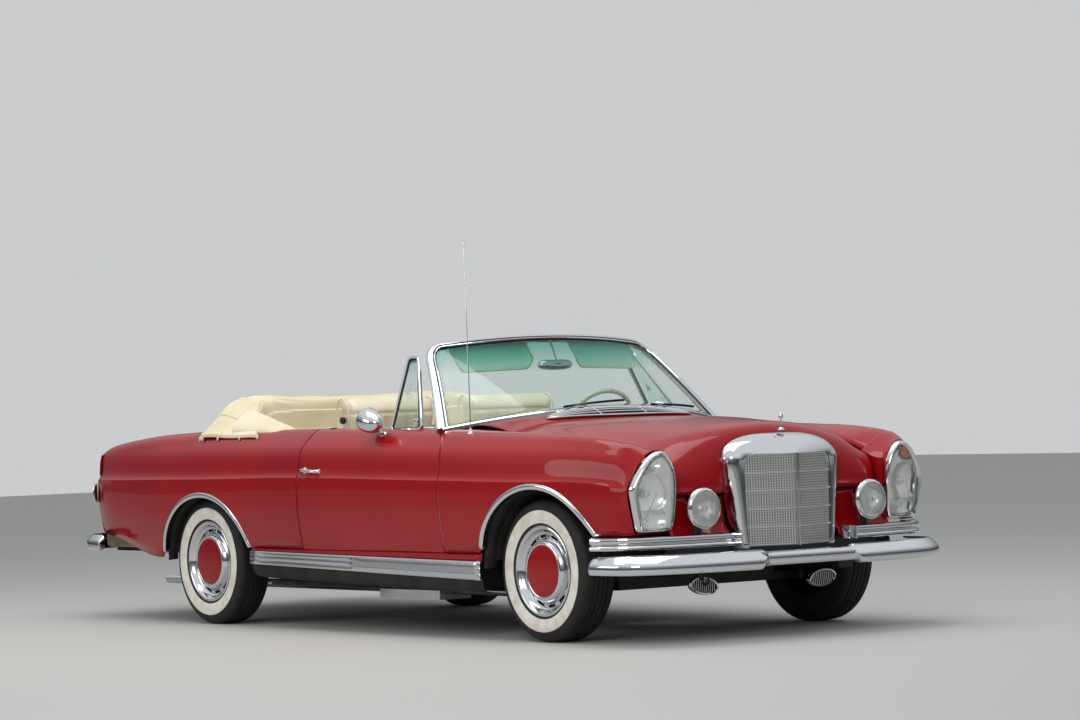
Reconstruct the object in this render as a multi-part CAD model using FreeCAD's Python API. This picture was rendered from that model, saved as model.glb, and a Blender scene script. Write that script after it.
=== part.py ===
import FreeCAD, Part
import math
import os
from FreeCAD import Vector

# Convertible car, millimetres. X points forward, Y to the car's left, Z up from the ground.
# The origin is on the ground below the middle of the car's length and width.

# Overall layout
front_axle_x = 1600.0
rear_axle_x = -1150.0
front_overhang = 840.0
rear_overhang = 1290.0
front_reach = front_axle_x + front_overhang
rear_reach = rear_overhang - rear_axle_x
wheel_z = 310.0
track_front = 1482.0
track_rear = 1485.0

# Wheels and tyres
tyre_radius = 310.0
tyre_width = 186.0
bead_radius = 180.0
rim_width = 152.0
rim_wall = 6.0
rim_lip_radius = 196.0
disc_inset = 16.0
disc_thickness = 8.0
hub_radius = 58.0
hub_cap_radius = 108.0
hub_depth = 70.0
stub_radius = 22.0
running_clearance = 0.05

# Body panels
skin = 22.0
panel_gap = 6.0
door_gap = 8.0
door_thickness = 104.0
door_top_width = 62.0
door_rear_x = -182.0
door_front_x = 950.0
door_bottom_z = 388.0
door_corner_radius = 150.0
door_corner_z = 772.0
door_slope_x = 690.0
door_swing_gap = 8.2
door_swing_slack = 2.5
window_slot = (-122.0, 384.0, 775.0, 781.0, 700.0)
glass_thickness = 6.0
seat_gap = 0.3
above_car = 2000.0
past_side = 1000.0

# Body side: one row per station. The crease is the widest line and the ridge is the highest.
# Columns: x, crease y, crease z, ridge y, ridge z, lower edge z, inner edge y, inner edge z
side_stations = [
    (front_reach - 208.0, 822.0, 662.0, 735.0, 842.0, 466.0, 585.0, 735.0),
    (front_axle_x + 400.0, 862.0, 690.0, 760.0, 876.0, 464.0, 612.0, 815.0),
    (front_axle_x, 893.0, 697.0, 783.0, 896.0, 410.0, 640.0, 884.0),
    (1230.0, 908.0, 702.0, 796.0, 905.0, 388.0, 653.0, 908.0),
    (700.0, 918.0, 711.0, 800.0, 926.0, 388.0, 656.0, 938.0),
    (-190.0, 922.0, 723.0, 800.0, 940.0, 388.0, 735.0, 936.0),
    (-650.0, 920.0, 721.0, 800.0, 941.0, 388.0, 735.0, 937.0),
    (-1180.0, 903.0, 717.0, 800.0, 940.0, 350.0, 735.0, 938.0),
    (-1250.0, 900.0, 717.0, 799.0, 938.0, 345.0, 606.0, 938.0),
    (-1650.0, 871.0, 715.0, 790.0, 925.0, 332.0, 606.0, 929.0),
    (-2000.0, 830.0, 713.0, 765.0, 900.0, 400.0, 606.0, 906.0),
    (190.0 - rear_reach, 785.0, 711.0, 730.0, 872.0, 432.0, 606.0, 880.0),
    (50.0 - rear_reach, 730.0, 708.0, 690.0, 845.0, 440.0, 606.0, 850.0),
]

# Wheel arches, each a half ellipse: centre x, centre z, half length, height
arch_drop = 20.0
front_arch = (front_axle_x + 28.0, wheel_z - arch_drop, 402.0, 378.0)
rear_arch = (rear_axle_x + 63.0, wheel_z - arch_drop, 425.0, 340.0)
arch_liner = 12.0
liner_outer_y = 800.0

# Hood, cut behind the grille shell, with its hinge line on its rear edge
hood_rear_x = 1185.0
hood_gap = 8.0
cowl_front_x = 1172.0
hood_lip_x = front_reach - 208.0
hood_lip_z = 630.0
# Columns: x, centre z, z at y 300, shoulder y, shoulder z
hood_stations = [
    (hood_lip_x, 900.0, 836.0, 450.0, 752.0),
    (front_reach - 290.0, 921.0, 884.0, 460.0, 822.0),
    (front_axle_x + 400.0, 935.0, 912.0, 470.0, 864.0),
    (front_axle_x, 961.0, 946.0, 480.0, 914.0),
    (hood_rear_x, 982.0, 972.0, 480.0, 946.0),
]

# Grille shell: half widths and heights seen from the front, and its depth
shell_front_x = front_reach - 144.0
shell_rear_x = front_reach - 234.0
shell_rim = 34.0
# Columns: half width y, z
shell_outline = [(270.0, 388.0), (318.0, 770.0), (268.0, 838.0), (130.0, 874.0)]
shell_crown_z = 886.0
shell_bottom_z = 388.0
shell_shelf = 16.0
mesh_top_z = 790.0
mesh_front_x = front_reach - 90.0
mesh_side_x = front_reach - 150.0
mesh_half_width = 232.0
mesh_thickness = 14.0
bar_proud = 7.0
bar_height = 8.0
bar_rows = 6
finial_x = front_reach - 170.0
finial_height = 66.0
finial_ball = 14.0

# Lamps, horns and the nose panel that carries them
nose_x = front_reach - 256.0
nose_plate = 16.0
nose_half_width = 612.0
nose_low_z = 300.0
lamp_back_x = front_reach - 290.0
bezel_width = 20.0
lamp_face = [(front_reach - 142.0, 620.0), (front_reach - 194.0, 830.0)]
lamp_rake = 62.0
fog_lamp = (front_reach - 144.0, 472.0, 569.0)
fog_radius = 90.0
fog_rim_depth = 28.0
horn_mouth = (front_reach - 330.0, 337.0, 230.0)
horn_half_width = 80.0
horn_half_height = 38.0
horn_length = 50.0

# Towing eyes
tow_radius = 14.0
tow_plate = 16.0
tow_wall = 26.0
tow_y = 420.0
tow_front = (front_reach - 225.0, 262.0)
tow_rear = (110.0 - rear_reach, 302.0)

# Bumpers, as plan lines of the left side from the wheel arch round to the middle
bumper_depth = 46.0
bumper_low_z = 303.0
bumper_top_z = 386.0
bumper_dip = [(250.0, 374.0), (290.0, 412.0)]
front_line = [(front_reach - 390.0, 918.0), (front_reach - 260.0, 914.0), (front_reach - 150.0, 870.0),
              (front_reach - 70.0, 740.0), (front_reach - 25.0, 520.0), (front_reach - 4.0, 260.0),
              (front_reach, 0.0)]
blade_line = [(front_reach - 394.0, 908.0), (front_reach - 290.0, 880.0), (front_reach - 208.0, 790.0),
              (front_reach - 158.0, 600.0), (front_reach - 128.0, 326.0)]
blade_depth = 44.0
blade_low_z = 402.0
blade_top_z = 462.0
rear_line = [(340.0 - rear_reach, 905.0), (180.0 - rear_reach, 885.0), (70.0 - rear_reach, 812.0),
             (20.0 - rear_reach, 690.0), (4.0 - rear_reach, 400.0), (-rear_reach, 0.0)]
rear_bumper_depth = 32.0
rear_bumper_low_z = 350.0
rear_bumper_top_z = 436.0

# Boot lid: side profile from its front edge to its lower lip
lid_half_width = 600.0
lid_skin = 24.0
lid_profile = [(-1562.0, 940.0), (-1800.0, 930.0), (390.0 - rear_reach, 908.0), (190.0 - rear_reach, 884.0),
               (95.0 - rear_reach, 856.0), (52.0 - rear_reach, 812.0), (40.0 - rear_reach, 745.0)]

lid_shut_z = 736.0
deck_top_z = 938.0
deck_plate = 24.0
deck_front_x = -1256.0
deck_rear_x = -1552.0
rear_panel_x = 50.0 - rear_reach
rear_panel_plate = 14.0

# Cabin and engine bay
floor_z = 205.0
floor_plate = 20.0
floor_half_width = 640.0
tunnel_half_width = 98.0
tunnel_top_z = 340.0
seat_pan_z = 300.0
axle_hump_z = 440.0
boot_floor_z = 340.0
bulkhead_x = -1250.0
bulkhead_plate = 14.0
sill_rear_x = -640.0
sill_front_x = 1212.0
sill_inner_y = 790.0
sill_outer_y = 893.0
sill_bottom_z = 222.0
sill_top_z = 380.0
firewall_x = 868.0
firewall_plate = 14.0
cowl_bottom_z = 880.0
bay_plate = 14.0
bay_top_z = 800.0
rail_inner_y = 380.0
rail_outer_y = 462.0
rail_low_z = 270.0
rail_top_z = 330.0

# Windscreen
screen_base_centre = (1036.0, 0.0, 987.0)
screen_base_corner = (852.0, 780.0, 931.0)
screen_top_centre = (596.0, 0.0, 1336.0)
screen_top_corner = (512.0, 612.0, 1298.0)
header_height = 12.0
header_back = 30.0
header_front = 18.0
header_depth = 34.0
pillar_foot = 52.0
pillar_head = 30.0

# Steering
steer_axis_y = 640.0
king_pin_radius = 14.0
eye_radius = 30.0
column_tilt = 25.0
wheel_hub = (500.0, 350.0, 900.0)
steering_rim_radius = 205.0
steering_rim_tube = 11.0
column_radius = 32.0
column_shaft_radius = 9.0
column_shaft_end = 36.0
steering_hub_radius = 42.0

# Goose-neck hinges of the hood and the boot lid: axis (x, z), and the neck's inner and outer radius
hood_axis = (1030.0, 922.0)
hood_neck = (170.0, 190.0)
lid_axis = (-1400.0, 900.0)
lid_neck = (174.0, 194.0)
neck_drop = 63.0
neck_half_width = 8.0
neck_pin_radius = 6.0
neck_barrel_radius = 10.0
hood_neck_y = 560.0
lid_neck_y = 480.0

# Door hinges
hinge_x = 1000.0
hinge_y = 864.0
hinge_pin_radius = 5.0
hinge_barrel_radius = 10.0
hinge_heights = [(540.0, 600.0), (645.0, 705.0)]
hinge_post_gap = 5.5
hinge_arm_half = 4.0
hinge_foot = 20.0
hinge_post_depth = 40.0
hinge_lug = 9.6

# Engine, axles and exhaust
engine_rear_x = 1010.0
engine_length = 750.0
engine_half_width = 180.0
gearbox_half_width = 120.0
gearbox_top_z = 560.0
mount_x = 1400.0
beam_half = 45.0
tower_width = 35.0
lower_arm_z = 205.0
upper_arm_z = 382.0
arm_height = 34.0
upper_arm_half = 22.0
knuckle_gap = 6.0
stub_reach = 52.0
axle_tube_radius = 42.0
spring_seat_y = 480.0
pipe_y = -300.0
pipe_z = 170.0
pipe_radius = 22.0
pipe_end_x = 15.0 - rear_reach

# Seats: side profiles as (x, z)
seat_inner_y = 105.0
seat_outer_y = 610.0
cushion_profile = [(-170.0, 300.0), (340.0, 300.0), (352.0, 430.0), (310.0, 490.0), (-170.0, 455.0)]
backrest_profile = [(-170.0, 300.0), (-120.0, 460.0), (-190.0, 1075.0), (-225.0, 1108.0),
                    (-290.0, 1100.0), (-310.0, 1060.0), (-262.0, 330.0)]
rear_seat_side_gap = 20.0
rear_seat_half_width = floor_half_width - rear_seat_side_gap
rear_cushion_profile = [(-918.0, 320.3), (-612.0, 320.3), (-470.0, 340.0), (-450.0, 480.0),
                        (-500.0, 520.0), (-880.0, 500.0)]
rear_back_profile = [(-985.0, 480.0), (-880.0, 480.0), (-935.0, 925.0), (-985.0, 935.0),
                     (-1040.0, 925.0), (-1060.0, 480.0)]

# Folded soft top. Columns: y, front x, rear x, underside z, top z
top_rows = [
    (-842.0, -640.0, -1180.0, 918.0, 938.0),
    (-790.0, -700.0, -1210.0, 936.0, 985.0),
    (-620.0, -900.0, -1240.0, 936.0, 1125.0),
    (0.0, -905.0, -1250.0, 936.0, 1118.0),
    (620.0, -900.0, -1240.0, 936.0, 1125.0),
    (790.0, -700.0, -1210.0, 936.0, 985.0),
    (842.0, -640.0, -1180.0, 918.0, 938.0),
]

nodes = {}


def box(x0, x1, y0, y1, z0, z1):
    """A block between two corners, in any order."""
    low = Vector(min(x0, x1), min(y0, y1), min(z0, z1))
    return Part.makeBox(abs(x1 - x0), abs(y1 - y0), abs(z1 - z0), low)


def closed_wire(points):
    return Part.makePolygon([Vector(*p) for p in points] + [Vector(*points[0])])


def plate_xz(points, y0, y1):
    """A side view outline of (x, z) points, carried across from y0 to y1."""
    face = Part.Face(closed_wire([(x, y0, z) for x, z in points]))
    return face.extrude(Vector(0, y1 - y0, 0))


def plate_xy(points, z0, z1):
    """A plan view outline of (x, y) points, carried up from z0 to z1."""
    face = Part.Face(closed_wire([(x, y, z0) for x, y in points]))
    return face.extrude(Vector(0, 0, z1 - z0))


def plate_yz(points, x0, x1):
    """A front view outline of (y, z) points, carried from x0 to x1."""
    face = Part.Face(closed_wire([(x0, y, z) for y, z in points]))
    return face.extrude(Vector(x1 - x0, 0, 0))


def loft(sections):
    """A solid with straight facets between closed sections of as many points each."""
    return Part.makeLoft([closed_wire(points) for points in sections], True, True)


def rod(start, end, radius):
    a = Vector(*start)
    run = Vector(*end) - a
    return Part.makeCylinder(radius, run.Length, a, run)


def turned(profile, centre, axis):
    """A solid turned about an axis through the centre, from a closed list of points."""
    return Part.Face(closed_wire(profile)).revolve(Vector(*centre), Vector(*axis), 360)


def fuse(shapes):
    return shapes[0].multiFuse(shapes[1:]).removeSplitter()


def other_side(shape):
    """The same piece on the car's right."""
    return shape.mirror(Vector(0, 0, 0), Vector(0, 1, 0))


def both_sides(shape):
    return Part.makeCompound([shape, other_side(shape)])


def add_pair(name, shape):
    """A left piece and its mirror image as two nodes."""
    nodes[name + "_left"] = shape
    nodes[name + "_right"] = other_side(shape)


def between(table, x):
    """A row of a station table at any x, straight between its neighbours."""
    for a, b in zip(table, table[1:]):
        if b[0] <= x <= a[0]:
            share = (x - a[0]) / (b[0] - a[0])
            return [p + (q - p) * share for p, q in zip(a, b)]
    raise ValueError("no station at %s" % x)


def side_outline(x):
    """The outer (y, z) points of the body side from its lower edge to its inner top edge."""
    _, crease_y, crease_z, ridge_y, ridge_z, low_z, edge_y, edge_z = between(side_stations, x)
    rise = ridge_z - crease_z
    lean = crease_y - ridge_y
    return [
        (crease_y - 28.0, low_z),
        (crease_y - 4.0, low_z + 0.45 * (crease_z - low_z)),
        (crease_y, crease_z),
        (crease_y - 9.0, crease_z + 14.0),
        (crease_y - 26.0, crease_z + 0.55 * rise),
        (ridge_y + 0.32 * lean, ridge_z - 0.2 * rise),
        (ridge_y, ridge_z),
        (edge_y, edge_z),
    ]


def skin_section(x):
    """A shell section: the outline and the same line moved in by the skin."""
    outer = side_outline(x)
    drops = [0.0, 0.0, 0.0, 0.0, 0.0, 0.8, 1.0, 1.0]
    moves = [1.0, 1.0, 1.0, 1.0, 1.0, 1.0, 0.3, 0.0]
    inner = [(y - m * skin, z - d * skin) for (y, z), d, m in zip(outer, drops, moves)]
    return [(x, y, z) for y, z in outer + inner[::-1]]


def door_section(x):
    """A whole door: the outline down to its lower edge, and a flat inner face."""
    outer = side_outline(x)[:7]
    crease_y = outer[2][0]
    inner = [(outer[6][0] - door_top_width, outer[6][1] - 4.0),
             (crease_y - door_thickness, outer[4][1] - 40.0),
             (crease_y - door_thickness, outer[0][1])]
    return [(x, y, z) for y, z in outer + inner]


def door_outline(clearance):
    """The door seen from the side as a solid through the body, larger by the clearance."""
    front = door_front_x + clearance
    rear = door_rear_x - clearance
    low = door_bottom_z - clearance
    radius = door_corner_radius + clearance
    centre_x = front - radius
    top = door_corner_z + radius
    slope_x = door_slope_x - clearance
    corner = Vector(centre_x + radius * math.sin(math.pi / 4), 0,
                    door_corner_z + radius * math.cos(math.pi / 4))
    arc = Part.Arc(Vector(front, 0, door_corner_z), corner, Vector(centre_x, 0, top)).toShape()
    points = [(centre_x, 0, top), (slope_x, 0, top + 8.0), (slope_x, 0, above_car),
              (rear, 0, above_car), (rear, 0, low), (front - 15.0, 0, low),
              (front, 0, low + 35.0), (front, 0, door_corner_z)]
    lines = Part.makePolygon([Vector(*p) for p in points])
    wire = Part.Wire(Part.__sortEdges__(arc.Edges + lines.Edges))
    return Part.Face(wire).extrude(Vector(0, past_side, 0))


def half_ellipse(arch, grow, y0, y1):
    """An arch opening as a solid from y0 to y1, larger by grow."""
    x, z, half_length, height = arch
    curve = Part.Ellipse(Vector(x, y0, z), half_length + grow, height + grow)
    edge = curve.toShape()
    edge.rotate(Vector(x, y0, z), Vector(1, 0, 0), 90)
    return Part.Face(Part.Wire(edge)).extrude(Vector(0, y1 - y0, 0))


def arch_shell(arch, y0, y1):
    """A wheel house: the arch as a curved wall over the wheel, open below."""
    x, z, half_length, height = arch
    wall = half_ellipse(arch, arch_liner, y0, y1).cut(half_ellipse(arch, 0.0, y0 - 1, y1 + 1))
    lower = box(x - half_length - 100, x + half_length + 100, y0 - 1, y1 + 1, z - 500, z + 60)
    return wall.cut(lower)


def goose_neck(axis, radii, heading, start_angle, y):
    """A hinge arm in the plane y: an arc about the axis that drops below the fixed panel's edge,
    then a bar in to the barrel. The heading is 1 for a lid ahead of its axis and -1 behind it."""
    x0, z0 = axis
    inner, outer = radii

    def at(radius, degrees):
        turn = math.radians(degrees)
        x = x0 + heading * radius * math.cos(turn)
        return Vector(x, y - neck_half_width, z0 - radius * math.sin(turn))

    middle = (start_angle + neck_drop) / 2
    edges = [
        Part.Arc(at(outer, start_angle), at(outer, middle), at(outer, neck_drop + 6.0)).toShape(),
        Part.LineSegment(at(outer, neck_drop + 6.0), at(inner, neck_drop + 6.0)).toShape(),
        Part.LineSegment(at(inner, neck_drop + 6.0), at(inner, neck_drop)).toShape(),
        Part.Arc(at(inner, neck_drop), at(inner, middle), at(inner, start_angle)).toShape(),
        Part.LineSegment(at(inner, start_angle), at(outer, start_angle)).toShape(),
    ]
    arc = Part.Face(Part.Wire(edges)).extrude(Vector(0, 2 * neck_half_width, 0))
    end = at((inner + outer) / 2, neck_drop + 3.0)
    bar_way = end - Vector(x0, y - neck_half_width, z0)
    across = Vector(-bar_way.z, 0, bar_way.x).normalize() * 6.0
    root = Vector(x0, y - neck_half_width, z0)
    bar_wire = Part.makePolygon([root + across, end + across, end - across, root - across, root + across])
    bar = Part.Face(bar_wire).extrude(Vector(0, 2 * neck_half_width, 0))
    barrel = rod((x0, y - neck_half_width, z0), (x0, y + neck_half_width, z0), neck_barrel_radius)
    bore = rod((x0, y - 50.0, z0), (x0, y + 50.0, z0), neck_pin_radius + running_clearance)
    return fuse([arc, bar, barrel]).cut(bore)


# Front fenders, with the lamp and the arch cut out
def lamp_outline(grow):
    """The tall lamp seen from the front: flat base, widest at the crease, pointed crown."""
    low_inner = Vector(0, 627.0 - grow, 480.0 - grow)
    mid_inner = Vector(0, 619.0 - grow, 640.0)
    crown_inner = Vector(0, 644.0 - grow * 0.7, 766.0 + grow * 0.7)
    crown = Vector(0, 700.0, 818.0 + grow)
    crown_outer = Vector(0, 780.0 + grow * 0.7, 768.0 + grow * 0.7)
    mid_outer = Vector(0, 828.0 + grow, 660.0)
    low_outer = Vector(0, 796.0 + grow, 480.0 - grow)
    edges = [
        Part.LineSegment(low_inner, mid_inner).toShape(),
        Part.Arc(mid_inner, crown_inner, crown).toShape(),
        Part.Arc(crown, crown_outer, mid_outer).toShape(),
        Part.LineSegment(mid_outer, low_outer).toShape(),
        Part.LineSegment(low_outer, low_inner).toShape(),
    ]
    return Part.Face(Part.Wire(edges))


def lamp_block(grow, front_shift):
    """The lamp outline carried forward and cut off by its raked front face."""
    block = lamp_outline(grow)
    block.translate(Vector(lamp_back_x, 0, 0))
    block = block.extrude(Vector(260.0, 0, 0))
    (x0, y0), (x1, y1) = lamp_face
    z_low, z_high = 400.0, 900.0
    low_x = front_shift - lamp_rake * 0.5
    high_x = front_shift + lamp_rake * 0.25
    slope = (x1 - x0) / (y1 - y0)
    ends = [(y0 - 60.0, x0 - 60.0 * slope), (y1 + 60.0, x1 + 60.0 * slope)]
    sections = []
    for y, x in ends:
        sections.append([(x + low_x, y, z_low), (x + high_x, y, z_high),
                         (2700.0, y, z_high), (2700.0, y, z_low)])
    return block.cut(loft(sections))


fender_xs = [door_slope_x, 958.0, 1230.0, front_axle_x, front_axle_x + 400.0, front_reach - 208.0]
fender = loft([skin_section(x) for x in fender_xs])
fender = fender.cut(door_outline(door_gap))
fender = fender.cut(half_ellipse(front_arch, 0.0, 500.0, past_side))
fender = fender.cut(lamp_block(1.0, 100.0))
nodes["fenders"] = both_sides(fender)

# Doors
door = loft([door_section(x) for x in [door_rear_x, 300.0, 700.0, door_front_x]])
door = door.common(door_outline(0.0))
door = door.cut(box(*window_slot, above_car))

# The door's front face is hollowed about the hinge so that it swings past the fender's edge,
# and its rear face follows the swing of its rear edge
def fender_edge_x(z):
    """The fender's rear edge beside the door, straight and then round the upper corner."""
    if z <= door_corner_z:
        return door_front_x + door_gap
    radius = door_corner_radius + door_gap
    return door_front_x - door_corner_radius + math.sqrt(radius ** 2 - (z - door_corner_z) ** 2)


def skin_y(x, z):
    """The outer skin's half width at any height below the ridge."""
    points = side_outline(x)
    for (y0, z0), (y1, z1) in zip(points, points[1:]):
        if z0 <= z <= z1:
            return y0 + (y1 - y0) * (z - z0) / (z1 - z0)
    raise ValueError("no skin at %s" % z)


swing_heights = [z for _, z in side_outline(door_front_x + door_gap)[:5]]
swing_heights += [door_corner_z + rise for rise in (0.0, 25.0, 40.0, 75.0)]
swing_profile = [(hinge_x, hinge_y, 0.0)]
for z in sorted(swing_heights):
    x = fender_edge_x(z)
    radius = math.hypot(hinge_x - x, skin_y(x, z) - hinge_y) + door_swing_gap
    if len(swing_profile) == 1:
        swing_profile.append((hinge_x - radius, hinge_y, 0.0))
    swing_profile.append((hinge_x - radius, hinge_y, z))
swing_profile.append((hinge_x, hinge_y, max(swing_heights)))
hinge_foot_point = (hinge_x, hinge_y, 0.0)
door = door.cut(turned(swing_profile, hinge_foot_point, (0, 0, 1)))
door_swing = hinge_x - door_rear_x + door_swing_slack
door = door.common(rod(hinge_foot_point, (hinge_x, hinge_y, above_car), door_swing))
arm_reach = hinge_x - door_front_x
barrels = []
for low, high in hinge_heights:
    arm = plate_xy([(hinge_x - hinge_arm_half, hinge_y + hinge_arm_half),
                    (hinge_x + hinge_arm_half, hinge_y - hinge_arm_half),
                    (door_front_x + hinge_arm_half, hinge_y - arm_reach - hinge_arm_half),
                    (door_front_x - hinge_foot, hinge_y - arm_reach - hinge_arm_half),
                    (door_front_x - hinge_foot, hinge_y - arm_reach + 2 * hinge_arm_half),
                    (door_front_x, hinge_y - arm_reach + 2 * hinge_arm_half)], low, high)
    barrel = rod((hinge_x, hinge_y, low), (hinge_x, hinge_y, high), hinge_barrel_radius)
    bore = rod((hinge_x, hinge_y, low - 1), (hinge_x, hinge_y, high + 1),
               hinge_pin_radius + running_clearance)
    barrels.append(arm.fuse(barrel).cut(bore))
door = fuse([door] + barrels)
add_pair("door_panel", door)

# Hinge posts, with the pins that the doors turn on
post_front = hinge_x + hinge_barrel_radius + hinge_post_gap
post = box(post_front, post_front + hinge_post_depth, hinge_y - 90.0, hinge_y - 8.0,
           sill_top_z + seat_gap, bay_top_z)
lugs = []
for low, high in hinge_heights:
    lug_low = low - hinge_lug - seat_gap
    lug_high = high + seat_gap
    lugs.append(rod((hinge_x, hinge_y, lug_low), (hinge_x, hinge_y, lug_high + hinge_lug), hinge_pin_radius))
    for z in (lug_low, lug_high):
        lugs.append(box(hinge_x - 9.0, post_front + 1.0, hinge_y - 28.0, hinge_y + 9.0, z, z + hinge_lug))
nodes["hinge_posts"] = both_sides(fuse([post] + lugs))

# Rear quarters
quarter_front_x = door_rear_x - door_gap
quarter_xs = [quarter_front_x] + [row[0] for row in side_stations if row[0] < quarter_front_x]
quarter = loft([skin_section(x) for x in quarter_xs])
quarter = quarter.cut(half_ellipse(rear_arch, 0.0, 500.0, past_side))
nodes["quarters"] = both_sides(quarter)

# Nose panel behind the fog lamps, with its air opening
nose = box(nose_x - nose_plate, nose_x, -nose_half_width, nose_half_width,
           nose_low_z, hood_lip_z - hood_gap)
nose = nose.cut(box(nose_x - 50.0, nose_x + 10.0, -252.0, 252.0, 400.0, 700.0))
eye = box(nose_x - 10.0, tow_front[0] + tow_wall, -tow_y - tow_plate / 2, -tow_y + tow_plate / 2,
          tow_front[1] - tow_wall, nose_low_z + 16.0)
tow_bore = rod((tow_front[0], -tow_y - tow_plate, tow_front[1]),
               (tow_front[0], -tow_y + tow_plate, tow_front[1]), tow_radius)
nodes["nose_panel"] = fuse([nose, eye]).cut(tow_bore)

# Rear deck and rear panel around the boot lid
deck_edge_y = between(side_stations, bulkhead_x)[6] - seat_gap
deck = box(deck_rear_x, deck_front_x, -deck_edge_y, deck_edge_y, deck_top_z - deck_plate, deck_top_z)
lid_brackets = []
for y in (lid_neck_y, -lid_neck_y):
    x0, z0 = lid_axis
    lid_brackets.append(rod((x0, y - 30.0, z0), (x0, y + 30.0, z0), neck_pin_radius))
    for near in (-24.0, 12.0):
        lid_brackets.append(box(x0 - 12.0, x0 + 12.0, y + near, y + near + 12.0,
                                z0 - 10.0, deck_top_z - deck_plate + 1.0))
deck = fuse([deck] + lid_brackets)
tail_points = side_outline(rear_panel_x)
rear_points = tail_points + [(lid_half_width + panel_gap, lid_shut_z)]
rear_points += [(-y, z) for y, z in rear_points[::-1]]
rear = plate_yz(rear_points, rear_panel_x - rear_panel_plate - seat_gap, rear_panel_x - seat_gap)
nodes["rear_panels"] = Part.makeCompound([deck, rear])


# Hood with its drooping nose
def hood_section(x, thickness):
    _, centre_z, mid_z, shoulder_y, shoulder_z = between(hood_stations, x)
    side = between(side_stations, x)
    edge_y = side[6] - hood_gap
    edge_z = side[7]
    top = [(-edge_y, edge_z), (-shoulder_y, shoulder_z), (-300.0, mid_z), (0.0, centre_z),
           (300.0, mid_z), (shoulder_y, shoulder_z), (edge_y, edge_z)]
    if thickness:
        under = [(y, z - thickness) for y, z in top[::-1]]
    else:
        under = [(y, hood_lip_z) for y, z in top[::-1]]
    return [(x, y, z) for y, z in top + under]


hood_xs = [row[0] for row in hood_stations]
hood_main = loft([hood_section(x, skin) for x in hood_xs[1:]])
hood_nose = loft([hood_section(hood_xs[1], skin), hood_section(hood_lip_x, 0.0)])
hood = hood_main.fuse(hood_nose)
shell_cut_y = max(y for y, z in shell_outline) + hood_gap
shell_cut = box(shell_rear_x - seat_gap, front_reach, -shell_cut_y, shell_cut_y, 0.0, above_car)
hood = hood.cut(shell_cut)
necks = [goose_neck(hood_axis, hood_neck, 1.0, -1.0, y) for y in (hood_neck_y, -hood_neck_y)]
nodes["hood_panel"] = fuse([hood] + necks)

# Grille shell: a chrome arch around the mesh, lifted with the hood
arch_points = shell_outline + [(0.0, shell_crown_z)]
arch_points += [(-y, z) for y, z in shell_outline[::-1]]
shell = plate_yz(arch_points, shell_rear_x, shell_front_x)
mesh_opening_y = mesh_half_width + 4.0
inner_half = [(shell_outline[0][0] - shell_rim, shell_bottom_z - 1.0),
              (shell_outline[1][0] - shell_rim, shell_outline[1][1]), (mesh_opening_y, mesh_top_z)]
inner_points = inner_half + [(-y, z) for y, z in inner_half[::-1]]
shell = shell.cut(plate_yz(inner_points, shell_rear_x - 1.0, shell_front_x + 1.0))
shelf_half = shell_outline[0][0] - shell_rim + 4.0
shelf = box(shell_rear_x, shell_rear_x + 30.0, -shelf_half, shelf_half,
            shell_bottom_z, shell_bottom_z + shell_shelf)

# Plain finial on the shell
base_height = 8.0
finial_foot = shell_crown_z + base_height
base = rod((finial_x, 0, shell_crown_z - 4.0), (finial_x, 0, finial_foot), 24.0)
stem = Part.makeCone(10.0, 5.0, finial_height - base_height - finial_ball / 2,
                     Vector(finial_x, 0, finial_foot), Vector(0, 0, 1))
ball = Part.makeSphere(finial_ball, Vector(finial_x, 0, shell_crown_z + finial_height))
nodes["grille_shell"] = fuse([shell, shelf, base, stem, ball])

# Grille mesh: two slats of wire mesh that meet at a forward ridge, in five rows
mesh_low_z = shell_bottom_z + shell_shelf + seat_gap
mesh_back_x = mesh_side_x - mesh_thickness
mesh_plan = [(mesh_side_x, -mesh_half_width), (mesh_front_x, 0.0), (mesh_side_x, mesh_half_width),
             (mesh_back_x, mesh_half_width), (mesh_front_x - mesh_thickness, 0.0),
             (mesh_back_x, -mesh_half_width)]
mesh = plate_xy(mesh_plan, mesh_low_z, mesh_top_z - seat_gap)
bar_plan = [(x + bar_proud, y) for x, y in mesh_plan[:3]] + mesh_plan[3:]
bars = [mesh]
last_bar_z = mesh_top_z - bar_height - 1.0
for row in range(bar_rows):
    z = mesh_low_z + (last_bar_z - mesh_low_z) * row / (bar_rows - 1)
    bars.append(plate_xy(bar_plan, z, z + bar_height))
bars.append(box(mesh_front_x - 4.0, mesh_front_x + 10.0, -6.0, 6.0, mesh_low_z, mesh_top_z - seat_gap))
nodes["grille_mesh"] = fuse(bars)

# Headlamps
bezel = lamp_block(0.0, 0.0)
bezel = bezel.cut(lamp_block(-bezel_width, 200.0))
nodes["headlamp_bezels"] = both_sides(bezel)
lens = lamp_block(-bezel_width - seat_gap, 6.0)
nodes["headlamp_lenses"] = both_sides(lens)

# Fog lamps on short feet
fog_x, fog_y, fog_z = fog_lamp
bowl_depth = 38.0
rim_back_x = fog_x - fog_rim_depth
fog_rim = rod((rim_back_x, fog_y, fog_z), fog_lamp, fog_radius)
fog_bowl = Part.makeCone(fog_radius - 52.0, fog_radius - 6.0, bowl_depth,
                         Vector(rim_back_x - bowl_depth, fog_y, fog_z), Vector(1, 0, 0))
fog_lens = Part.makeCone(fog_radius - 10.0, fog_radius - 60.0, 12.0, Vector(*fog_lamp), Vector(1, 0, 0))
foot_low_z = fog_z - fog_radius - 9.0
fog_foot = box(nose_x, fog_x - 12.0, fog_y - 16.0, fog_y + 16.0, foot_low_z, foot_low_z + 16.0)
nodes["fog_lamps"] = both_sides(fuse([fog_rim, fog_bowl, fog_lens, fog_foot]))

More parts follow.
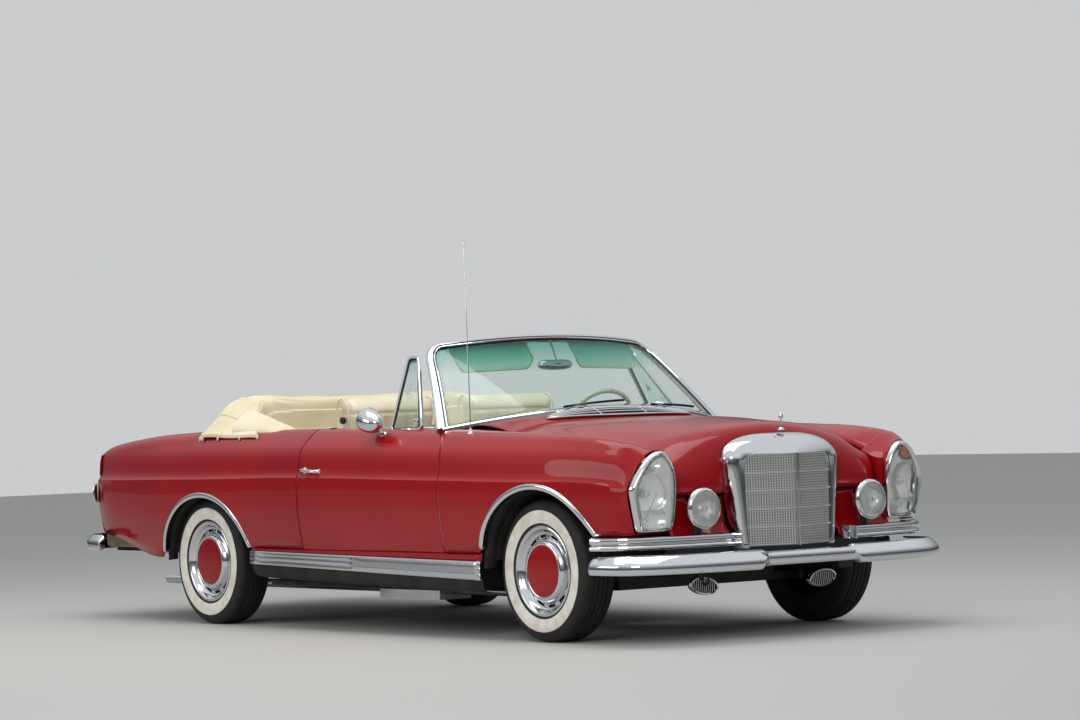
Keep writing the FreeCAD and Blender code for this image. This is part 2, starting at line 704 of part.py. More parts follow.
# Horns below the bumper, hung from the nose panel
horn_x, horn_y, horn_z = horn_mouth
turns = [math.radians(angle) for angle in range(0, 360, 20)]
horn_oval = [(horn_y + horn_half_width * math.cos(a), horn_z + horn_half_height * math.sin(a)) for a in turns]
horn_body = plate_yz(horn_oval, horn_x - horn_length, horn_x)
horn_stay = box(nose_x - nose_plate, horn_x - 12.0, horn_y - 12.0, horn_y + 12.0,
                horn_z, nose_low_z + 30.0)
nodes["horns"] = both_sides(fuse([horn_body, horn_stay]))


# Bumpers and blades, each a bar that follows a plan line
def bar_along(line, depth, z0, z1):
    """A bar whose outer face follows the plan line, closed over both sides of the car."""
    outer = line + [(x, -y) for x, y in line[::-1] if y > 0]
    inner_line = [(x - depth * (1 if x > 0 else -1) * a, y - depth * b) for (x, y), a, b in
                  zip(line, *turn_shares(line))]
    inner = inner_line + [(x, -y) for x, y in inner_line[::-1] if abs(y) > 0.01]
    return plate_xy(outer + inner[::-1], z0, z1)


def turn_shares(line):
    """How much of the depth goes inward along x and along y at each point of the line."""
    lengthways = []
    sideways = []
    for i in range(len(line)):
        a = line[max(i - 1, 0)]
        b = line[min(i + 1, len(line) - 1)]
        run_x, run_y = abs(b[0] - a[0]), abs(b[1] - a[1])
        length = math.hypot(run_x, run_y)
        on_centre = line[i][1] == 0.0
        lengthways.append(1.0 if on_centre else run_y / length)
        sideways.append(0.0 if on_centre else run_x / length)
    return lengthways, sideways


front_bumper = bar_along(front_line, bumper_depth, bumper_low_z, bumper_top_z)
dip_points = bumper_dip + [(-y, z) for y, z in bumper_dip[::-1]]
front_bumper = front_bumper.cut(plate_yz(dip_points, front_reach - 140.0, front_reach + 60.0))
bumper_irons = box(nose_x + seat_gap, front_reach - 40.0, 380.0, 420.0,
                   bumper_low_z + 15.0, bumper_top_z - 24.0)
front_bumper = fuse([front_bumper, bumper_irons, other_side(bumper_irons)])

along, sideways = turn_shares(blade_line)
blade_inner = [(x - blade_depth * a, y - blade_depth * b) for (x, y), a, b in
               zip(blade_line, along, sideways)]
blade = plate_xy(blade_line + blade_inner[::-1], blade_low_z, blade_top_z)
blade_stay = box(nose_x, front_reach - 170.0, 560.0, 600.0, blade_low_z + 28.0, blade_top_z - 12.0)
blade = fuse([blade, blade_stay])
nodes["front_bumper"] = Part.makeCompound([front_bumper, blade, other_side(blade)])

rear_bumper = bar_along(rear_line, rear_bumper_depth, rear_bumper_low_z, rear_bumper_top_z)
rear_irons = box(-rear_reach + 30.0, rear_panel_x - seat_gap, 420.0, 450.0,
                 rear_bumper_low_z + 30.0, rear_bumper_top_z - 6.0)
tail_face_x = rear_panel_x - rear_panel_plate - 2 * seat_gap
rider_x = -rear_reach + 2.0
over_rider = plate_xz([(rider_x, rear_bumper_low_z), (rider_x, rear_bumper_top_z + 44.0),
                       (rider_x + 18.0, rear_bumper_top_z + 84.0),
                       (tail_face_x, rear_bumper_top_z + 84.0), (tail_face_x, rear_bumper_low_z)],
                      640.0, 676.0)
nodes["rear_bumper"] = fuse([rear_bumper, rear_irons, other_side(rear_irons),
                             over_rider, other_side(over_rider)])

# Tail lamps
tail_lamp_low_z = 596.0
tail_lamp_top_z = 690.0
tail_plan = [(tail_face_x, 480.0), (tail_face_x, 690.0), (140.0 - rear_reach, 740.0),
             (120.0 - rear_reach, 782.0), (40.0 - rear_reach, 748.0), (16.0 - rear_reach, 700.0),
             (12.0 - rear_reach, 480.0)]
tail = plate_xy(tail_plan, tail_lamp_low_z, tail_lamp_top_z)
nodes["tail_lamps"] = both_sides(tail.cut(quarter).cut(rear))

# Boot lid
lid_inner = [(x + lid_skin * (0.0 if z > 900.0 else 0.8), z - lid_skin * (1.0 if z > 830.0 else 0.2))
             for x, z in lid_profile]
lid = plate_xz(lid_profile + lid_inner[::-1], -lid_half_width, lid_half_width)
necks = [goose_neck(lid_axis, lid_neck, -1.0, -8.0, y) for y in (lid_neck_y, -lid_neck_y)]
nodes["boot_lid"] = fuse([lid] + necks)

# Floor: one stepped plate from the firewall to the tail, with the tunnel and sills
hump_front_x = rear_axle_x + 170.0
hump_rear_x = rear_axle_x - 230.0
tail_wall_x = rear_panel_x + 19.0
floor_line = [(firewall_x, floor_z), (-560.0, floor_z), (-620.0, seat_pan_z),
              (hump_front_x + 60.0, seat_pan_z), (hump_front_x, axle_hump_z), (hump_rear_x, axle_hump_z),
              (hump_rear_x - 50.0, boot_floor_z), (tail_wall_x - 1.0, boot_floor_z)]
floor_top = [(x, z + floor_plate) for x, z in floor_line]
floor = plate_xz(floor_line + floor_top[::-1], -floor_half_width, floor_half_width)
front_floor = box(sill_rear_x, firewall_x, -sill_inner_y, sill_inner_y, floor_z, floor_z + floor_plate)
tunnel = box(-600.0, firewall_x, -tunnel_half_width, tunnel_half_width, floor_z + 10.0, tunnel_top_z)
tail_wall = box(rear_panel_x, tail_wall_x, -604.0, 604.0, boot_floor_z, boot_floor_z + 130.0)
bulkhead = box(bulkhead_x, bulkhead_x + bulkhead_plate, -floor_half_width, floor_half_width,
               axle_hump_z + 10.0, deck_top_z - deck_plate - seat_gap)
rear_eye = box(tow_rear[0] - tow_wall, tow_rear[0] + tow_wall, tow_y - tow_plate / 2,
               tow_y + tow_plate / 2, tow_rear[1] - tow_wall, boot_floor_z + 5.0)
rear_bore = rod((tow_rear[0], tow_y - tow_plate, tow_rear[1]),
                (tow_rear[0], tow_y + tow_plate, tow_rear[1]), tow_radius)
nodes["floor_pan"] = fuse([floor, front_floor, tunnel, tail_wall, bulkhead, rear_eye]).cut(rear_bore)

sill = box(sill_rear_x, sill_front_x, sill_inner_y, sill_outer_y, sill_bottom_z, sill_top_z)
nodes["sills"] = both_sides(sill)

# Cowl
cowl_half_width = between(side_stations, cowl_front_x)[6] - seat_gap
# Columns: x, then z at the middle, at y 300, at y 480 and at the edge
cowl_rows = [(cowl_front_x, 983.0, 973.0, 947.0, 911.0), (1040.0, 986.0, 978.0, 956.0, 924.0),
             (firewall_x + firewall_plate, 972.0, 966.0, 956.0, 930.0)]
cowl_sections = []
for x, centre, mid, shoulder, edge in cowl_rows:
    top = [(-cowl_half_width, edge), (-480.0, shoulder), (-300.0, mid), (0.0, centre),
           (300.0, mid), (480.0, shoulder), (cowl_half_width, edge)]
    under = [(y, cowl_bottom_z) for y, z in top[::-1]]
    cowl_sections.append([(x, y, z) for y, z in top + under])
cowl = loft(cowl_sections)
for y in (hood_neck_y, -hood_neck_y):
    x0, z0 = hood_axis
    pocket_low = cowl_bottom_z - 1.0
    pocket = plate_xz([(x0 - 30.0, pocket_low), (x0 - 30.0, z0 + 14.0), (x0 + 30.0, z0 + 12.0),
                       (cowl_front_x + 1.0, z0 - 1.0), (cowl_front_x + 1.0, pocket_low)],
                      y - 16.0, y + 16.0)
    cowl = cowl.cut(pocket).fuse(rod((x0, y - 17.0, z0), (x0, y + 17.0, z0), neck_pin_radius))

# Wheel houses and engine bay walls
front_house = arch_shell(front_arch, rail_outer_y + seat_gap, liner_outer_y)
rear_house = arch_shell(rear_arch, floor_half_width + seat_gap, liner_outer_y)
nodes["wheel_houses"] = Part.makeCompound(
    [front_house, other_side(front_house), rear_house, other_side(rear_house)])

# Engine bay: the firewall, a wall on each side and the rails under them, welded together
bay_front_x = nose_x - nose_plate - seat_gap
wall = box(firewall_x, firewall_x + firewall_plate, -cowl_half_width, cowl_half_width,
           floor_z + 7.0, cowl_bottom_z - seat_gap)
bay_wall = plate_xz([(firewall_x + 1.0, rail_top_z - 1.0), (firewall_x + 1.0, bay_top_z),
                     (front_axle_x + 360.0, bay_top_z), (bay_front_x, 590.0),
                     (bay_front_x, rail_top_z - 1.0)],
                    rail_outer_y - bay_plate, rail_outer_y)
rail = box(firewall_x + 1.0, bay_front_x, rail_inner_y, rail_outer_y, rail_low_z, rail_top_z)
bay = fuse([wall, bay_wall, rail, other_side(bay_wall), other_side(rail)])
for side in (1.0, -1.0):
    bay = bay.cut(box(front_axle_x - upper_arm_half - 12.0, front_axle_x + upper_arm_half + 12.0,
                      side * (rail_outer_y - bay_plate - 8.0), side * (rail_outer_y + 8.0),
                      upper_arm_z - 10.0, upper_arm_z + arm_height + 10.0))
nodes["engine_bay"] = bay.cut(nodes["floor_pan"])

# Dashboard
dash_back_x = firewall_x - seat_gap
dash_profile = [(dash_back_x, 968.0), (740.0, 950.0), (690.0, 905.0), (704.0, 800.0),
                (760.0, 740.0), (dash_back_x, 740.0)]
nodes["dashboard"] = plate_xz(dash_profile, -cowl_half_width, cowl_half_width)


# Windscreen: glass between two bowed lines, and its frame
def bow(corner, centre):
    """A level arc from the left corner through the centre to the right corner."""
    x, y, z = corner
    return Part.Arc(Vector(x, -y, z), Vector(*centre), Vector(x, y, z)).toShape()


def moved(point, dx, dy, dz):
    return (point[0] + dx, point[1] + dy, point[2] + dz)


glass_face = Part.makeRuledSurface(bow(screen_base_corner, screen_base_centre),
                                   bow(screen_top_corner, screen_top_centre))
nodes["windscreen_glass"] = glass_face.extrude(Vector(glass_thickness, 0, 0))
header_face = Part.makeRuledSurface(
    bow(moved(screen_top_corner, -header_front, 0, 0.5), moved(screen_top_centre, -header_front, 0, 0.5)),
    bow(moved(screen_top_corner, -header_back, 0, header_height),
        moved(screen_top_centre, -header_back, 0, header_height)))
header = header_face.extrude(Vector(header_depth, 0, 0))
pillars = []
for side in (1.0, -1.0):
    foot_x, foot_y, foot_z = screen_base_corner
    head_x, head_y, head_z = screen_top_corner
    rows = []
    for x, y, z, size in ((foot_x - 60.0, foot_y + 4.0, foot_z + 2.0, pillar_foot),
                          (head_x - 22.0, head_y + 6.0, head_z + header_height, pillar_head)):
        rows.append([(x - size, side * (y + 12.0), z), (x + size, side * (y + 12.0), z),
                     (x + size, side * (y - 10.0), z), (x - size, side * (y - 10.0), z)])
    pillars.append(loft(rows))
frame_shape = fuse([header] + pillars)
nodes["windscreen_frame"] = frame_shape.cut(nodes["windscreen_glass"])
nodes["cowl"] = cowl.cut(nodes["windscreen_glass"])
for name in ("cowl", "fenders"):
    nodes["windscreen_frame"] = nodes["windscreen_frame"].cut(nodes[name])

# Inside mirror, visors and aerial
mirror_stem = rod((600.0, 0, 1330.0), (650.0, 0, 1240.0), 5.0)
mirror_head = box(640.0, 656.0, -95.0, 95.0, 1196.0, 1240.0)
inside_mirror = fuse([mirror_stem, mirror_head])
visor = plate_xz([(566.0, 1322.0), (640.0, 1190.0), (636.0, 1186.0), (560.0, 1322.0)], 120.0, 520.0)
fittings = Part.makeCompound([inside_mirror, visor, other_side(visor)])
for name in ("windscreen_frame", "windscreen_glass"):
    fittings = fittings.cut(nodes[name])
nodes["header_fittings"] = fittings
aerial_foot = (1050.0, -790.0, 900.0)
aerial_tip = (990.0, -752.0, 1780.0)
aerial_base = rod(aerial_foot, moved(aerial_foot, -2.0, 0, 34.0), 14.0)
aerial = fuse([aerial_base, rod(aerial_foot, aerial_tip, 3.0)])
nodes["aerial"] = aerial.cut(nodes["fenders"])

# Vent windows and door mirrors
vent_plan = [(392.0, 910.0), (612.0, 910.0), (428.0, 1268.0), (392.0, 1272.0)]
vent = loft([[(x, 786.0 - (z - 930.0) * 0.44, z) for x, z in vent_plan],
             [(x, 774.0 - (z - 930.0) * 0.44, z) for x, z in vent_plan]])
mirror_foot = rod((383.0, 815.0, 885.0), (383.0, 858.0, 962.0), 10.0)
mirror_body = rod((360.0, 862.0, 985.0), (398.0, 862.0, 985.0), 52.0)
door_mirror = fuse([mirror_foot, mirror_body])
fittings = Part.makeCompound([vent, door_mirror]).cut(door)
add_pair("door_fittings", fittings)

# Seats
cushion = plate_xz(cushion_profile, seat_inner_y, seat_outer_y)
riser = box(-150.0, 280.0, seat_inner_y + 45.0, seat_outer_y - 50.0,
            floor_z + floor_plate + seat_gap, cushion_profile[0][1])
backrest = plate_xz(backrest_profile, seat_inner_y, seat_outer_y)
nodes["front_seats"] = both_sides(fuse([cushion, riser, backrest]))
rear_cushion = plate_xz(rear_cushion_profile, -rear_seat_half_width, rear_seat_half_width)
rear_cushion = rear_cushion.cut(nodes["floor_pan"])
rear_back = plate_xz(rear_back_profile, -rear_seat_half_width, rear_seat_half_width)
nodes["rear_seat"] = fuse([rear_cushion, rear_back])
side_trim = box(-1170.0, quarter_front_x, 700.0, 722.0, 400.0, 930.0)
side_trim = side_trim.cut(half_ellipse(rear_arch, arch_liner + 1.0, 600.0, 900.0))
nodes["rear_side_trims"] = both_sides(side_trim)

# Folded soft top under its cover
top_sections = []
for y, front, back, low, high in top_rows:
    crown = high - low
    top_sections.append([(front, y, low), (front + 8.0, y, low + 0.7 * crown), (front - 50.0, y, high),
                         (back + 110.0, y, high), (back + 20.0, y, low + 0.5 * crown), (back, y, low)])
soft_top = loft(top_sections)
for shape in (nodes["quarters"], nodes["rear_seat"]):
    soft_top = soft_top.cut(shape)
nodes["soft_top"] = soft_top

# Steering column and wheel
tilt = math.radians(column_tilt)
column_way = Vector(math.cos(tilt), 0, -math.sin(tilt))
hub_point = Vector(*wheel_hub)


def on_column(distance):
    p = hub_point + column_way * distance
    return (p.x, p.y, p.z)


column_length = 430.0
shaft = rod(on_column(-2.0), on_column(column_shaft_end), column_shaft_radius)
column = rod(on_column(column_shaft_end), on_column(column_length), column_radius).fuse(shaft)
column = column.common(box(0.0, dash_back_x, 0.0, past_side, 0.0, above_car))
nodes["steering_column"] = column
column_hole = rod(on_column(column_shaft_end), on_column(column_length + 70.0), column_radius + seat_gap)
nodes["dashboard"] = nodes["dashboard"].cut(column_hole)
rim = Part.makeTorus(steering_rim_radius, steering_rim_tube, hub_point, column_way)
hub = rod(on_column(-12.0), on_column(column_shaft_end - 6.0), steering_hub_radius)
spokes = []
for angle in (-12.0, 192.0):
    spoke = box(steering_hub_radius - 12.0, steering_rim_radius - 2.0, -12.0, 12.0, -6.0, 6.0)
    spoke.rotate(Vector(0, 0, 0), Vector(0, 0, 1), angle)
    spoke.rotate(Vector(0, 0, 0), Vector(0, 0, 1), -90.0)
    spoke.rotate(Vector(0, 0, 0), Vector(0, 1, 0), 90.0 + column_tilt)
    spoke.translate(hub_point)
    spokes.append(spoke)
column_bore = rod(on_column(-2.5), on_column(column_shaft_end), column_shaft_radius + running_clearance)
nodes["steering_wheel"] = fuse([rim, hub] + spokes).cut(column_bore)

# Engine and gearbox on mounts between the rails
engine = box(engine_rear_x, engine_rear_x + engine_length, -engine_half_width, engine_half_width,
             rail_low_z + 1.0, bay_top_z + 10.0)
gearbox = box(firewall_x + firewall_plate + seat_gap, engine_rear_x, -gearbox_half_width,
              gearbox_half_width, rail_low_z - 8.0, gearbox_top_z)
mount_reach = rail_inner_y - seat_gap
mounts = box(mount_x - 40.0, mount_x + 40.0, -mount_reach, mount_reach, rail_low_z + 2.0, rail_top_z - 2.0)
nodes["engine_block"] = fuse([engine, gearbox, mounts])

# Front axle: a beam with a tower inside each rail, and two arms with eyes for the king pin
arms = [box(front_axle_x - beam_half, front_axle_x + beam_half, -445.0, 445.0,
            lower_arm_z, rail_low_z - seat_gap)]
bores = []
for side in (1.0, -1.0):
    tower_inner = side * (rail_inner_y - seat_gap - tower_width)
    for low in (lower_arm_z, upper_arm_z):
        arms.append(box(front_axle_x - upper_arm_half, front_axle_x + upper_arm_half,
                        tower_inner, side * steer_axis_y, low, low + arm_height))
        arms.append(rod((front_axle_x, side * steer_axis_y, low),
                        (front_axle_x, side * steer_axis_y, low + arm_height), eye_radius))
    arms.append(box(front_axle_x - beam_half, front_axle_x + beam_half, tower_inner,
                    side * (rail_inner_y - seat_gap), lower_arm_z, upper_arm_z + arm_height))
    bores.append(rod((front_axle_x, side * steer_axis_y, 0.0),
                     (front_axle_x, side * steer_axis_y, wheel_z * 2), king_pin_radius + running_clearance))
nodes["front_axle"] = fuse(arms).cut(bores[0]).cut(bores[1])

# Knuckles: a king pin, an upright between the arms and a stub shaft for the wheel
pin = rod((front_axle_x, steer_axis_y, lower_arm_z - 9.0),
          (front_axle_x, steer_axis_y, upper_arm_z + arm_height + 9.0), king_pin_radius)
upright = box(front_axle_x - 26.0, front_axle_x + 26.0, steer_axis_y - 24.0, steer_axis_y + 26.0,
              lower_arm_z + arm_height + knuckle_gap, upper_arm_z - knuckle_gap)
stub = rod((front_axle_x, steer_axis_y, wheel_z),
           (front_axle_x, track_front / 2 + stub_reach, wheel_z), stub_radius)
add_pair("knuckle", fuse([pin, upright, stub]))

# Rear axle: a tube with a differential housing, stub shafts and spring seats under the floor
rear_half = track_rear / 2
tube_end = rear_half - hub_depth
rear_tube = rod((rear_axle_x, -tube_end, wheel_z), (rear_axle_x, tube_end, wheel_z), axle_tube_radius)
rear_stubs = rod((rear_axle_x, -rear_half - stub_reach, wheel_z),
                 (rear_axle_x, rear_half + stub_reach, wheel_z), stub_radius)
differential = Part.makeSphere(105.0, Vector(rear_axle_x, 0, wheel_z))
spring_seats = []
for y in (spring_seat_y, -spring_seat_y):
    spring_seats.append(rod((rear_axle_x, y, wheel_z), (rear_axle_x, y, axle_hump_z - seat_gap),
                            axle_tube_radius + 3.0))
nodes["rear_axle"] = fuse([rear_tube, rear_stubs, differential] + spring_seats)

# Exhaust: down from the engine, back under the floor through a silencer
elbow = (engine_rear_x - 20.0, pipe_y, pipe_z)
pipe = rod(elbow, (pipe_end_x, pipe_y, pipe_z), pipe_radius)
bend = Part.makeSphere(pipe_radius + 2.0, Vector(*elbow))
silencer = box(-300.0, 200.0, pipe_y - 90.0, pipe_y + 90.0, pipe_z - 44.0, floor_z - seat_gap)
hanger = box(pipe_end_x + 125.0, pipe_end_x + 145.0, pipe_y - 10.0, pipe_y + 10.0,
             pipe_z, boot_floor_z - seat_gap)
down_pipe = rod(elbow, (engine_rear_x + 90.0, -engine_half_width, pipe_z + 130.0), pipe_radius)
down_pipe = down_pipe.cut(nodes["engine_block"])
nodes["exhaust"] = fuse([pipe, bend, silencer, hanger, down_pipe])


# Wheels, each a rim with its disc and hub, and a tyre
def wheel_pieces(x, side, half_track):
    """Rim and tyre of one wheel. Rings are lists of (radius, distance outward), turned about the axle."""
    centre = (x, side * half_track, wheel_z)

    def ring(points):
        placed = [(x, side * (half_track + across), wheel_z + radius) for radius, across in points]
        return turned(placed, centre, (0, 1, 0))

    half_rim = rim_width / 2
    half_tyre = tyre_width / 2
    barrel = ring([(bead_radius - rim_wall, -half_rim), (rim_lip_radius, -half_rim),
                   (rim_lip_radius, -half_rim + 4.0), (bead_radius, -half_rim + 8.0),
                   (bead_radius, half_rim - 8.0), (rim_lip_radius, half_rim - 4.0),
                   (rim_lip_radius, half_rim), (bead_radius - rim_wall, half_rim)])
    disc_out = half_rim - disc_inset
    disc_face = disc_out + 12.0
    bore_radius = stub_radius + running_clearance
    disc = ring([(bore_radius, disc_out - disc_thickness),
                 (bead_radius - rim_wall + 1.0, disc_out - disc_thickness - 6.0),
                 (bead_radius - rim_wall + 1.0, disc_out - 6.0),
                 (hub_cap_radius + 7.0, disc_face), (bore_radius, disc_face)])
    hub_ring = ring([(bore_radius, disc_out - hub_depth), (hub_radius, disc_out - hub_depth),
                     (hub_radius, disc_out), (bore_radius, disc_out)])
    cap = ring([(0.0, disc_face), (hub_cap_radius, disc_face), (hub_cap_radius - 8.0, disc_face + 12.0),
                (0.0, disc_face + 18.0)])
    rim_solid = fuse([barrel, disc, hub_ring, cap])
    tyre = ring([(bead_radius, -half_rim + 8.0), (rim_lip_radius + 2.0, -half_rim + 1.0),
                 (225.0, -half_tyre + 6.0), (258.0, -half_tyre), (288.0, -half_tyre + 8.0),
                 (tyre_radius - 5.0, -half_tyre + 20.0), (tyre_radius, -half_tyre + 34.0),
                 (tyre_radius, half_tyre - 34.0), (tyre_radius - 5.0, half_tyre - 20.0),
                 (288.0, half_tyre - 8.0), (258.0, half_tyre), (225.0, half_tyre - 6.0),
                 (rim_lip_radius + 2.0, half_rim - 1.0), (bead_radius, half_rim - 8.0)])
    return rim_solid, tyre.cut(rim_solid)


for name, x, side, half_track in (
        ("front_left", front_axle_x, 1.0, track_front / 2),
        ("front_right", front_axle_x, -1.0, track_front / 2),
        ("rear_left", rear_axle_x, 1.0, track_rear / 2),
        ("rear_right", rear_axle_x, -1.0, track_rear / 2)):
    rim_solid, tyre = wheel_pieces(x, side, half_track)
    nodes["rim_" + name] = rim_solid
    nodes["tyre_" + name] = tyre

os.makedirs("parts", exist_ok=True)
for name, shape in nodes.items():
    shape.exportStep("parts/%s.step" % name)
    print(name, len(shape.Solids), shape.isValid(), round(shape.Volume / 1e6, 3))
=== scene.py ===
import math

import bmesh
import bpy
import numpy as np
from mathutils import Matrix, Vector


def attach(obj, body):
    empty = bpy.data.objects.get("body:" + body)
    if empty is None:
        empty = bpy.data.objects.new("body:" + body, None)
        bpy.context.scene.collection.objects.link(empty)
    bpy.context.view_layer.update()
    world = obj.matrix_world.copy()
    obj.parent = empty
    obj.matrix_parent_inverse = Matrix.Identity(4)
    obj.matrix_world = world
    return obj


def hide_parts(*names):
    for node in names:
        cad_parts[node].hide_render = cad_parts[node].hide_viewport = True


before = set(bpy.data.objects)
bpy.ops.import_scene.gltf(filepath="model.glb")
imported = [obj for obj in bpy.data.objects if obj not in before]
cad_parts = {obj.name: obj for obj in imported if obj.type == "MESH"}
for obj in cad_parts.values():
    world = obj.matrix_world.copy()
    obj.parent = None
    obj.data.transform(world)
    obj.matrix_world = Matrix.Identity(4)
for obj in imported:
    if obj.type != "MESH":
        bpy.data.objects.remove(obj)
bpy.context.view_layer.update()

# Metres. X points forward, Y to the car's left, Z up from the ground.
SIDES = (("left", 1), ("right", -1))

# Wheels
AXLES = {"front": 1.6, "rear": -1.15}
HALF_TRACK = {"front": 0.741, "rear": 0.7425}
WHEEL_Z = 0.31

# Arches: centre x, centre z, half length, height of the half ellipse
FRONT_ARCH = (1.628, 0.29, 0.402, 0.378)
REAR_ARCH = (-1.087, 0.29, 0.425, 0.34)
ARCH_TRIM = 0.024

# Body side stations, front to rear. Columns: x, crease y, crease z, ridge y, ridge z,
# lower edge z, inner edge y, inner edge z
SIDE = np.array([
    (2.232, 0.822, 0.662, 0.735, 0.842, 0.466, 0.585, 0.735),
    (2.000, 0.862, 0.690, 0.760, 0.876, 0.464, 0.612, 0.815),
    (1.600, 0.893, 0.697, 0.783, 0.896, 0.410, 0.640, 0.884),
    (1.230, 0.908, 0.702, 0.796, 0.905, 0.388, 0.653, 0.908),
    (0.700, 0.918, 0.711, 0.800, 0.926, 0.388, 0.656, 0.938),
    (-0.190, 0.922, 0.723, 0.800, 0.940, 0.388, 0.735, 0.936),
    (-0.650, 0.920, 0.721, 0.800, 0.941, 0.388, 0.735, 0.937),
    (-1.180, 0.903, 0.717, 0.800, 0.940, 0.350, 0.735, 0.938),
    (-1.250, 0.900, 0.717, 0.799, 0.938, 0.345, 0.606, 0.938),
    (-1.650, 0.871, 0.715, 0.790, 0.925, 0.332, 0.606, 0.929),
    (-2.000, 0.830, 0.713, 0.765, 0.900, 0.400, 0.606, 0.906),
    (-2.250, 0.785, 0.711, 0.730, 0.872, 0.432, 0.606, 0.880),
    (-2.390, 0.730, 0.708, 0.690, 0.845, 0.440, 0.606, 0.850),
])
SHEET = 0.003

# Door
DOOR_REAR = -0.182
DOOR_FRONT = 0.950
DOOR_CORNER = 0.150
DOOR_CORNER_Z = 0.772
DOOR_THICK = 0.096
DOOR_GAP = 0.008
FENDER_END = 0.958
QUARTER_START = -0.190

# Hood stations, front to rear. Columns: x, centre z, z at y 0.3, shoulder y, shoulder z
HOOD = np.array([
    (2.232, 0.900, 0.836, 0.450, 0.752),
    (2.150, 0.921, 0.884, 0.460, 0.822),
    (2.000, 0.935, 0.912, 0.470, 0.864),
    (1.600, 0.957, 0.945, 0.480, 0.914),
    (1.185, 0.962, 0.956, 0.480, 0.940),
])
HOOD_REAR = 1.181
HOOD_LIP = (2.236, 0.628)
SHELL_REAR = 2.206
POD_START = 2.12
SHELL_CROWN = 0.878

# Faces of a box whose eight corners are counted by x, then y, then z
BOX = np.array([(0, 1, 3, 2), (4, 6, 7, 5), (0, 4, 5, 1), (2, 3, 7, 6), (0, 2, 6, 4), (1, 5, 7, 3)])


def srgb(code, alpha=1.0):
    """Linear colour of an sRGB hex value."""
    values = [int(code[i:i + 2], 16) / 255 for i in (1, 3, 5)]
    return [v / 12.92 if v <= 0.04045 else ((v + 0.055) / 1.055) ** 2.4 for v in values] + [alpha]


def add(tree, kind, settings=None, links=None):
    """A node with its settings, and links as input name to output socket."""
    node = tree.nodes.new(kind)
    for key, value in (settings or {}).items():
        if isinstance(key, str) and hasattr(node, key):
            setattr(node, key, value)
        else:
            node.inputs[key].default_value = value
    for key, socket in (links or {}).items():
        tree.links.new(socket, node.inputs[key])
    return node


def finish(name, slot, colour, metallic=0.0, roughness=0.5, **sockets):
    """A material with its principled shader set directly; the slot argument is not used. Returns the
    material, tree and shader.
    """
    material = bpy.data.materials.new(name)
    material.use_nodes = True
    tree = material.node_tree
    shader = tree.nodes["Principled BSDF"]
    shader.inputs["Base Color"].default_value = srgb(colour)
    shader.inputs["Metallic"].default_value = metallic
    shader.inputs["Roughness"].default_value = roughness
    for key, value in sockets.items():
        shader.inputs[key.replace("_", " ")].default_value = value
    return material, tree, shader


def grain(tree, shader, size, strength, detail=3.0, kind="noise", distance=0.001, stretch=(1, 1, 1)):
    """A bump of grains of about that size in metres, read in object coordinates."""
    place = add(tree, "ShaderNodeTexCoord")
    turn = add(tree, "ShaderNodeMapping", {"Scale": stretch}, {"Vector": place.outputs["Object"]})
    if kind == "noise":
        pattern = add(tree, "ShaderNodeTexNoise", {"Scale": 1 / size, "Detail": detail},
                      {"Vector": turn.outputs[0]})
    else:
        pattern = add(tree, "ShaderNodeTexVoronoi", {"Scale": 1 / size}, {"Vector": turn.outputs[0]})
    bump = add(tree, "ShaderNodeBump", {"Strength": strength, "Distance": distance},
               {"Height": pattern.outputs[0]})
    tree.links.new(bump.outputs[0], shader.inputs["Normal"])


def tint(tree, shader, low, high, size, detail=4.0):
    """The base colour drifts between two hex colours over patches of about that size in metres."""
    place = add(tree, "ShaderNodeTexCoord")
    noise = add(tree, "ShaderNodeTexNoise", {"Scale": 1 / size, "Detail": detail},
                {"Vector": place.outputs["Object"]})
    ramp = add(tree, "ShaderNodeValToRGB", {}, {"Fac": noise.outputs[0]})
    for stop, place, colour in zip(ramp.color_ramp.elements, (0.35, 0.65), (low, high)):
        stop.position = place
        stop.color = srgb(colour)
    tree.links.new(ramp.outputs[0], shader.inputs["Base Color"])


def rough_drift(tree, shader, low, high, size):
    """Roughness drifts between two values over patches of about that size in metres."""
    place = add(tree, "ShaderNodeTexCoord")
    noise = add(tree, "ShaderNodeTexNoise", {"Scale": 1 / size, "Detail": 4.0},
                {"Vector": place.outputs["Object"]})
    spread = add(tree, "ShaderNodeMapRange", {"To Min": low, "To Max": high}, {"Value": noise.outputs[0]})
    tree.links.new(spread.outputs[0], shader.inputs["Roughness"])


# Glossy red enamel under clear lacquer: deep colour, sharp reflections, a faint waviness of the sheet
paint, tree, shader = finish("red_enamel", "body_paint", "#980811", roughness=0.32, Coat_Weight=0.55,
                             Coat_Roughness=0.02, Coat_IOR=1.42, Specular_IOR_Level=0.12)
tint(tree, shader, "#900710", "#9E0A13", 0.9)
grain(tree, shader, 0.35, 0.06, 2.0, distance=0.002)

# Bright chrome plate: mirror finish with faint polishing marks
chrome, tree, shader = finish("chrome_plate", "chrome", "#D6D8DB", metallic=1.0, roughness=0.06)
rough_drift(tree, shader, 0.04, 0.11, 0.05)
grain(tree, shader, 0.06, 0.05, 2.0, distance=0.0006)

# Stamped bright aluminium: softer than chrome, fine brushing along the car
bright_trim, tree, shader = finish("bright_aluminium", "chrome", "#C9CBCE", metallic=1.0, roughness=0.2)
rough_drift(tree, shader, 0.16, 0.27, 0.03)

# Silvered wire of the grille net: pale and soft
net_silver, tree, shader = finish("silvered_wire", "chrome", "#E8E8E4", metallic=0.75, roughness=0.38)
rough_drift(tree, shader, 0.32, 0.45, 0.05)

# Satin black enamel on hidden steel
black_enamel, tree, shader = finish("black_enamel", "black_enamel", "#141414", roughness=0.45)
rough_drift(tree, shader, 0.35, 0.6, 0.04)
grain(tree, shader, 0.01, 0.15)

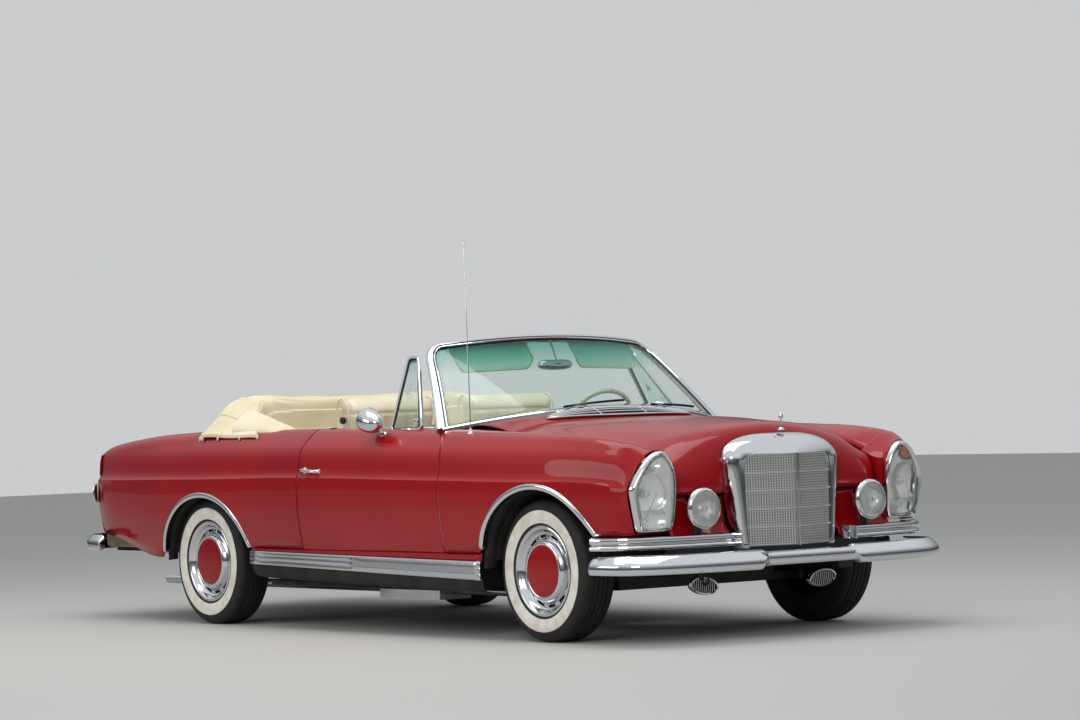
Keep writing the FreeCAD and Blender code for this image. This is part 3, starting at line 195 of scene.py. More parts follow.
# Sprayed underseal: matt, dusty, lumpy
underseal, tree, shader = finish("sprayed_underseal", "underseal", "#1B1A19", roughness=0.85)
tint(tree, shader, "#151413", "#2C2925", 0.12)
grain(tree, shader, 0.012, 0.5, 5.0, distance=0.003)

# Cast iron with a film of oil
cast_iron, tree, shader = finish("cast_iron", None, "#3A3937", metallic=0.7, roughness=0.55)
tint(tree, shader, "#2C2B2A", "#4A4845", 0.08)
grain(tree, shader, 0.004, 0.4, 4.0)

# Pressed lamp glass: clear with cast flutes, slightly milky
lamp_glass, tree, shader = finish("pressed_lamp_glass", "lamp_glass", "#FBFCFB", roughness=0.03,
                                  Transmission_Weight=0.95, IOR=1.3)
place = add(tree, "ShaderNodeTexCoord")
flutes = add(tree, "ShaderNodeTexWave", {"bands_direction": "Y", "Scale": 20.0, "Distortion": 0.3,
                                         "Detail": 1.0}, {"Vector": place.outputs["Object"]})
bump = add(tree, "ShaderNodeBump", {"Strength": 0.25, "Distance": 0.002}, {"Height": flutes.outputs[0]})
tree.links.new(bump.outputs[0], shader.inputs["Normal"])

# Silvered reflector: bright metal broken into soft facets
reflector, tree, shader = finish("silvered_reflector", "chrome", "#F6F7F5", metallic=0.6, roughness=0.28)
grain(tree, shader, 0.03, 0.6, kind="voronoi", distance=0.006, stretch=(1.0, 1.0, 0.35))

# Moulded acrylic lenses
amber_lens, tree, shader = finish("amber_acrylic", "tail_lens", "#D9660F", roughness=0.12, Coat_Weight=0.6,
                                  Coat_Roughness=0.05)
grain(tree, shader, 0.004, 0.3, kind="voronoi")
red_lens, tree, shader = finish("red_acrylic", "tail_lens", "#8E0A0C", roughness=0.1, Coat_Weight=1.0,
                                Coat_Roughness=0.04)
grain(tree, shader, 0.004, 0.3, kind="voronoi")

# Laminated windscreen glass, faintly green
screen_glass, tree, shader = finish("laminated_glass", "screen_glass", "#DCEFE9", roughness=0.0,
                                    Transmission_Weight=1.0, IOR=1.02, Specular_IOR_Level=0.6,
                                    Coat_Weight=0.5, Coat_Roughness=0.0)
# Turquoise sun band along its top
place = add(tree, "ShaderNodeTexCoord")
height = add(tree, "ShaderNodeSeparateXYZ", {}, {"Vector": place.outputs["Object"]})
band = add(tree, "ShaderNodeMapRange", {"From Min": 1.18, "From Max": 1.34}, {"Value": height.outputs[2]})
ramp = add(tree, "ShaderNodeValToRGB", {}, {"Fac": band.outputs[0]})
ramp.color_ramp.elements[0].color = srgb("#E4F3EE")
ramp.color_ramp.elements[1].color = srgb("#3FB3A6")
tree.links.new(ramp.outputs[0], shader.inputs["Base Color"])

# Pale vinyl of the sun visors
visor_vinyl, tree, shader = finish("pale_vinyl", "screen_glass", "#E3E6DC", roughness=0.5)
grain(tree, shader, 0.003, 0.15, kind="voronoi", distance=0.0004)

# Cream hide: fine pebbled grain, soft sheen, paler where it is stretched
leather, tree, shader = finish("cream_hide", "cream_leather", "#E9DCBC", roughness=0.42, Coat_Weight=0.08,
                               Coat_Roughness=0.3)
tint(tree, shader, "#DECFAC", "#EDE2C6", 0.16)
grain(tree, shader, 0.0035, 0.22, kind="voronoi", distance=0.0006)

# Woven cover cloth: canvas threads about 1.5 mm apart, drawn at 3 mm so that they show
cloth, tree, shader = finish("cream_canvas", "cream_cloth", "#EADCB9", roughness=0.85, Sheen_Weight=0.25,
                             Sheen_Roughness=0.5)
tint(tree, shader, "#E0D0A8", "#EFE3C6", 0.3)
place = add(tree, "ShaderNodeTexCoord")
threads = [add(tree, "ShaderNodeTexWave", {"bands_direction": direction, "Scale": 52.0, "Distortion": 0.4,
           "Detail": 1.0}, {"Vector": place.outputs["Object"]}) for direction in ("X", "Y")]
weave = add(tree, "ShaderNodeMath", {"operation": "MULTIPLY"},
            {0: threads[0].outputs[1], 1: threads[1].outputs[1]})
bump = add(tree, "ShaderNodeBump", {"Strength": 0.25, "Distance": 0.0008}, {"Height": weave.outputs[0]})
tree.links.new(bump.outputs[0], shader.inputs["Normal"])

# Padded dash covering, black grained hide
dash_hide, tree, shader = finish("black_hide", "dash_leather", "#1C1A18", roughness=0.5)
grain(tree, shader, 0.003, 0.35, kind="voronoi")

# Polished ivory plastic of the steering wheel
ivory, tree, shader = finish("ivory_plastic", "ivory", "#E4DDC4", roughness=0.18, Coat_Weight=0.5,
                             Coat_Roughness=0.08)
tint(tree, shader, "#DCD3B6", "#E9E3CD", 0.08)

# Looped wool carpet
carpet, tree, shader = finish("wool_carpet", "dash_leather", "#7A6B50", roughness=0.95, Sheen_Weight=0.4)
tint(tree, shader, "#6B5C43", "#8A7A5D", 0.05)
grain(tree, shader, 0.004, 0.9, distance=0.003)

# Burr walnut veneer under lacquer
walnut, tree, shader = finish("walnut_veneer", "dash_leather", "#5A3016", roughness=0.2, Coat_Weight=1.0,
                              Coat_Roughness=0.05)
tint(tree, shader, "#3C1E0D", "#7A4620", 0.03, detail=8.0)

# Tyre rubber and its white wall band
rubber, tree, shader = finish("tyre_rubber", "tyre_rubber", "#161616", roughness=0.75)
tint(tree, shader, "#121212", "#201F1E", 0.05)
grain(tree, shader, 0.004, 0.25)
white_rubber, tree, shader = finish("white_rubber", "tyre_rubber", "#E6E0D2", roughness=0.6)
tint(tree, shader, "#D9D2C0", "#ECE8DE", 0.05)

# Soft black rubber of seals and wiper blades
seal_rubber, tree, shader = finish("seal_rubber", "black_enamel", "#111111", roughness=0.6)
grain(tree, shader, 0.005, 0.15)


def spline(knots, values):
    """A natural cubic spline through the rows: slopes solve the usual three-term equations,
    so that curvature has no jump. Returns a function of an array of parameters."""
    knots = np.asarray(knots, float)
    values = np.asarray(values, float).reshape(len(knots), -1)
    if knots[0] > knots[-1]:
        knots, values = knots[::-1], values[::-1]
    gaps = np.diff(knots)
    steps = np.diff(values, axis=0) / gaps[:, None]
    count = len(knots)
    system = np.zeros((count, count))
    right = np.zeros((count, values.shape[1]))
    system[0, :2] = (2, 1)
    system[-1, -2:] = (1, 2)
    right[0] = 3 * steps[0]
    right[-1] = 3 * steps[-1]
    inner = np.arange(1, count - 1)
    system[inner, inner - 1] = 1 / gaps[:-1]
    system[inner, inner] = 2 * (1 / gaps[:-1] + 1 / gaps[1:])
    system[inner, inner + 1] = 1 / gaps[1:]
    right[inner] = 3 * (steps[:-1] / gaps[:-1, None] + steps[1:] / gaps[1:, None])
    slopes = np.linalg.solve(system, right)

    def at(where):
        where = np.asarray(where, float)
        i = np.clip(np.searchsorted(knots, where, side="right") - 1, 0, count - 2)
        gap = gaps[i][..., None]
        s = (where - knots[i])[..., None] / gap
        return ((2 * s ** 3 - 3 * s ** 2 + 1) * values[i] + (s ** 3 - 2 * s ** 2 + s) * gap * slopes[i]
                + (3 * s ** 2 - 2 * s ** 3) * values[i + 1] + (s ** 3 - s ** 2) * gap * slopes[i + 1])

    return at


def straight(knots, values):
    """Straight lines between table rows, as a function of an array of parameters."""
    order = np.argsort(knots)
    knots = np.asarray(knots, float)[order]
    values = np.asarray(values, float).reshape(len(knots), -1)[order]

    def at(where):
        where = np.asarray(where, float)
        i = np.clip(np.searchsorted(knots, where) - 1, 0, len(knots) - 2)
        s = (where - knots[i]) / (knots[i + 1] - knots[i])
        return values[i] + (values[i + 1] - values[i]) * np.clip(s, 0, 1)[..., None]

    return at


def through(points, count):
    """A smooth curve through the points, at even steps of the point number."""
    points = np.asarray(points, float)
    return spline(np.arange(len(points)), points)(np.linspace(0, len(points) - 1, count))


def bezier(a, b, c, d, s):
    """Cubic curves from a to d, drawn towards b and c, at shares s of the way."""
    return (1 - s) ** 3 * a + 3 * s * (1 - s) ** 2 * b + 3 * s ** 2 * (1 - s) * c + s ** 3 * d


def ease(s):
    """A smooth step from 0 to 1."""
    s = np.clip(s, 0, 1)
    return s * s * (3 - 2 * s)


def unit(vectors):
    """The vectors brought to length one."""
    return vectors / np.linalg.norm(vectors, axis=-1)[..., None]


def square_to(line, *steps):
    """Unit directions in plan to the left of a line's way, at each of its points."""
    ahead = unit(np.gradient(line, *steps, axis=0))
    return np.stack([-ahead[:, 1], ahead[:, 0]], 1)


def quads(rows, columns, closed_rows=False, closed_columns=False, start=0):
    """Faces of a grid whose points are counted row by row."""
    r = np.arange(rows if closed_rows else rows - 1)
    c = np.arange(columns if closed_columns else columns - 1)
    r, c = np.meshgrid(r, c, indexing="ij")
    r, c = r.ravel(), c.ravel()
    nr, nc = (r + 1) % rows, (c + 1) % columns
    return np.stack([r * columns + c, nr * columns + c, nr * columns + nc, r * columns + nc], 1) + start


def capped(rows, columns):
    """Faces of a closed profile carried over some rows, with both ends closed."""
    ends = [list(range(columns)), list(range((rows - 1) * columns, rows * columns))]
    return quads(rows, columns, False, True).tolist() + ends


def make(name, points, faces, material, body="car_body", slot=None, smooth=True, outward=False):
    """A mesh object from point and face arrays, smooth where faces meet gently. The slot argument
    is not used."""
    mesh = bpy.data.meshes.new(name)
    mesh.from_pydata(np.asarray(points, float).reshape(-1, 3).tolist(), [],
                     [list(map(int, face)) for face in faces])
    mesh.validate()
    if outward:
        work = bmesh.new()
        work.from_mesh(mesh)
        bmesh.ops.remove_doubles(work, verts=work.verts, dist=1e-5)
        bmesh.ops.recalc_face_normals(work, faces=work.faces)
        work.to_mesh(mesh)
        work.free()
    mesh.materials.append(material)
    if smooth:
        mesh.shade_smooth()
        mesh.set_sharp_from_angle(angle=math.radians(38))
    piece = bpy.data.objects.new(name, mesh)
    bpy.context.scene.collection.objects.link(piece)
    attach(piece, body)
    return piece


def walled(piece, thick):
    """A sheet of some thickness, grown to the back of its faces."""
    wall = piece.modifiers.new("wall", "SOLIDIFY")
    wall.thickness = thick
    wall.offset = -1.0
    return piece


def grid(name, points, material, body="car_body", thick=0.0, closed_columns=False, flip=False, **options):
    """A surface from a grid of points. A thickness turns it into a sheet."""
    points = np.asarray(points, float)
    faces = quads(*points.shape[:2], False, closed_columns)
    if flip:
        faces = faces[:, ::-1]
    piece = make(name, points, faces, material, body, **options)
    if thick:
        walled(piece, thick)
    return piece


def slab(name, outer, inner, material, body, flip=False):
    """A closed panel between an outer and an inner grid of the same shape, joined at the rims."""
    outer, inner = np.asarray(outer, float), np.asarray(inner, float)
    rows, columns = outer.shape[:2]
    count = rows * columns
    index = np.arange(count).reshape(rows, columns)
    faces = [quads(rows, columns), quads(rows, columns, start=count)[:, ::-1]]
    for edge, turn in ((index[0], 1), (index[-1], -1), (index[:, 0], -1), (index[:, -1], 1)):
        strip = np.stack([edge[:-1], edge[1:], edge[1:] + count, edge[:-1] + count], 1)
        faces.append(strip[:, ::turn])
    faces = np.concatenate(faces)
    if flip:
        faces = faces[:, ::-1]
    points = np.concatenate([outer.reshape(-1, 3), inner.reshape(-1, 3)])
    return make(name, points, faces, material, body, outward=True)


def sweep(name, path, profile, material, body="car_body", closed=False, up=(0, 0, 1)):
    """A profile of (side, up) points carried along a path. Side is path direction cross up, and
    up is kept square to the path."""
    path = np.asarray(path, float)
    profile = np.asarray(profile, float)
    if closed:
        ahead = np.roll(path, -1, 0) - np.roll(path, 1, 0)
    else:
        ahead = np.gradient(path, axis=0)
    ahead = unit(ahead)
    side = unit(np.cross(ahead, np.broadcast_to(np.asarray(up, float), path.shape)))
    rise = np.cross(side, ahead)
    points = path[:, None] + side[:, None] * profile[None, :, :1] + rise[:, None] * profile[None, :, 1:2]
    rows, columns = points.shape[:2]
    faces = quads(rows, columns, True, True) if closed else capped(rows, columns)
    return make(name, points, faces, material, body, outward=True)


def lathe(name, profile, centre, axis, material, body="car_body", segments=64, close=False, **options):
    """A profile of (radius, distance along the axis) points turned about an axis."""
    profile = np.asarray(profile, float)
    axis = unit(np.asarray(axis, float))
    helper = (0.0, 0.0, 1.0) if abs(axis[2]) < 0.9 else (1.0, 0.0, 0.0)
    first = unit(np.cross(helper, axis))
    second = np.cross(axis, first)
    turn = np.linspace(0, 2 * np.pi, segments, endpoint=False)
    ring = np.cos(turn)[:, None] * first + np.sin(turn)[:, None] * second
    points = (np.asarray(centre, float) + ring[:, None] * profile[None, :, :1]
              + axis * profile[None, :, 1:2])
    faces = quads(segments, len(profile), True, close)
    return make(name, points, faces, material, body, outward=True, **options)


def circle(radius, count=12):
    """A round profile."""
    turn = np.linspace(0, 2 * np.pi, count, endpoint=False)
    return np.stack([radius * np.cos(turn), radius * np.sin(turn)], 1)


def mirrored(points, side):
    """The grid on the car's left, or its mirror image on the right."""
    points = np.array(points, float)
    points[..., 1] *= side
    return points


def block(low, high):
    """Points and faces of a box between its lowest and its highest corner."""
    low, high = np.asarray(low, float), np.asarray(high, float)
    corners = np.array([(i, j, k) for i in (0, 1) for j in (0, 1) for k in (0, 1)], float)
    return low + corners * (high - low), BOX


def joined(parts):
    """Several point and face sets as one."""
    points, faces, start = [], [], 0
    for some_points, some_faces in parts:
        some_points = np.asarray(some_points, float).reshape(-1, 3)
        points.append(some_points)
        faces.append(np.asarray(some_faces) + start)
        start += len(some_points)
    return np.concatenate(points), np.concatenate(faces)


def bevelled(piece, width):
    """Rounded edges on a finished piece."""
    edge = piece.modifiers.new("edge", "BEVEL")
    edge.width = width
    edge.segments = 3
    edge.limit_method = "ANGLE"
    edge.angle_limit = math.radians(40)


def read(mesh, key="co"):
    """The points of a mesh as rows, or its normals."""
    values = np.empty(len(mesh.vertices) * 3)
    mesh.vertices.foreach_get(key, values)
    return values.reshape(-1, 3)


# Body side surface: each section runs from the lower edge over the crease and the ridge
body_lines = spline(SIDE[:, 0], SIDE[:, 1:6])
edge_lines = straight(SIDE[:, 0], SIDE[:, 6:8])


def section_points(x):
    """The eight control points (y, z) of the section at each x: lower edge, middle, crease, step
    above the crease, upper side, shoulder, ridge and inner edge."""
    crease_y, crease_z, ridge_y, ridge_z, low_z = np.moveaxis(body_lines(x), -1, 0)
    edge_y, edge_z = np.moveaxis(edge_lines(x), -1, 0)
    rise = ridge_z - crease_z
    lean = crease_y - ridge_y
    y = [crease_y - 0.028, crease_y - 0.004, crease_y, crease_y - 0.009, crease_y - 0.024,
         ridge_y + 0.42 * lean, ridge_y, edge_y]
    z = [low_z, low_z + 0.45 * (crease_z - low_z), crease_z, crease_z + 0.012, crease_z + 0.5 * rise,
         ridge_z - 0.2 * rise, ridge_z, edge_z]
    return np.stack([np.stack(y, -1), np.stack(z, -1)], -1)


UPPER_KNOTS = [0.0, 0.06, 0.32, 0.55, 0.72, 1.0]


def section_weights(t):
    """How much of each control point makes the section at t: 0 lower edge, 1 crease, 2 inner edge."""
    t = np.asarray(t, float)
    lower = spline([0.0, 0.45, 1.0], np.eye(3))(np.clip(t, 0, 1))
    upper = spline(UPPER_KNOTS, np.eye(6))(np.clip(t - 1, 0, 1))
    weights = np.zeros(t.shape + (8,))
    below = t <= 1
    weights[below, :3] = lower[below]
    weights[~below, 2:] = upper[~below]
    return weights


def side_surface(x, t):
    """The body side at arrays of x and t of one shape, as points."""
    control = section_points(x)
    weights = section_weights(t)
    yz = np.einsum("...k,...kd->...d", weights, control)
    return np.concatenate([np.asarray(x, float)[..., None], yz], -1)


LOWER_STEPS = np.linspace(0, 1, 9)
UPPER_STEPS = 1 + np.array([0.03, 0.06, 0.1, 0.16, 0.23, 0.3, 0.37, 0.44, 0.5, 0.55, 0.6, 0.65, 0.7,
                            0.75, 0.8, 0.87, 0.94, 1.0])
SECTION_STEPS = np.concatenate([LOWER_STEPS, UPPER_STEPS])


def on_side(x, z, most=1.0):
    """Points of the body side at each x and height below the crease."""
    control = section_points(x)
    low, crease = control[..., 0, 1], control[..., 2, 1]
    return side_surface(x, np.clip((z - low) / (crease - low), 0, most))


def arch_height(arch, x):
    """Height of the arch opening at each x, or far below where there is none."""
    centre, base, half, height = arch
    inside = np.clip(1 - ((x - centre) / half) ** 2, 0, None)
    return np.where(inside > 0, base + height * np.sqrt(inside), -1.0)


def lower_limit(arch, x):
    """Section parameter of the lower edge where the arch cuts it."""
    control = section_points(x)
    low, crease = control[..., 0, 1], control[..., 2, 1]
    return np.clip((arch_height(arch, x) - low) / (crease - low), 0, 0.97)


def arch_columns(arch, start, end, spacing=0.05):
    """Columns along x from start to end, close together near the feet of the arch."""
    centre, base, half, height = arch
    low = float(section_points(np.array(centre))[0, 1])
    foot = math.asin((low - base) / height)
    turn = np.linspace(foot, math.pi - foot, 41)
    arch_x = centre + half * np.cos(turn)
    step = -spacing if end < start else spacing
    more = np.arange(start, end, step)
    more = more[(more > arch_x.max() + 0.02) | (more < arch_x.min() - 0.02)]
    return np.sort(np.concatenate([arch_x, more, [start, end]]))[::-1]


def panel(arch, columns, rear_edge=None):
    """A side panel over an arch, as a grid of columns along x and rows up the section. The rear
    edge is a function that gives the x limit at each height."""
    x, t = np.meshgrid(columns, SECTION_STEPS, indexing="ij")
    limit = lower_limit(arch, x)
    t = np.where(t < 1, limit + (1 - limit) * t, t)
    if rear_edge:
        first, last = columns[0], columns[-1]
        heights = side_surface(np.full(len(SECTION_STEPS), last), SECTION_STEPS)[:, 2]
        x = x + ease((x - first) / (last - first)) ** 3 * (rear_edge(heights)[None] - last)
    return side_surface(x, t)


def door_front(z, gap=0.0):
    """Front shut line: straight up, then round the corner towards the windscreen pillar."""
    radius = DOOR_CORNER + gap
    rise = np.clip((z - DOOR_CORNER_Z) / radius, 0, 0.999)
    corner = DOOR_FRONT - DOOR_CORNER + radius * np.sqrt(1 - rise ** 2)
    return np.where(z < DOOR_CORNER_Z, DOOR_FRONT + gap, corner)


def fender_edge(z):
    """The fender's rear edge, one gap before the door."""
    return door_front(z, DOOR_GAP)


def sheet_metal(name, points, side, thick=SHEET):
    """A painted sheet panel on one side of the car."""
    return grid(name, mirrored(points, side), paint, thick=thick, flip=side > 0)


# Fenders from the nose to the door, and rear quarters from the door to the tail, over the arches
fender_skin = panel(FRONT_ARCH, arch_columns(FRONT_ARCH, POD_START, FENDER_END), fender_edge)
for name, side in SIDES:
    fender = sheet_metal(f"fender_{name}", fender_skin, side)
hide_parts("fenders")
quarter_skin = panel(REAR_ARCH, arch_columns(REAR_ARCH, QUARTER_START, -2.385))
for name, side in SIDES:
    quarter = sheet_metal(f"quarter_{name}", quarter_skin, side)
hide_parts("quarters")

# Bright mouldings round the arches, with a lip turned under the panel
for place, arch in (("front", FRONT_ARCH), ("rear", REAR_ARCH)):
    centre, base, half, height = arch
    low = float(section_points(np.array(centre))[0, 1])
    foot = math.asin(max(low - base, 0.0) / height) * 0.9
    turn = np.linspace(foot, math.pi - foot, 61)
    inner = on_side(centre + half * np.cos(turn), base + height * np.sin(turn))
    outward = unit(np.stack([height * np.cos(turn), np.zeros_like(turn), half * np.sin(turn)], 1))
    wide = inner + outward * ARCH_TRIM
    wide = on_side(wide[:, 0], wide[:, 2], 1.05)
    # Share of the way across the moulding, and how far it stands proud there
    bands = ((0, -0.022), (0, 0.003), (0.2, 0.0057), (0.55, 0.0066), (0.85, 0.0048), (1, 0.0006))
    rows = [inner + share * (wide - inner) + (0, proud, 0) for share, proud in bands]
    rows = np.stack(rows, 1)
    for name, side in SIDES:
        grid(f"arch_moulding_{place}_{name}", mirrored(rows, side), chrome, thick=0.0015, flip=side > 0)

# Doors: an outer skin and an inner face with the trim, joined round the edge
door_columns = np.concatenate([np.linspace(DOOR_FRONT, 0.72, 12), np.linspace(0.68, DOOR_REAR, 18)])
x, t = np.meshgrid(door_columns, SECTION_STEPS, indexing="ij")
heights = side_surface(np.full(len(SECTION_STEPS), 0.7), SECTION_STEPS)[:, 2]
share = np.clip((x - 0.4) / (DOOR_FRONT - 0.4), 0, 1) ** 1.5
x = x + share * (door_front(heights) - DOOR_FRONT)[None]
outer = side_surface(x, t)
control = section_points(x)
inner = outer.copy()
inner[..., 1] = np.where(t >= 2, outer[..., 1], np.minimum(outer[..., 1], control[..., 2, 0] - DOOR_THICK))
inner[..., 0] -= ease((inner[..., 0] - 0.70) / 0.25) * 0.055
inner[..., 0] += ease((DOOR_REAR + 0.12 - inner[..., 0]) / 0.12) * 0.012
lower = 0.014 * np.clip((2 - t) / 0.2, 0, 1)
inner[..., 2] = np.where(t < 2, np.minimum(outer[..., 2] - lower, control[..., 7, 1] - 0.012), outer[..., 2])
inner[..., 1] -= 0.004 * np.clip((2 - t) / 0.1, 0, 1)
for name, side in SIDES:
    door = slab(f"door_{name}", mirrored(outer, side), mirrored(inner, side), paint, f"door_{name}",
                flip=side > 0)
    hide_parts(f"door_panel_{name}")

# Hood: each section falls over the nose to a lip above a dark slot
hood_lines = spline(HOOD[:, 0], HOOD[:, 1:])


def hood_section(x, share):
    """Height of the hood at x for y as a share of its half width, and that half width. The
    section runs through the centre, the shoulder and the valley beside the fender."""
    centre_z, near_z, shoulder_y, shoulder_z = np.moveaxis(hood_lines(x), -1, 0)
    edge = edge_lines(x)
    edge_y, edge_z = edge[..., 0] - 0.008, edge[..., 1]
    y = share * edge_y
    result = np.empty(np.broadcast(x, share).shape)
    for i in range(result.shape[0]):
        knots = [0.0, 0.15, 0.3, shoulder_y[i, 0], 0.5 * (shoulder_y[i, 0] + edge_y[i, 0]), edge_y[i, 0]]
        heights = [centre_z[i, 0], 0.72 * centre_z[i, 0] + 0.28 * near_z[i, 0], near_z[i, 0],
                   shoulder_z[i, 0], 0.5 * (shoulder_z[i, 0] + edge_z[i, 0]) - 0.004, edge_z[i, 0]]
        result[i] = spline(knots, np.array(heights)[:, None])(y[i])[:, 0]
    return result, y


hood_x = np.concatenate([np.linspace(HOOD_REAR, 2.0, 16), np.linspace(2.03, 2.13, 5)])
shares = np.concatenate([np.linspace(0, 0.7, 15), np.linspace(0.74, 1.0, 8)])
x, share = np.meshgrid(hood_x, shares, indexing="ij")
z, y = hood_section(x, share)
top = np.stack([x, y, z], -1)
# The front face comes down from the last top row to the lip in a rounded fall
fall = np.linspace(0, 1, 15)[1:]
last = top[-1]
slope = unit(top[-1] - top[-2])
depth = HOOD_LIP[0] - 0.045 * (y[-1] / 0.6) ** 2 - last[:, 0]
lip = np.stack([last[:, 0] + depth, y[-1] * 0.985, np.full(len(shares), HOOD_LIP[1])], -1)
corner = last + slope * depth[:, None] * 0.9
upper = np.stack([lip[:, 0] + 0.004, y[-1] * 0.99, lip[:, 2] + 0.6 * (corner[:, 2] - lip[:, 2])], -1)
half = np.concatenate([top, bezier(last, corner, upper, lip, fall[:, None, None])])
hood_grid = np.concatenate([mirrored(half, -1)[:, ::-1], half[:, 1:]], 1)
behind = (hood_grid[..., 0] > SHELL_REAR) & (np.abs(hood_grid[..., 1]) < 0.30)
hood_grid[..., 0] = np.where(behind, SHELL_REAR, hood_grid[..., 0])
hood_skin = grid("hood_skin", hood_grid, paint, "hood", thick=SHEET)
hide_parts("hood_panel")


# Fender noses: the side carries on forward and turns into the outline of the tall lamp
# Columns: section parameter, y and z of the lamp outline there
LAMP_OUTLINE = np.array([
    (0.00, 0.786, 0.474),
    (0.50, 0.809, 0.560),
    (1.00, 0.827, 0.652),
    (1.12, 0.824, 0.682),
    (1.30, 0.801, 0.724),
    (1.50, 0.767, 0.772),
    (1.66, 0.729, 0.808),
    (1.78, 0.684, 0.823),
    (1.89, 0.646, 0.804),
    (2.00, 0.612, 0.752),
    (3.00, 0.614, 0.484),
    (4.00, 0.796, 0.474),
])
BEZEL_DEPTH = 0.030


def lamp_plane(y, z):
    """How far forward the raked face of the headlamp lies at (y, z)."""
    return 2.240 - 0.07 * (y - 0.60) + 0.093 * (z - 0.40)


def behind_lamp(yz, depth):
    """Points at (y, z), set back from the raked face by a depth."""
    return np.concatenate([(lamp_plane(yz[..., 0], yz[..., 1]) - depth)[..., None], yz], -1)


def pod_ring(t):
    """The rim of the fender at the lamp, as points."""
    yz = straight(LAMP_OUTLINE[:, 0], LAMP_OUTLINE[:, 1:])(t)
    smooth = spline(LAMP_OUTLINE[:10, 0], LAMP_OUTLINE[:10, 1:])(np.clip(t, 0, 2))
    return behind_lamp(np.where((t <= 2)[..., None], smooth, yz), BEZEL_DEPTH)


def pod_surface(s, t):
    """From the fender section at s = 0 to the lamp rim at s = 1. The share of the rim grows with
    the square of s, so that the side runs on without a kink."""
    rim = pod_ring(t)
    x = POD_START + s * (rim[..., 0] - POD_START)
    upper = side_surface(x, np.clip(t, 0, 2))
    base = side_surface(x, np.zeros_like(t))
    inner = side_surface(x, np.full_like(t, 2.0))
    foot = np.stack([x, inner[..., 1], base[..., 2]], -1)
    down = inner + np.clip(t - 2, 0, 1)[..., None] * (foot - inner)
    under = foot + np.clip(t - 3, 0, 1)[..., None] * (base - foot)
    start = np.where((t <= 2)[..., None], upper, np.where((t <= 3)[..., None], down, under))
    share = (np.clip(s, 0, 1) ** 2)[..., None]
    result = (1 - share) * start + share * rim
    result[..., 0] = x
    result[..., 1:] -= np.where(s < 0, 0.0006, 0)[..., None]
    return result


pod_steps = np.concatenate([SECTION_STEPS, np.linspace(2, 3, 9)[1:], np.linspace(3, 4, 6)[1:]])
pod_s, pod_t = np.meshgrid(np.append(np.linspace(1, 0, 15), (-0.1, -0.2)), pod_steps, indexing="ij")
for name, side in SIDES:
    sheet_metal(f"fender_nose_{name}", pod_surface(pod_s, pod_t), side, 0.002)


def closed_spline(points, count):
    """A smooth closed curve through the points, evenly stepped by point number."""
    points = np.asarray(points, float)
    turns = np.concatenate([points[-3:], points, points[:4]])
    where = np.arange(-3, len(points) + 4)
    return spline(where, turns)(np.linspace(0, len(points), count, endpoint=False))


def offset_curve(curve, distance):
    """A closed (y, z) curve moved inwards by a distance."""
    along = unit(np.roll(curve, -1, 0) - np.roll(curve, 1, 0))
    normal = np.stack([-along[:, 1], along[:, 0]], 1)
    return curve + normal * np.asarray(distance).reshape(-1, 1)


# Outline of the bezel on the lamp plane, then how wide the bezel is there. Columns: y, z, width
LAMP_CURVE = np.array([
    (0.716, 0.479, 0.009), (0.762, 0.480, 0.012), (0.781, 0.486, 0.019), (0.791, 0.518, 0.024),
    (0.8022, 0.560, 0.026), (0.813, 0.604, 0.028), (0.8220, 0.648, 0.030), (0.8175, 0.678, 0.028),
    (0.795, 0.720, 0.024), (0.761, 0.768, 0.021), (0.724, 0.803, 0.018), (0.683, 0.8175, 0.017),
    (0.646, 0.800, 0.015), (0.616, 0.752, 0.010), (0.602, 0.700, 0.008), (0.598, 0.622, 0.007),
    (0.604, 0.534, 0.007), (0.614, 0.494, 0.008), (0.634, 0.481, 0.009),
])
lamp_loop = closed_spline(LAMP_CURVE, 132)
lamp_rim, lip_width = lamp_loop[:, :2], lamp_loop[:, 2]
# Bezel rings from the rear of its outer wall over the front crest to the edge of the lens
rings = []
for inset, back in ((-0.001, 0.034), (-0.002, 0.022), (0.000, 0.008), (0.003, 0.001), (0.006, -0.001)):
    rings.append(behind_lamp(offset_curve(lamp_rim, inset), back))
for share, back in ((0.55, 0.003), (0.85, 0.006), (1.0, 0.011), (1.05, 0.024)):
    rings.append(behind_lamp(offset_curve(lamp_rim, 0.005 + share * (lip_width - 0.005)), back))
bezel = np.stack(rings, 0)
lens_rim = offset_curve(lamp_rim, lip_width)
lens_centre = np.array([0.708, 0.640])

# Bowls of the reflector. Columns: depth, centre y, centre z, half width, half height
BOWLS = [(0.050, 0.722, 0.640, 0.088, 0.088), (0.040, 0.712, 0.535, 0.080, 0.052),
         (0.030, 0.735, 0.765, 0.060, 0.036)]

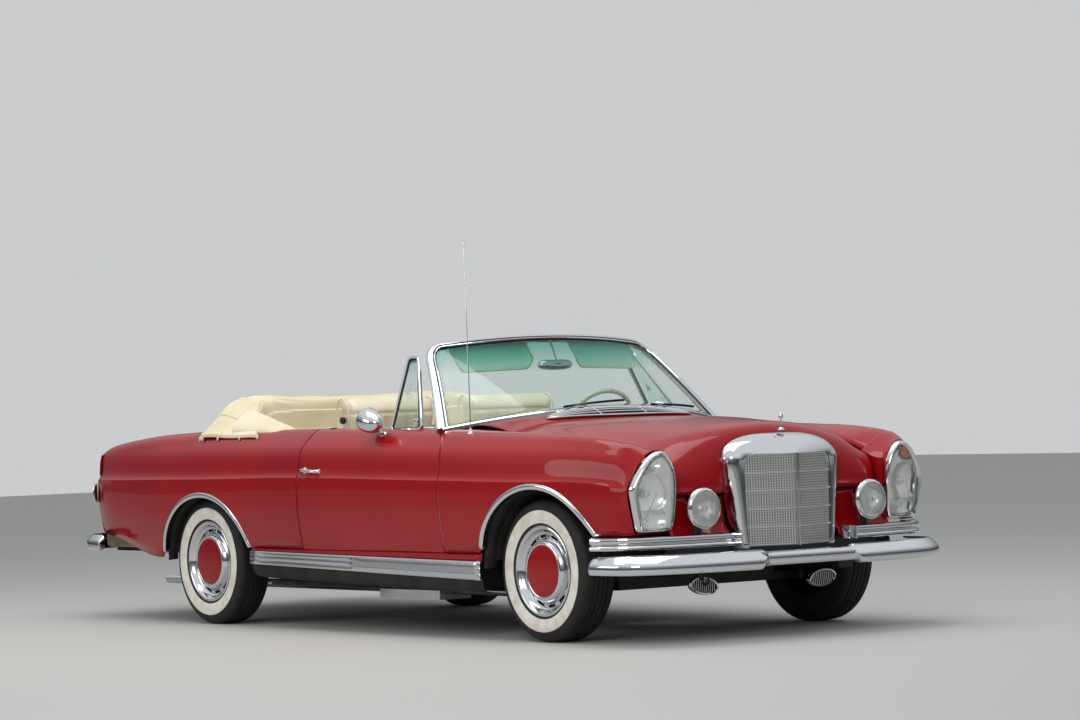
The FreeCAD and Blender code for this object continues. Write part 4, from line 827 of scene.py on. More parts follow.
# The lens bulges by the square of the radius, and each bowl is deepest at its centre
radii = np.linspace(0, 1, 28)[:, None]
disc = radii[..., None] * (lens_rim - lens_centre) + lens_centre
lens_points = behind_lamp(disc[::2], 0.012 - 0.016 * (1 - radii[::2] ** 2))
depths = []
for deep, y, z, wide, high in BOWLS:
    share = 1 - ((disc[..., 0] - y) / wide) ** 2 - ((disc[..., 1] - z) / high) ** 2
    depths.append(deep * np.clip(share, 0, 1) ** 0.7)
reflector_points = behind_lamp(disc, 0.018 + np.max(depths, 0))
for name, side in SIDES:
    grid(f"headlamp_bezel_{name}", mirrored(bezel, side), chrome, thick=0.0012, closed_columns=True,
         flip=side < 0)
    lens = grid(f"headlamp_lens_{name}", mirrored(lens_points, side), lamp_glass, thick=0.003,
                closed_columns=True, flip=side > 0)
    grid(f"headlamp_reflector_{name}", mirrored(reflector_points, side), reflector, thick=0.001,
         closed_columns=True, flip=side > 0)
    # Bulb caps in front of the bowls and the amber parking lens above them
    for part, (y, z, radius) in enumerate(((0.722, 0.640, 0.016), (0.712, 0.535, 0.012))):
        x = float(lamp_plane(y, z)) - 0.060
        lathe(f"headlamp_bulb_{name}_{part}", [(0, 0), (radius, 0.002), (radius * 1.05, 0.012),
              (radius * 0.8, 0.024), (0, 0.030)], (x, side * y, z), (1, 0, 0), chrome, segments=24)
    x = float(lamp_plane(0.735, 0.768)) - 0.036
    lathe(f"parking_lamp_{name}", [(0, 0), (0.026, 0.001), (0.027, 0.008), (0.020, 0.016), (0, 0.020)],
          (x, side * 0.735, 0.768), (1, 0, 0), amber_lens, segments=32)
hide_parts("headlamp_lenses", "headlamp_bezels")

# Nose panel behind the fog lamps, rolled forward at its foot into a shelf
row, column = np.meshgrid(np.linspace(0, 1, 13), np.linspace(0, 1, 15), indexing="ij")
y = 0.300 + column * (0.618 - 0.300)
z = 0.420 + row * (0.616 - 0.420)
x = 2.186 + 0.052 * (1 - ease(row / 0.45)) + 0.022 * ease((column - 0.72) / 0.28) - 0.010 * ease(row - 0.85)
x = x + 0.030 * (1 - ease(column / 0.18)) * (0.4 + 0.6 * (1 - row))
nose = np.stack([x, y, z], -1)
for name, side in SIDES:
    recess = grid(f"nose_panel_{name}", mirrored(nose, side), paint, thick=SHEET, flip=side < 0)
    # Dark slot of the ventilation intake above it
    low_y, high_y = sorted((side * 0.300, side * 0.640))
    make(f"intake_shadow_{name}", *block((2.150, low_y, 0.600), (2.160, high_y, 0.660)), black_enamel,
         smooth=False)

# Black towing eye under the nose
turn = np.linspace(0, 2 * np.pi, 32, endpoint=False)
ring = np.column_stack([2.215 + 0.020 * np.cos(turn), np.full(32, -0.420), 0.262 + 0.020 * np.sin(turn)])
sweep("tow_eye_front_ring", ring, circle(0.006, 10), black_enamel, closed=True, up=(0, 1, 0))
sweep("tow_eye_front_arm", [(2.196, -0.420, 0.262), (2.178, -0.420, 0.275), (2.168, -0.420, 0.300)],
      circle(0.007, 10), black_enamel, up=(0, 1, 0))
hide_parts("nose_panel")

# Valance below the bumper line, between the rails
valance = np.array([[(2.180 - 0.03 * (1 - s), y, 0.300 + s * 0.130) for s in np.linspace(0, 1, 5)]
                    for y in np.linspace(-0.60, 0.60, 13)])
grid("nose_valance", valance, black_enamel, thick=0.002)

# Fog lamps: bright shell, rim, domed fluted lens and a black foot
for name, side in SIDES:
    where = (2.200, side * 0.472, 0.569)
    lathe(f"fog_lamp_shell_{name}", [(0, 0.0), (0.030, 0.001), (0.055, 0.014), (0.072, 0.036),
          (0.081, 0.062), (0.087, 0.074), (0.0895, 0.080), (0.0893, 0.086), (0.0870, 0.0925),
          (0.0800, 0.1000), (0.0770, 0.1010), (0.0755, 0.0985), (0.0750, 0.0880), (0.0740, 0.0860),
          (0.0730, 0.074), (0.060, 0.036), (0.030, 0.010), (0, 0.006)], where, (1, 0, 0), chrome)
    lathe(f"fog_lamp_reflector_{name}", [(0.0742, 0.0900), (0.0655, 0.0805), (0.0525, 0.0690),
          (0.0375, 0.0610), (0.0188, 0.0565), (0, 0.0555), (0, 0.0540), (0.0375, 0.0590), (0.0655, 0.0785),
          (0.0730, 0.0870)], where, (1, 0, 0), reflector)
    lamp_front = lathe(f"fog_lamp_lens_{name}", [(0.0748, 0.0940), (0.0730, 0.0980), (0.0640, 0.1025),
                       (0.0450, 0.1060), (0.0220, 0.1080), (0, 0.1086), (0, 0.1056), (0.0220, 0.1050),
                       (0.0450, 0.1030), (0.0640, 0.0995), (0.0720, 0.0940)], where, (1, 0, 0), lamp_glass)
    lathe(f"fog_lamp_bulb_{name}", [(0, 0.056), (0.010, 0.058), (0.012, 0.070), (0.008, 0.078), (0, 0.080)],
          where, (1, 0, 0), chrome, segments=24)
    foot = np.array([(2.236, 0.472, 0.492), (2.236, 0.472, 0.470), (2.232, 0.472, 0.448),
                    (2.226, 0.472, 0.430)])
    sweep(f"fog_lamp_foot_{name}", mirrored(foot, side), circle(0.020, 16) * (1.0, 0.6), black_enamel,
          up=(1, 0, 0))
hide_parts("fog_lamps")

HORN = (0.078, 0.037)

# Horns: an oval bright rim round a slotted dark mouth, under the bumper
for name, side in SIDES:
    tilt = math.radians(7 * side)
    frame_u = np.array([0.0, math.cos(tilt), math.sin(tilt)])
    frame_v = np.array([0.0, -math.sin(tilt), math.cos(tilt)])
    centre = np.array([2.108, side * 0.337, 0.230])
    turn = np.linspace(0, 2 * np.pi, 48, endpoint=False)
    profile = [(0.60, -0.046), (0.86, -0.034), (1.0, -0.016), (1.0, -0.004), (0.96, 0.0), (0.90, -0.001),
               (0.88, -0.006)]
    oval = HORN[0] * np.cos(turn)[:, None] * frame_u + HORN[1] * np.sin(turn)[:, None] * frame_v
    rows = np.stack([centre + radius * oval + (depth, 0, 0) for radius, depth in profile])
    horn = grid(f"horn_shell_{name}", rows, chrome, thick=0.0015, closed_columns=True)
    disc = np.stack([centre + radius * oval + (-0.010, 0, 0) for radius in np.linspace(0, 0.9, 6)])
    grid(f"horn_mouth_{name}", disc, black_enamel, thick=0.002, closed_columns=True)
    ribs = []
    for place in np.linspace(-0.057, 0.057, 11):
        reach = 0.90 * HORN[1] * math.sqrt(1 - (place / (0.9 * HORN[0])) ** 2)
        low = centre + place * frame_u - reach * frame_v
        high = centre + place * frame_u + reach * frame_v
        ribs.append(([end + s * frame_u + (v, 0, 0) for end in (low, high) for v in (-0.008, -0.002)
                    for s in (-0.0016, 0.0016)], BOX))
    make(f"horn_ribs_{name}", *joined(ribs), bright_trim, smooth=False, outward=True)
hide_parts("horns")

# Grille shell: a bright band from one foot over the crown to the other, folded back to the hood
OPENING = [(0.232, 0.388), (0.241, 0.600), (0.244, 0.735), (0.236, 0.772), (0.205, 0.789), (0.110, 0.790)]
SHELL_EDGE = [(0.270, 0.388), (0.300, 0.600), (0.317, 0.745), (0.306, 0.800), (0.262, 0.842), (0.150, 0.872)]


def over_the_crown(points, crown):
    """A curve through the points from the left foot to the crown and its mirror image."""
    return through(points + [(0.0, crown)] + [(-y, z) for y, z in points[::-1]], 121)


def grille_face(y):
    """How far forward the grille stands: two flat halves that meet in a ridge."""
    return 2.354 - 0.068 * np.abs(y) / 0.238


inner_line = over_the_crown(OPENING, 0.790)
outer_line = over_the_crown(SHELL_EDGE, SHELL_CROWN)
edge_point = np.column_stack([grille_face(inner_line[:, 0]), inner_line])
# The band leans back above the mesh and its ridge is rounded
rounded = np.sqrt(outer_line[:, 0] ** 2 + 0.07 ** 2) - 0.07
corner_x = 2.340 - 0.24 * rounded - 0.62 * np.clip(outer_line[:, 1] - 0.785, 0, 1)
corner_point = np.column_stack([corner_x, outer_line])
rear_point = np.column_stack([np.full(len(outer_line), SHELL_REAR + 0.001), outer_line])
inner_lip = edge_point + np.column_stack([np.full(len(outer_line), -0.024), (outer_line - inner_line) * 0.06])
s = np.linspace(0, 1, 15)[:, None, None]
first = edge_point + (corner_point - edge_point) * 0.60 + np.array([0.004, 0, 0])
second = corner_point + (rear_point - corner_point) * 0.12
shell = np.concatenate([inner_lip[None], bezier(edge_point, first, second, rear_point, s)])
shell_piece = grid("grille_shell_band", shell, chrome, "hood", thick=0.0015, flip=True)
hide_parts("grille_shell")

# Grille: a fine square mesh in two planes, four bright bars, a frame and a centre bar
COLUMNS = 20
PANELS = 5
HOLES = 7
WIRE = 0.0042
half_line = inner_line[:61]
width_at = straight(half_line[:55, 1], half_line[:55, 0])
low, high = 0.398, 0.786


def wire(side, y0, y1, z0, z1, depth=0.004):
    """A flat wire on the sloping plane of one half."""
    return [(grille_face(y) + back - 0.008, side * y, z) for y in (y0, y1) for z in (z0, z1)
            for back in (0.0, -depth)], BOX


net = []
for name, side in SIDES:
    for column in range(COLUMNS + 1):
        y = 0.004 + column * (0.240 - 0.004) / COLUMNS
        top = high if y < 0.205 else 0.789 - (y - 0.205) * 0.75
        net.append(wire(side, y - WIRE / 2, y + WIRE / 2, low if y < 0.231 else 0.42, top))
    for row in range(PANELS * HOLES + 1):
        z = low + row * (high - low) / (PANELS * HOLES)
        net.append(wire(side, 0.002, float(width_at(z)[0]) - 0.002, z - WIRE / 2, z + WIRE / 2, 0.0038))
mesh_piece = make("grille_net", *joined(net), net_silver, "hood", smooth=False, outward=True)
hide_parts("grille_mesh")
bar_profile = [(-0.004, -0.003), (-0.0045, 0.001), (-0.003, 0.0035), (0, 0.0045), (0.003, 0.0035),
               (0.0045, 0.001), (0.004, -0.003)]
for number in range(PANELS + 1):
    z = low + number * (high - low) / PANELS
    reach = float(width_at(z)[0]) - (0.002 if number < PANELS else 0.034)
    line = np.array([(grille_face(y) - 0.006, y, z) for y in (-reach, -0.5 * reach, 0.0, 0.5 * reach, reach)])
    sweep(f"grille_bar_{number}", line, bar_profile, chrome, "hood", up=(1, 0, 0))
line = np.array([(2.350, 0.0, z) for z in np.linspace(0.392, 0.788, 7)])
sweep("grille_centre_bar", line, [(-0.006, -0.006), (-0.006, 0.003), (-0.003, 0.0075), (0, 0.0085),
      (0.003, 0.0075), (0.006, 0.003), (0.006, -0.006)], chrome, "hood", up=(1, 0, 0))
for name, side in SIDES:
    line = np.column_stack([grille_face(half_line[:58, 0]) - 0.008, side * (half_line[:58, 0] - 0.004),
                            half_line[:58, 1] - 0.003])
    sweep(f"grille_frame_{name}", line, circle(0.0042, 8), chrome, "hood", up=(1, 0, 0))
backing = np.array([[(grille_face(y) - 0.040, y, z) for z in (0.392, 0.6, 0.786)]
                    for y in np.linspace(-0.228, 0.228, 9)])
grid("grille_backing", backing, black_enamel, "hood", thick=0.002, flip=True)

# Plain finial on the crown: a stepped foot, a stem and a drop
lathe("finial_foot", [(0, 0), (0.020, 0), (0.020, 0.004), (0.013, 0.007), (0.011, 0.012), (0.005, 0.016),
      (0.004, 0.044), (0.006, 0.048), (0.004, 0.052), (0, 0.053)], (2.252, 0, 0.884), (0, 0, 1), chrome,
      "hood", segments=32)
lathe("finial_drop", [(0, -0.012), (0.005, -0.0105), (0.0090, -0.005), (0.0105, 0.001), (0.0095, 0.007),
      (0.0060, 0.014), (0.0025, 0.019), (0, 0.020)], (2.252, 0, 0.946), (0, 0, 1), chrome, "hood",
      segments=40)


def bar_points(line, out, profile):
    """Profiles of (distance in from the face, height) carried along a plan line."""
    xy = line[:, None] - out[:, None] * profile[..., :1]
    return np.concatenate([xy, np.broadcast_to(profile[..., 1:], xy.shape[:2] + (1,))], -1)


# Front bumper: a plan line with a sloping top ledge over an upright face. The middle is lower.
front_line = [(2.050, 0.918), (2.120, 0.917), (2.180, 0.911), (2.240, 0.896), (2.290, 0.866), (2.335, 0.806),
              (2.370, 0.732), (2.396, 0.630), (2.415, 0.515), (2.429, 0.390), (2.436, 0.260), (2.4395, 0.120)]
front_line = np.array(front_line + [(2.440, 0.0)] + [(x, -y) for x, y in front_line[::-1]])
step = np.linspace(9.65, 10.25, 25)
step = np.unique(np.concatenate([np.linspace(0, len(front_line) - 1, 161), step, len(front_line) - 1 - step]))
line = spline(np.arange(len(front_line)), front_line)(step)
profile_high = np.array([(0.044, 0.306), (0.020, 0.304), (0.006, 0.306), (0.001, 0.312), (0.000, 0.322),
                        (0.000, 0.338), (0.002, 0.346), (0.007, 0.353), (0.030, 0.377), (0.037, 0.382),
                        (0.044, 0.384), (0.045, 0.377)])
profile_low = np.array([(0.044, 0.320), (0.032, 0.318), (0.020, 0.319), (0.014, 0.325), (0.012, 0.334),
                       (0.012, 0.350), (0.013, 0.358), (0.016, 0.365), (0.026, 0.372), (0.035, 0.374),
                       (0.044, 0.375), (0.045, 0.370)])
middle = 1 - ease((np.abs(line[:, 1:]) - 0.264 + 0.5 * (profile_low[:, 1] - 0.320)) / 0.016)
profile = profile_high[None] + middle[..., None] * (profile_low - profile_high)[None]
bumper_piece = grid("front_bumper_bar", bar_points(line, square_to(line, step), profile), chrome, thick=0.002)
sweep("front_bumper_seam", [(2.4255, 0, 0.322), (2.4268, 0, 0.34), (2.4250, 0, 0.362)],
      [(-0.0012, -0.003), (-0.0012, 0.002), (0.0012, 0.002), (0.0012, -0.003)], black_enamel, up=(1, 0, 0))
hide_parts("front_bumper")

# Upper blades with a double ridge
blade_line = [(2.046, 0.908), (2.085, 0.903), (2.130, 0.888), (2.175, 0.858), (2.210, 0.820), (2.240, 0.765),
              (2.262, 0.690), (2.280, 0.600), (2.297, 0.470), (2.311, 0.330), (2.3115, 0.324)]
line = through(blade_line, 61)
profile = np.array([(0.043, 0.404), (0.012, 0.403), (0.003, 0.406), (0.000, 0.412), (0.001, 0.419),
                   (0.006, 0.4245), (0.012, 0.4265), (0.012, 0.4300), (0.007, 0.4320), (0.003, 0.4370),
                   (0.002, 0.4480), (0.005, 0.4560), (0.013, 0.4605), (0.036, 0.4615), (0.043, 0.459)])
blade = bar_points(line, square_to(line), profile[None])
for name, side in SIDES:
    make(f"bumper_blade_{name}", mirrored(blade, side), capped(*blade.shape[:2]), chrome, outward=True)


# Wheels: tyre with tread and white band, bright trim ring, slotted ring and enamelled hub disc
TREAD = 0.064
tyre_profile = np.array([
    (0.183, 0.070), (0.190, 0.078), (0.199, 0.0835), (0.207, 0.0860), (0.226, 0.0895), (0.248, 0.0915),
    (0.268, 0.0905), (0.285, 0.0860), (0.297, 0.0790), (0.3045, 0.0715), (0.3078, TREAD), (0.3085, 0.058),
    (0.3090, 0.040), (0.3020, 0.0385), (0.3020, 0.0345), (0.3095, 0.033), (0.3098, 0.0145), (0.3028, 0.0135),
    (0.3028, 0.0095), (0.3100, 0.0085)])
tyre_profile = np.concatenate([tyre_profile, tyre_profile[::-1] * np.array([1, -1])])
tyre_profile = np.concatenate([tyre_profile, [(0.196, -0.066), (0.199, 0.0), (0.196, 0.066)]])
SEGMENTS = 216


def wheel_points(profile, centre, side, segments=SEGMENTS):
    """Rings of (radius, outward offset) about the wheel's axle."""
    turn = np.linspace(0, 2 * np.pi, segments, endpoint=False)
    profile = np.broadcast_to(profile, (segments,) + np.shape(profile)[-2:])
    x = centre[0] + profile[..., 0] * np.cos(turn)[:, None]
    z = centre[2] + profile[..., 0] * np.sin(turn)[:, None]
    y = centre[1] + side * profile[..., 1]
    return np.stack([x, y, z], -1)


SLOTTED = 12 * 12
for place, axle_x in AXLES.items():
    for label, side in SIDES:
        name = f"{place}_{label}"
        body = f"wheel_{name}"
        centre = (axle_x, side * HALF_TRACK[place], WHEEL_Z)
        # Sipes cut across the tread ribs, staggered from rib to rib
        profile = np.repeat(tyre_profile[None], SEGMENTS, 0)
        offset = profile[..., 1]
        rib = np.round((offset + TREAD) / 0.0245).astype(int)
        phase = (np.arange(SEGMENTS)[:, None] + 2 * rib) % 4
        on_tread = (profile[..., 0] > 0.3072) & (np.abs(offset) > 0.012)
        profile[..., 0] = np.where(on_tread & (phase == 0), profile[..., 0] - 0.0035, profile[..., 0])
        tyre = make(f"tyre_{name}_rubber", wheel_points(profile, centre, side),
                    quads(SEGMENTS, len(tyre_profile), True, True), rubber, body, outward=True)
        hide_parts(f"tyre_{name}")
        lathe(f"white_wall_{name}", [(0.2080, 0.0855), (0.2085, 0.0876), (0.2110, 0.0884), (0.226, 0.0912),
              (0.240, 0.0925), (0.252, 0.0930), (0.262, 0.0925), (0.2645, 0.0917), (0.2650, 0.0895)],
              centre, (0, side, 0), white_rubber, body, segments=128, close=True)
        # Wheel disc and well, black, seen from inside and through the slots
        lathe(f"wheel_well_{name}", [(0.196, 0.073), (0.184, 0.062), (0.176, 0.040), (0.168, 0.020),
              (0.168, -0.020), (0.180, -0.045), (0.184, -0.062), (0.196, -0.073), (0.194, -0.074),
              (0.180, -0.064), (0.176, -0.046), (0.163, -0.022), (0.163, 0.018), (0.150, 0.040),
              (0.110, 0.036), (0.058, 0.012), (0.020, 0.010), (0.020, 0.016), (0.052, 0.018),
              (0.108, 0.042), (0.150, 0.046), (0.172, 0.046), (0.180, 0.066)], centre, (0, side, 0),
              black_enamel, body, segments=96, close=True)
        rim = lathe(f"trim_ring_{name}", [(0.1980, 0.073), (0.1985, 0.079), (0.1968, 0.0835),
                    (0.1925, 0.0855), (0.1870, 0.0850), (0.1815, 0.0800), (0.1765, 0.0715),
                    (0.1715, 0.0640), (0.1665, 0.0590), (0.1620, 0.0570), (0.1620, 0.0555),
                    (0.1670, 0.0570), (0.1730, 0.0630), (0.1800, 0.0740), (0.1870, 0.0810),
                    (0.1940, 0.0790)], centre, (0, side, 0), chrome, body, segments=128, close=True)
        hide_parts(f"rim_{name}")
        # Slotted ring: faces are left out at twelve slots
        radii = np.array([(0.163, 0.0555), (0.1590, 0.0560), (0.1470, 0.0560), (0.1420, 0.0570)])
        faces = quads(SLOTTED, len(radii), True, False)
        segment, band = np.divmod(np.arange(len(faces)), len(radii) - 1)
        faces = faces[(band != 1) | (segment % 12 >= 7)]
        walled(make(f"slotted_ring_{name}", wheel_points(radii, centre, side, SLOTTED), faces if side < 0
               else faces[:, ::-1], bright_trim, body), 0.0015)
        lathe(f"hub_surround_{name}", [(0.1430, 0.0560), (0.1405, 0.0600), (0.1370, 0.0690),
              (0.1325, 0.0770), (0.1270, 0.0825), (0.1205, 0.0850), (0.1155, 0.0845), (0.1130, 0.0830),
              (0.1130, 0.0810), (0.1200, 0.0825), (0.1260, 0.0800), (0.1310, 0.0750), (0.1350, 0.0680),
              (0.1400, 0.0560)], centre, (0, side, 0), chrome, body, segments=128, close=True)
        lathe(f"hub_disc_{name}", [(0.1135, 0.0815), (0.1128, 0.0838), (0.1080, 0.0846), (0.0800, 0.0862),
              (0.0500, 0.0874), (0.0200, 0.0881), (0, 0.0883), (0, 0.0860), (0.05, 0.0850),
              (0.108, 0.0815)], centre, (0, side, 0), paint, body, segments=96)

# Sills: a bright ribbed cover over a dark rounded foot
SILL_REAR = -0.656
SILL_FRONT = 1.222
sill_x = np.linspace(SILL_REAR, SILL_FRONT, 41)
along = (sill_x - SILL_REAR) / (SILL_FRONT - SILL_REAR)
sill_top = 0.372 - 0.024 * along
sill_low = 0.309 - 0.044 * along
edge_y = section_points(sill_x)[:, 0, 0]
ribs = np.array([(-0.02, -0.014), (0.00, 0.000), (0.04, 0.0045), (0.10, 0.0060), (0.30, 0.0065),
                (0.325, 0.0040), (0.35, 0.0040), (0.375, 0.0065), (0.64, 0.0065), (0.665, 0.0040),
                (0.69, 0.0040), (0.715, 0.0065), (0.92, 0.0055), (0.98, 0.0020), (1.00, -0.014)])
z = sill_low[:, None] + ribs[None, :, 0] * (sill_top - sill_low)[:, None]
y = np.minimum(edge_y[:, None] + ribs[None, :, 1], 0.8985)
cover = np.stack([np.repeat(sill_x[:, None], len(ribs), 1), y, z], -1)
foot_profile = np.array([(0.000, 0.004), (-0.004, -0.020), (-0.012, -0.050), (-0.030, -0.072),
                        (-0.060, -0.084)])
foot_y = edge_y[:, None] - 0.004 + foot_profile[None, :, 0]
foot_z = sill_low[:, None] + 0.010 + foot_profile[None, :, 1] * 0.9
foot = np.stack([np.repeat(sill_x[:, None], 5, 1), foot_y, np.maximum(foot_z, 0.212)], -1)
strip_z = np.stack([sill_top - 0.002, np.full(len(sill_x), 0.386)], 1)
strip = np.stack([np.repeat(sill_x[:, None], 2, 1), np.repeat(edge_y[:, None] - 0.008, 2, 1), strip_z], -1)
for name, side in SIDES:
    sill = grid(f"sill_cover_{name}", mirrored(cover, side), bright_trim, thick=0.0015, flip=side < 0)
    grid(f"sill_foot_{name}", mirrored(foot, side), underseal, thick=0.002, flip=side > 0)
    grid(f"sill_strip_{name}", mirrored(strip, side), paint, thick=0.002, flip=side < 0)
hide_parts("sills")


def side_point(x, z):
    """The y of the body side at (x, z), below the ridge."""
    steps = np.linspace(0, 1.7, 180)
    section = side_surface(np.full(len(steps), float(x)), steps)
    return float(np.interp(z, section[:, 2], section[:, 1]))


# Door handles: a round button, a curved grip that ends in a small boss
for name, side in SIDES:
    body = f"door_{name}"
    y = side_point(-0.08, 0.757)
    rear, front = -0.150, -0.012
    path = np.array([(rear - 0.018, y - 0.002, 0.760), (rear - 0.006, y + 0.012, 0.760),
                    (rear + 0.010, y + 0.021, 0.759), (rear + 0.035, y + 0.026, 0.757),
                    (rear + 0.075, y + 0.026, 0.755), (rear + 0.110, y + 0.022, 0.753),
                    (front - 0.008, y + 0.012, 0.752), (front, y - 0.002, 0.752)])
    sweep(f"door_handle_grip_{name}", mirrored(through(path, 41), side), circle(0.0078, 14) * (0.75, 1.0),
          chrome, body)
    lathe(f"door_handle_button_{name}", [(0.0165, -0.004), (0.0165, 0.004), (0.0130, 0.0065),
          (0.0095, 0.0065), (0.0090, 0.020), (0.0070, 0.0225), (0, 0.023), (0, -0.004)],
          (rear + 0.018, side * y, 0.757), (0, side, 0), chrome, body, segments=32)
    lathe(f"door_handle_boss_{name}", [(0.012, -0.004), (0.012, 0.004), (0.009, 0.007), (0, 0.008),
          (0, -0.004)], (front, side * y, 0.752), (0, side, 0), chrome, body, segments=28)
    # Cover of the lock under the rear end of the grip
    lathe(f"door_lock_{name}", [(0.010, -0.003), (0.010, 0.003), (0.007, 0.004), (0, 0.004), (0, -0.003)],
          (rear + 0.030, side * y, 0.722), (0, side, 0), chrome, body, segments=24)

# Bright belt line along the cabin top, on the door and on the quarter behind it
belt_profile = [(-0.010, -0.004), (-0.010, 0.003), (-0.007, 0.007), (0.000, 0.009), (0.006, 0.007),
                (0.008, 0.002), (0.008, -0.004)]
for name, side in SIDES:
    for part, body, start, end in (("door", f"door_{name}", 0.700, DOOR_REAR + 0.002),
                                   ("quarter", "car_body", -0.194, -1.16)):
        x = np.linspace(start, end, 25)
        section = section_points(x)
        line = np.column_stack([x, side * (section[:, 7, 0] + 0.014),
                                np.maximum(section[:, 6, 1], section[:, 7, 1]) + 0.002])
        sweep(f"belt_trim_{part}_{name}", line, belt_profile * np.array([side, 1]), chrome, body)

# Windscreen: curved glass between a lower and an upper plan curve
BASE_CORNER = np.array([0.852, 0.780, 0.935])
BASE_CENTRE = np.array([1.036, 0.0, 1.006])
TOP_CORNER = np.array([0.512, 0.612, 1.304])
TOP_CENTRE = np.array([0.596, 0.0, 1.340])


def screen(u, v):
    """Glass at u from -1 to 1 across and v from 0 to 1 upwards. Each curve falls back from the
    centre with a power of u, and the middle bulges outward by a few millimetres."""
    u, v = np.broadcast_arrays(np.asarray(u, float), np.asarray(v, float))
    back = np.abs(u) ** 2.4
    low = np.stack([BASE_CENTRE[0] - (BASE_CENTRE[0] - BASE_CORNER[0]) * back, BASE_CORNER[1] * u,
                    BASE_CENTRE[2] - (BASE_CENTRE[2] - BASE_CORNER[2]) * u ** 2], -1)
    high = np.stack([TOP_CENTRE[0] - (TOP_CENTRE[0] - TOP_CORNER[0]) * back, TOP_CORNER[1] * u,
                     TOP_CENTRE[2] - (TOP_CENTRE[2] - TOP_CORNER[2]) * u ** 2], -1)
    v = v[..., None]
    bulge = 4 * v * (1 - v) * np.array([0.008, 0, 0.006])
    return low + (high - low) * v + bulge


def screen_normal(u, v):
    """Outward direction of the glass by small steps."""
    step = 1e-3
    across = screen(u + step, v) - screen(u - step, v)
    return unit(np.cross(across, screen(u, v + step) - screen(u, v - step)))


u, v = np.meshgrid(np.linspace(-1, 1, 49), np.linspace(0, 1, 17), indexing="ij")
glass = grid("windscreen_pane", screen(u, v), screen_glass, thick=0.005, flip=True)
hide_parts("windscreen_glass")


def rounded_frame(corner, count):
    """(u, v) round the glass from one foot over the top to the other foot, corners rounded."""
    up = [(1.0, v) for v in np.linspace(0, 1 - corner, count)]
    turn = np.radians(np.linspace(0, 90, 9)[1:-1])
    bend = [(1 - 0.5 * corner + 0.5 * corner * math.cos(a), 1 - corner + corner * math.sin(a)) for a in turn]
    top = [(u, 1.0) for u in np.linspace(1 - 0.5 * corner, 0, 2 * count, endpoint=False)]
    half = up + bend + top
    return np.array(half + [(0.0, 1.0)] + [(-u, v) for u, v in half[::-1]])


def edge_sweep(name, uv, profile, material, scale=np.ones(1)):
    """A profile of (outwards along the glass, off the glass) carried round the (u, v) path."""
    path = screen(uv[:, 0], uv[:, 1])
    normal = screen_normal(uv[:, 0], uv[:, 1])
    out = unit(np.cross(unit(np.gradient(path, axis=0)), normal))
    out *= np.sign(np.sum(out * (path - screen(0.0, 0.5)), 1))[:, None]
    profile = np.asarray(profile, float)
    points = (path[:, None] + out[:, None] * profile[None, :, :1] * scale[:, None, None]
              + normal[:, None] * profile[None, :, 1:2])
    return make(name, points, capped(*points.shape[:2]), material, outward=True)


frame_uv = rounded_frame(0.16, 22)
widen = 1.0 + 0.5 * np.clip(1 - frame_uv[:, 1], 0, 1)
screen_frame = edge_sweep("windscreen_surround", frame_uv, [(0.004, -0.003), (0.003, 0.004), (0.008, 0.011),
                          (0.016, 0.012), (0.027, 0.008), (0.032, 0.000), (0.031, -0.012), (0.024, -0.024),
                          (0.008, -0.026), (0.002, -0.018)], chrome, widen)
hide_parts("windscreen_frame")
edge_sweep("windscreen_seal", frame_uv, [(-0.010, -0.006), (-0.010, 0.004), (-0.004, 0.0075),
           (0.005, 0.006), (0.005, -0.006)], seal_rubber)
edge_sweep("windscreen_bead", frame_uv, [(-0.0065, 0.006), (-0.0055, 0.0092), (-0.0020, 0.0098),
           (0.0005, 0.0075), (-0.0010, 0.0055)], chrome)
base_uv = np.column_stack([np.linspace(1.02, -1.02, 61), np.zeros(61)])
edge_sweep("windscreen_base_seal", base_uv, [(-0.012, -0.006), (-0.012, 0.006), (-0.004, 0.010),
           (0.006, 0.009), (0.012, 0.002), (0.010, -0.008)], seal_rubber)
edge_sweep("windscreen_base_trim", base_uv, [(-0.004, 0.0085), (-0.001, 0.0125), (0.008, 0.0120),
           (0.016, 0.005), (0.017, -0.002), (0.010, 0.004)], chrome)


def vent_plane(outline, side):
    """Points at (x, z) on the raked plane of a vent window."""
    return np.column_stack([outline[:, 0], side * (0.776 - (outline[:, 1] - 0.93) * 0.44), outline[:, 1]])


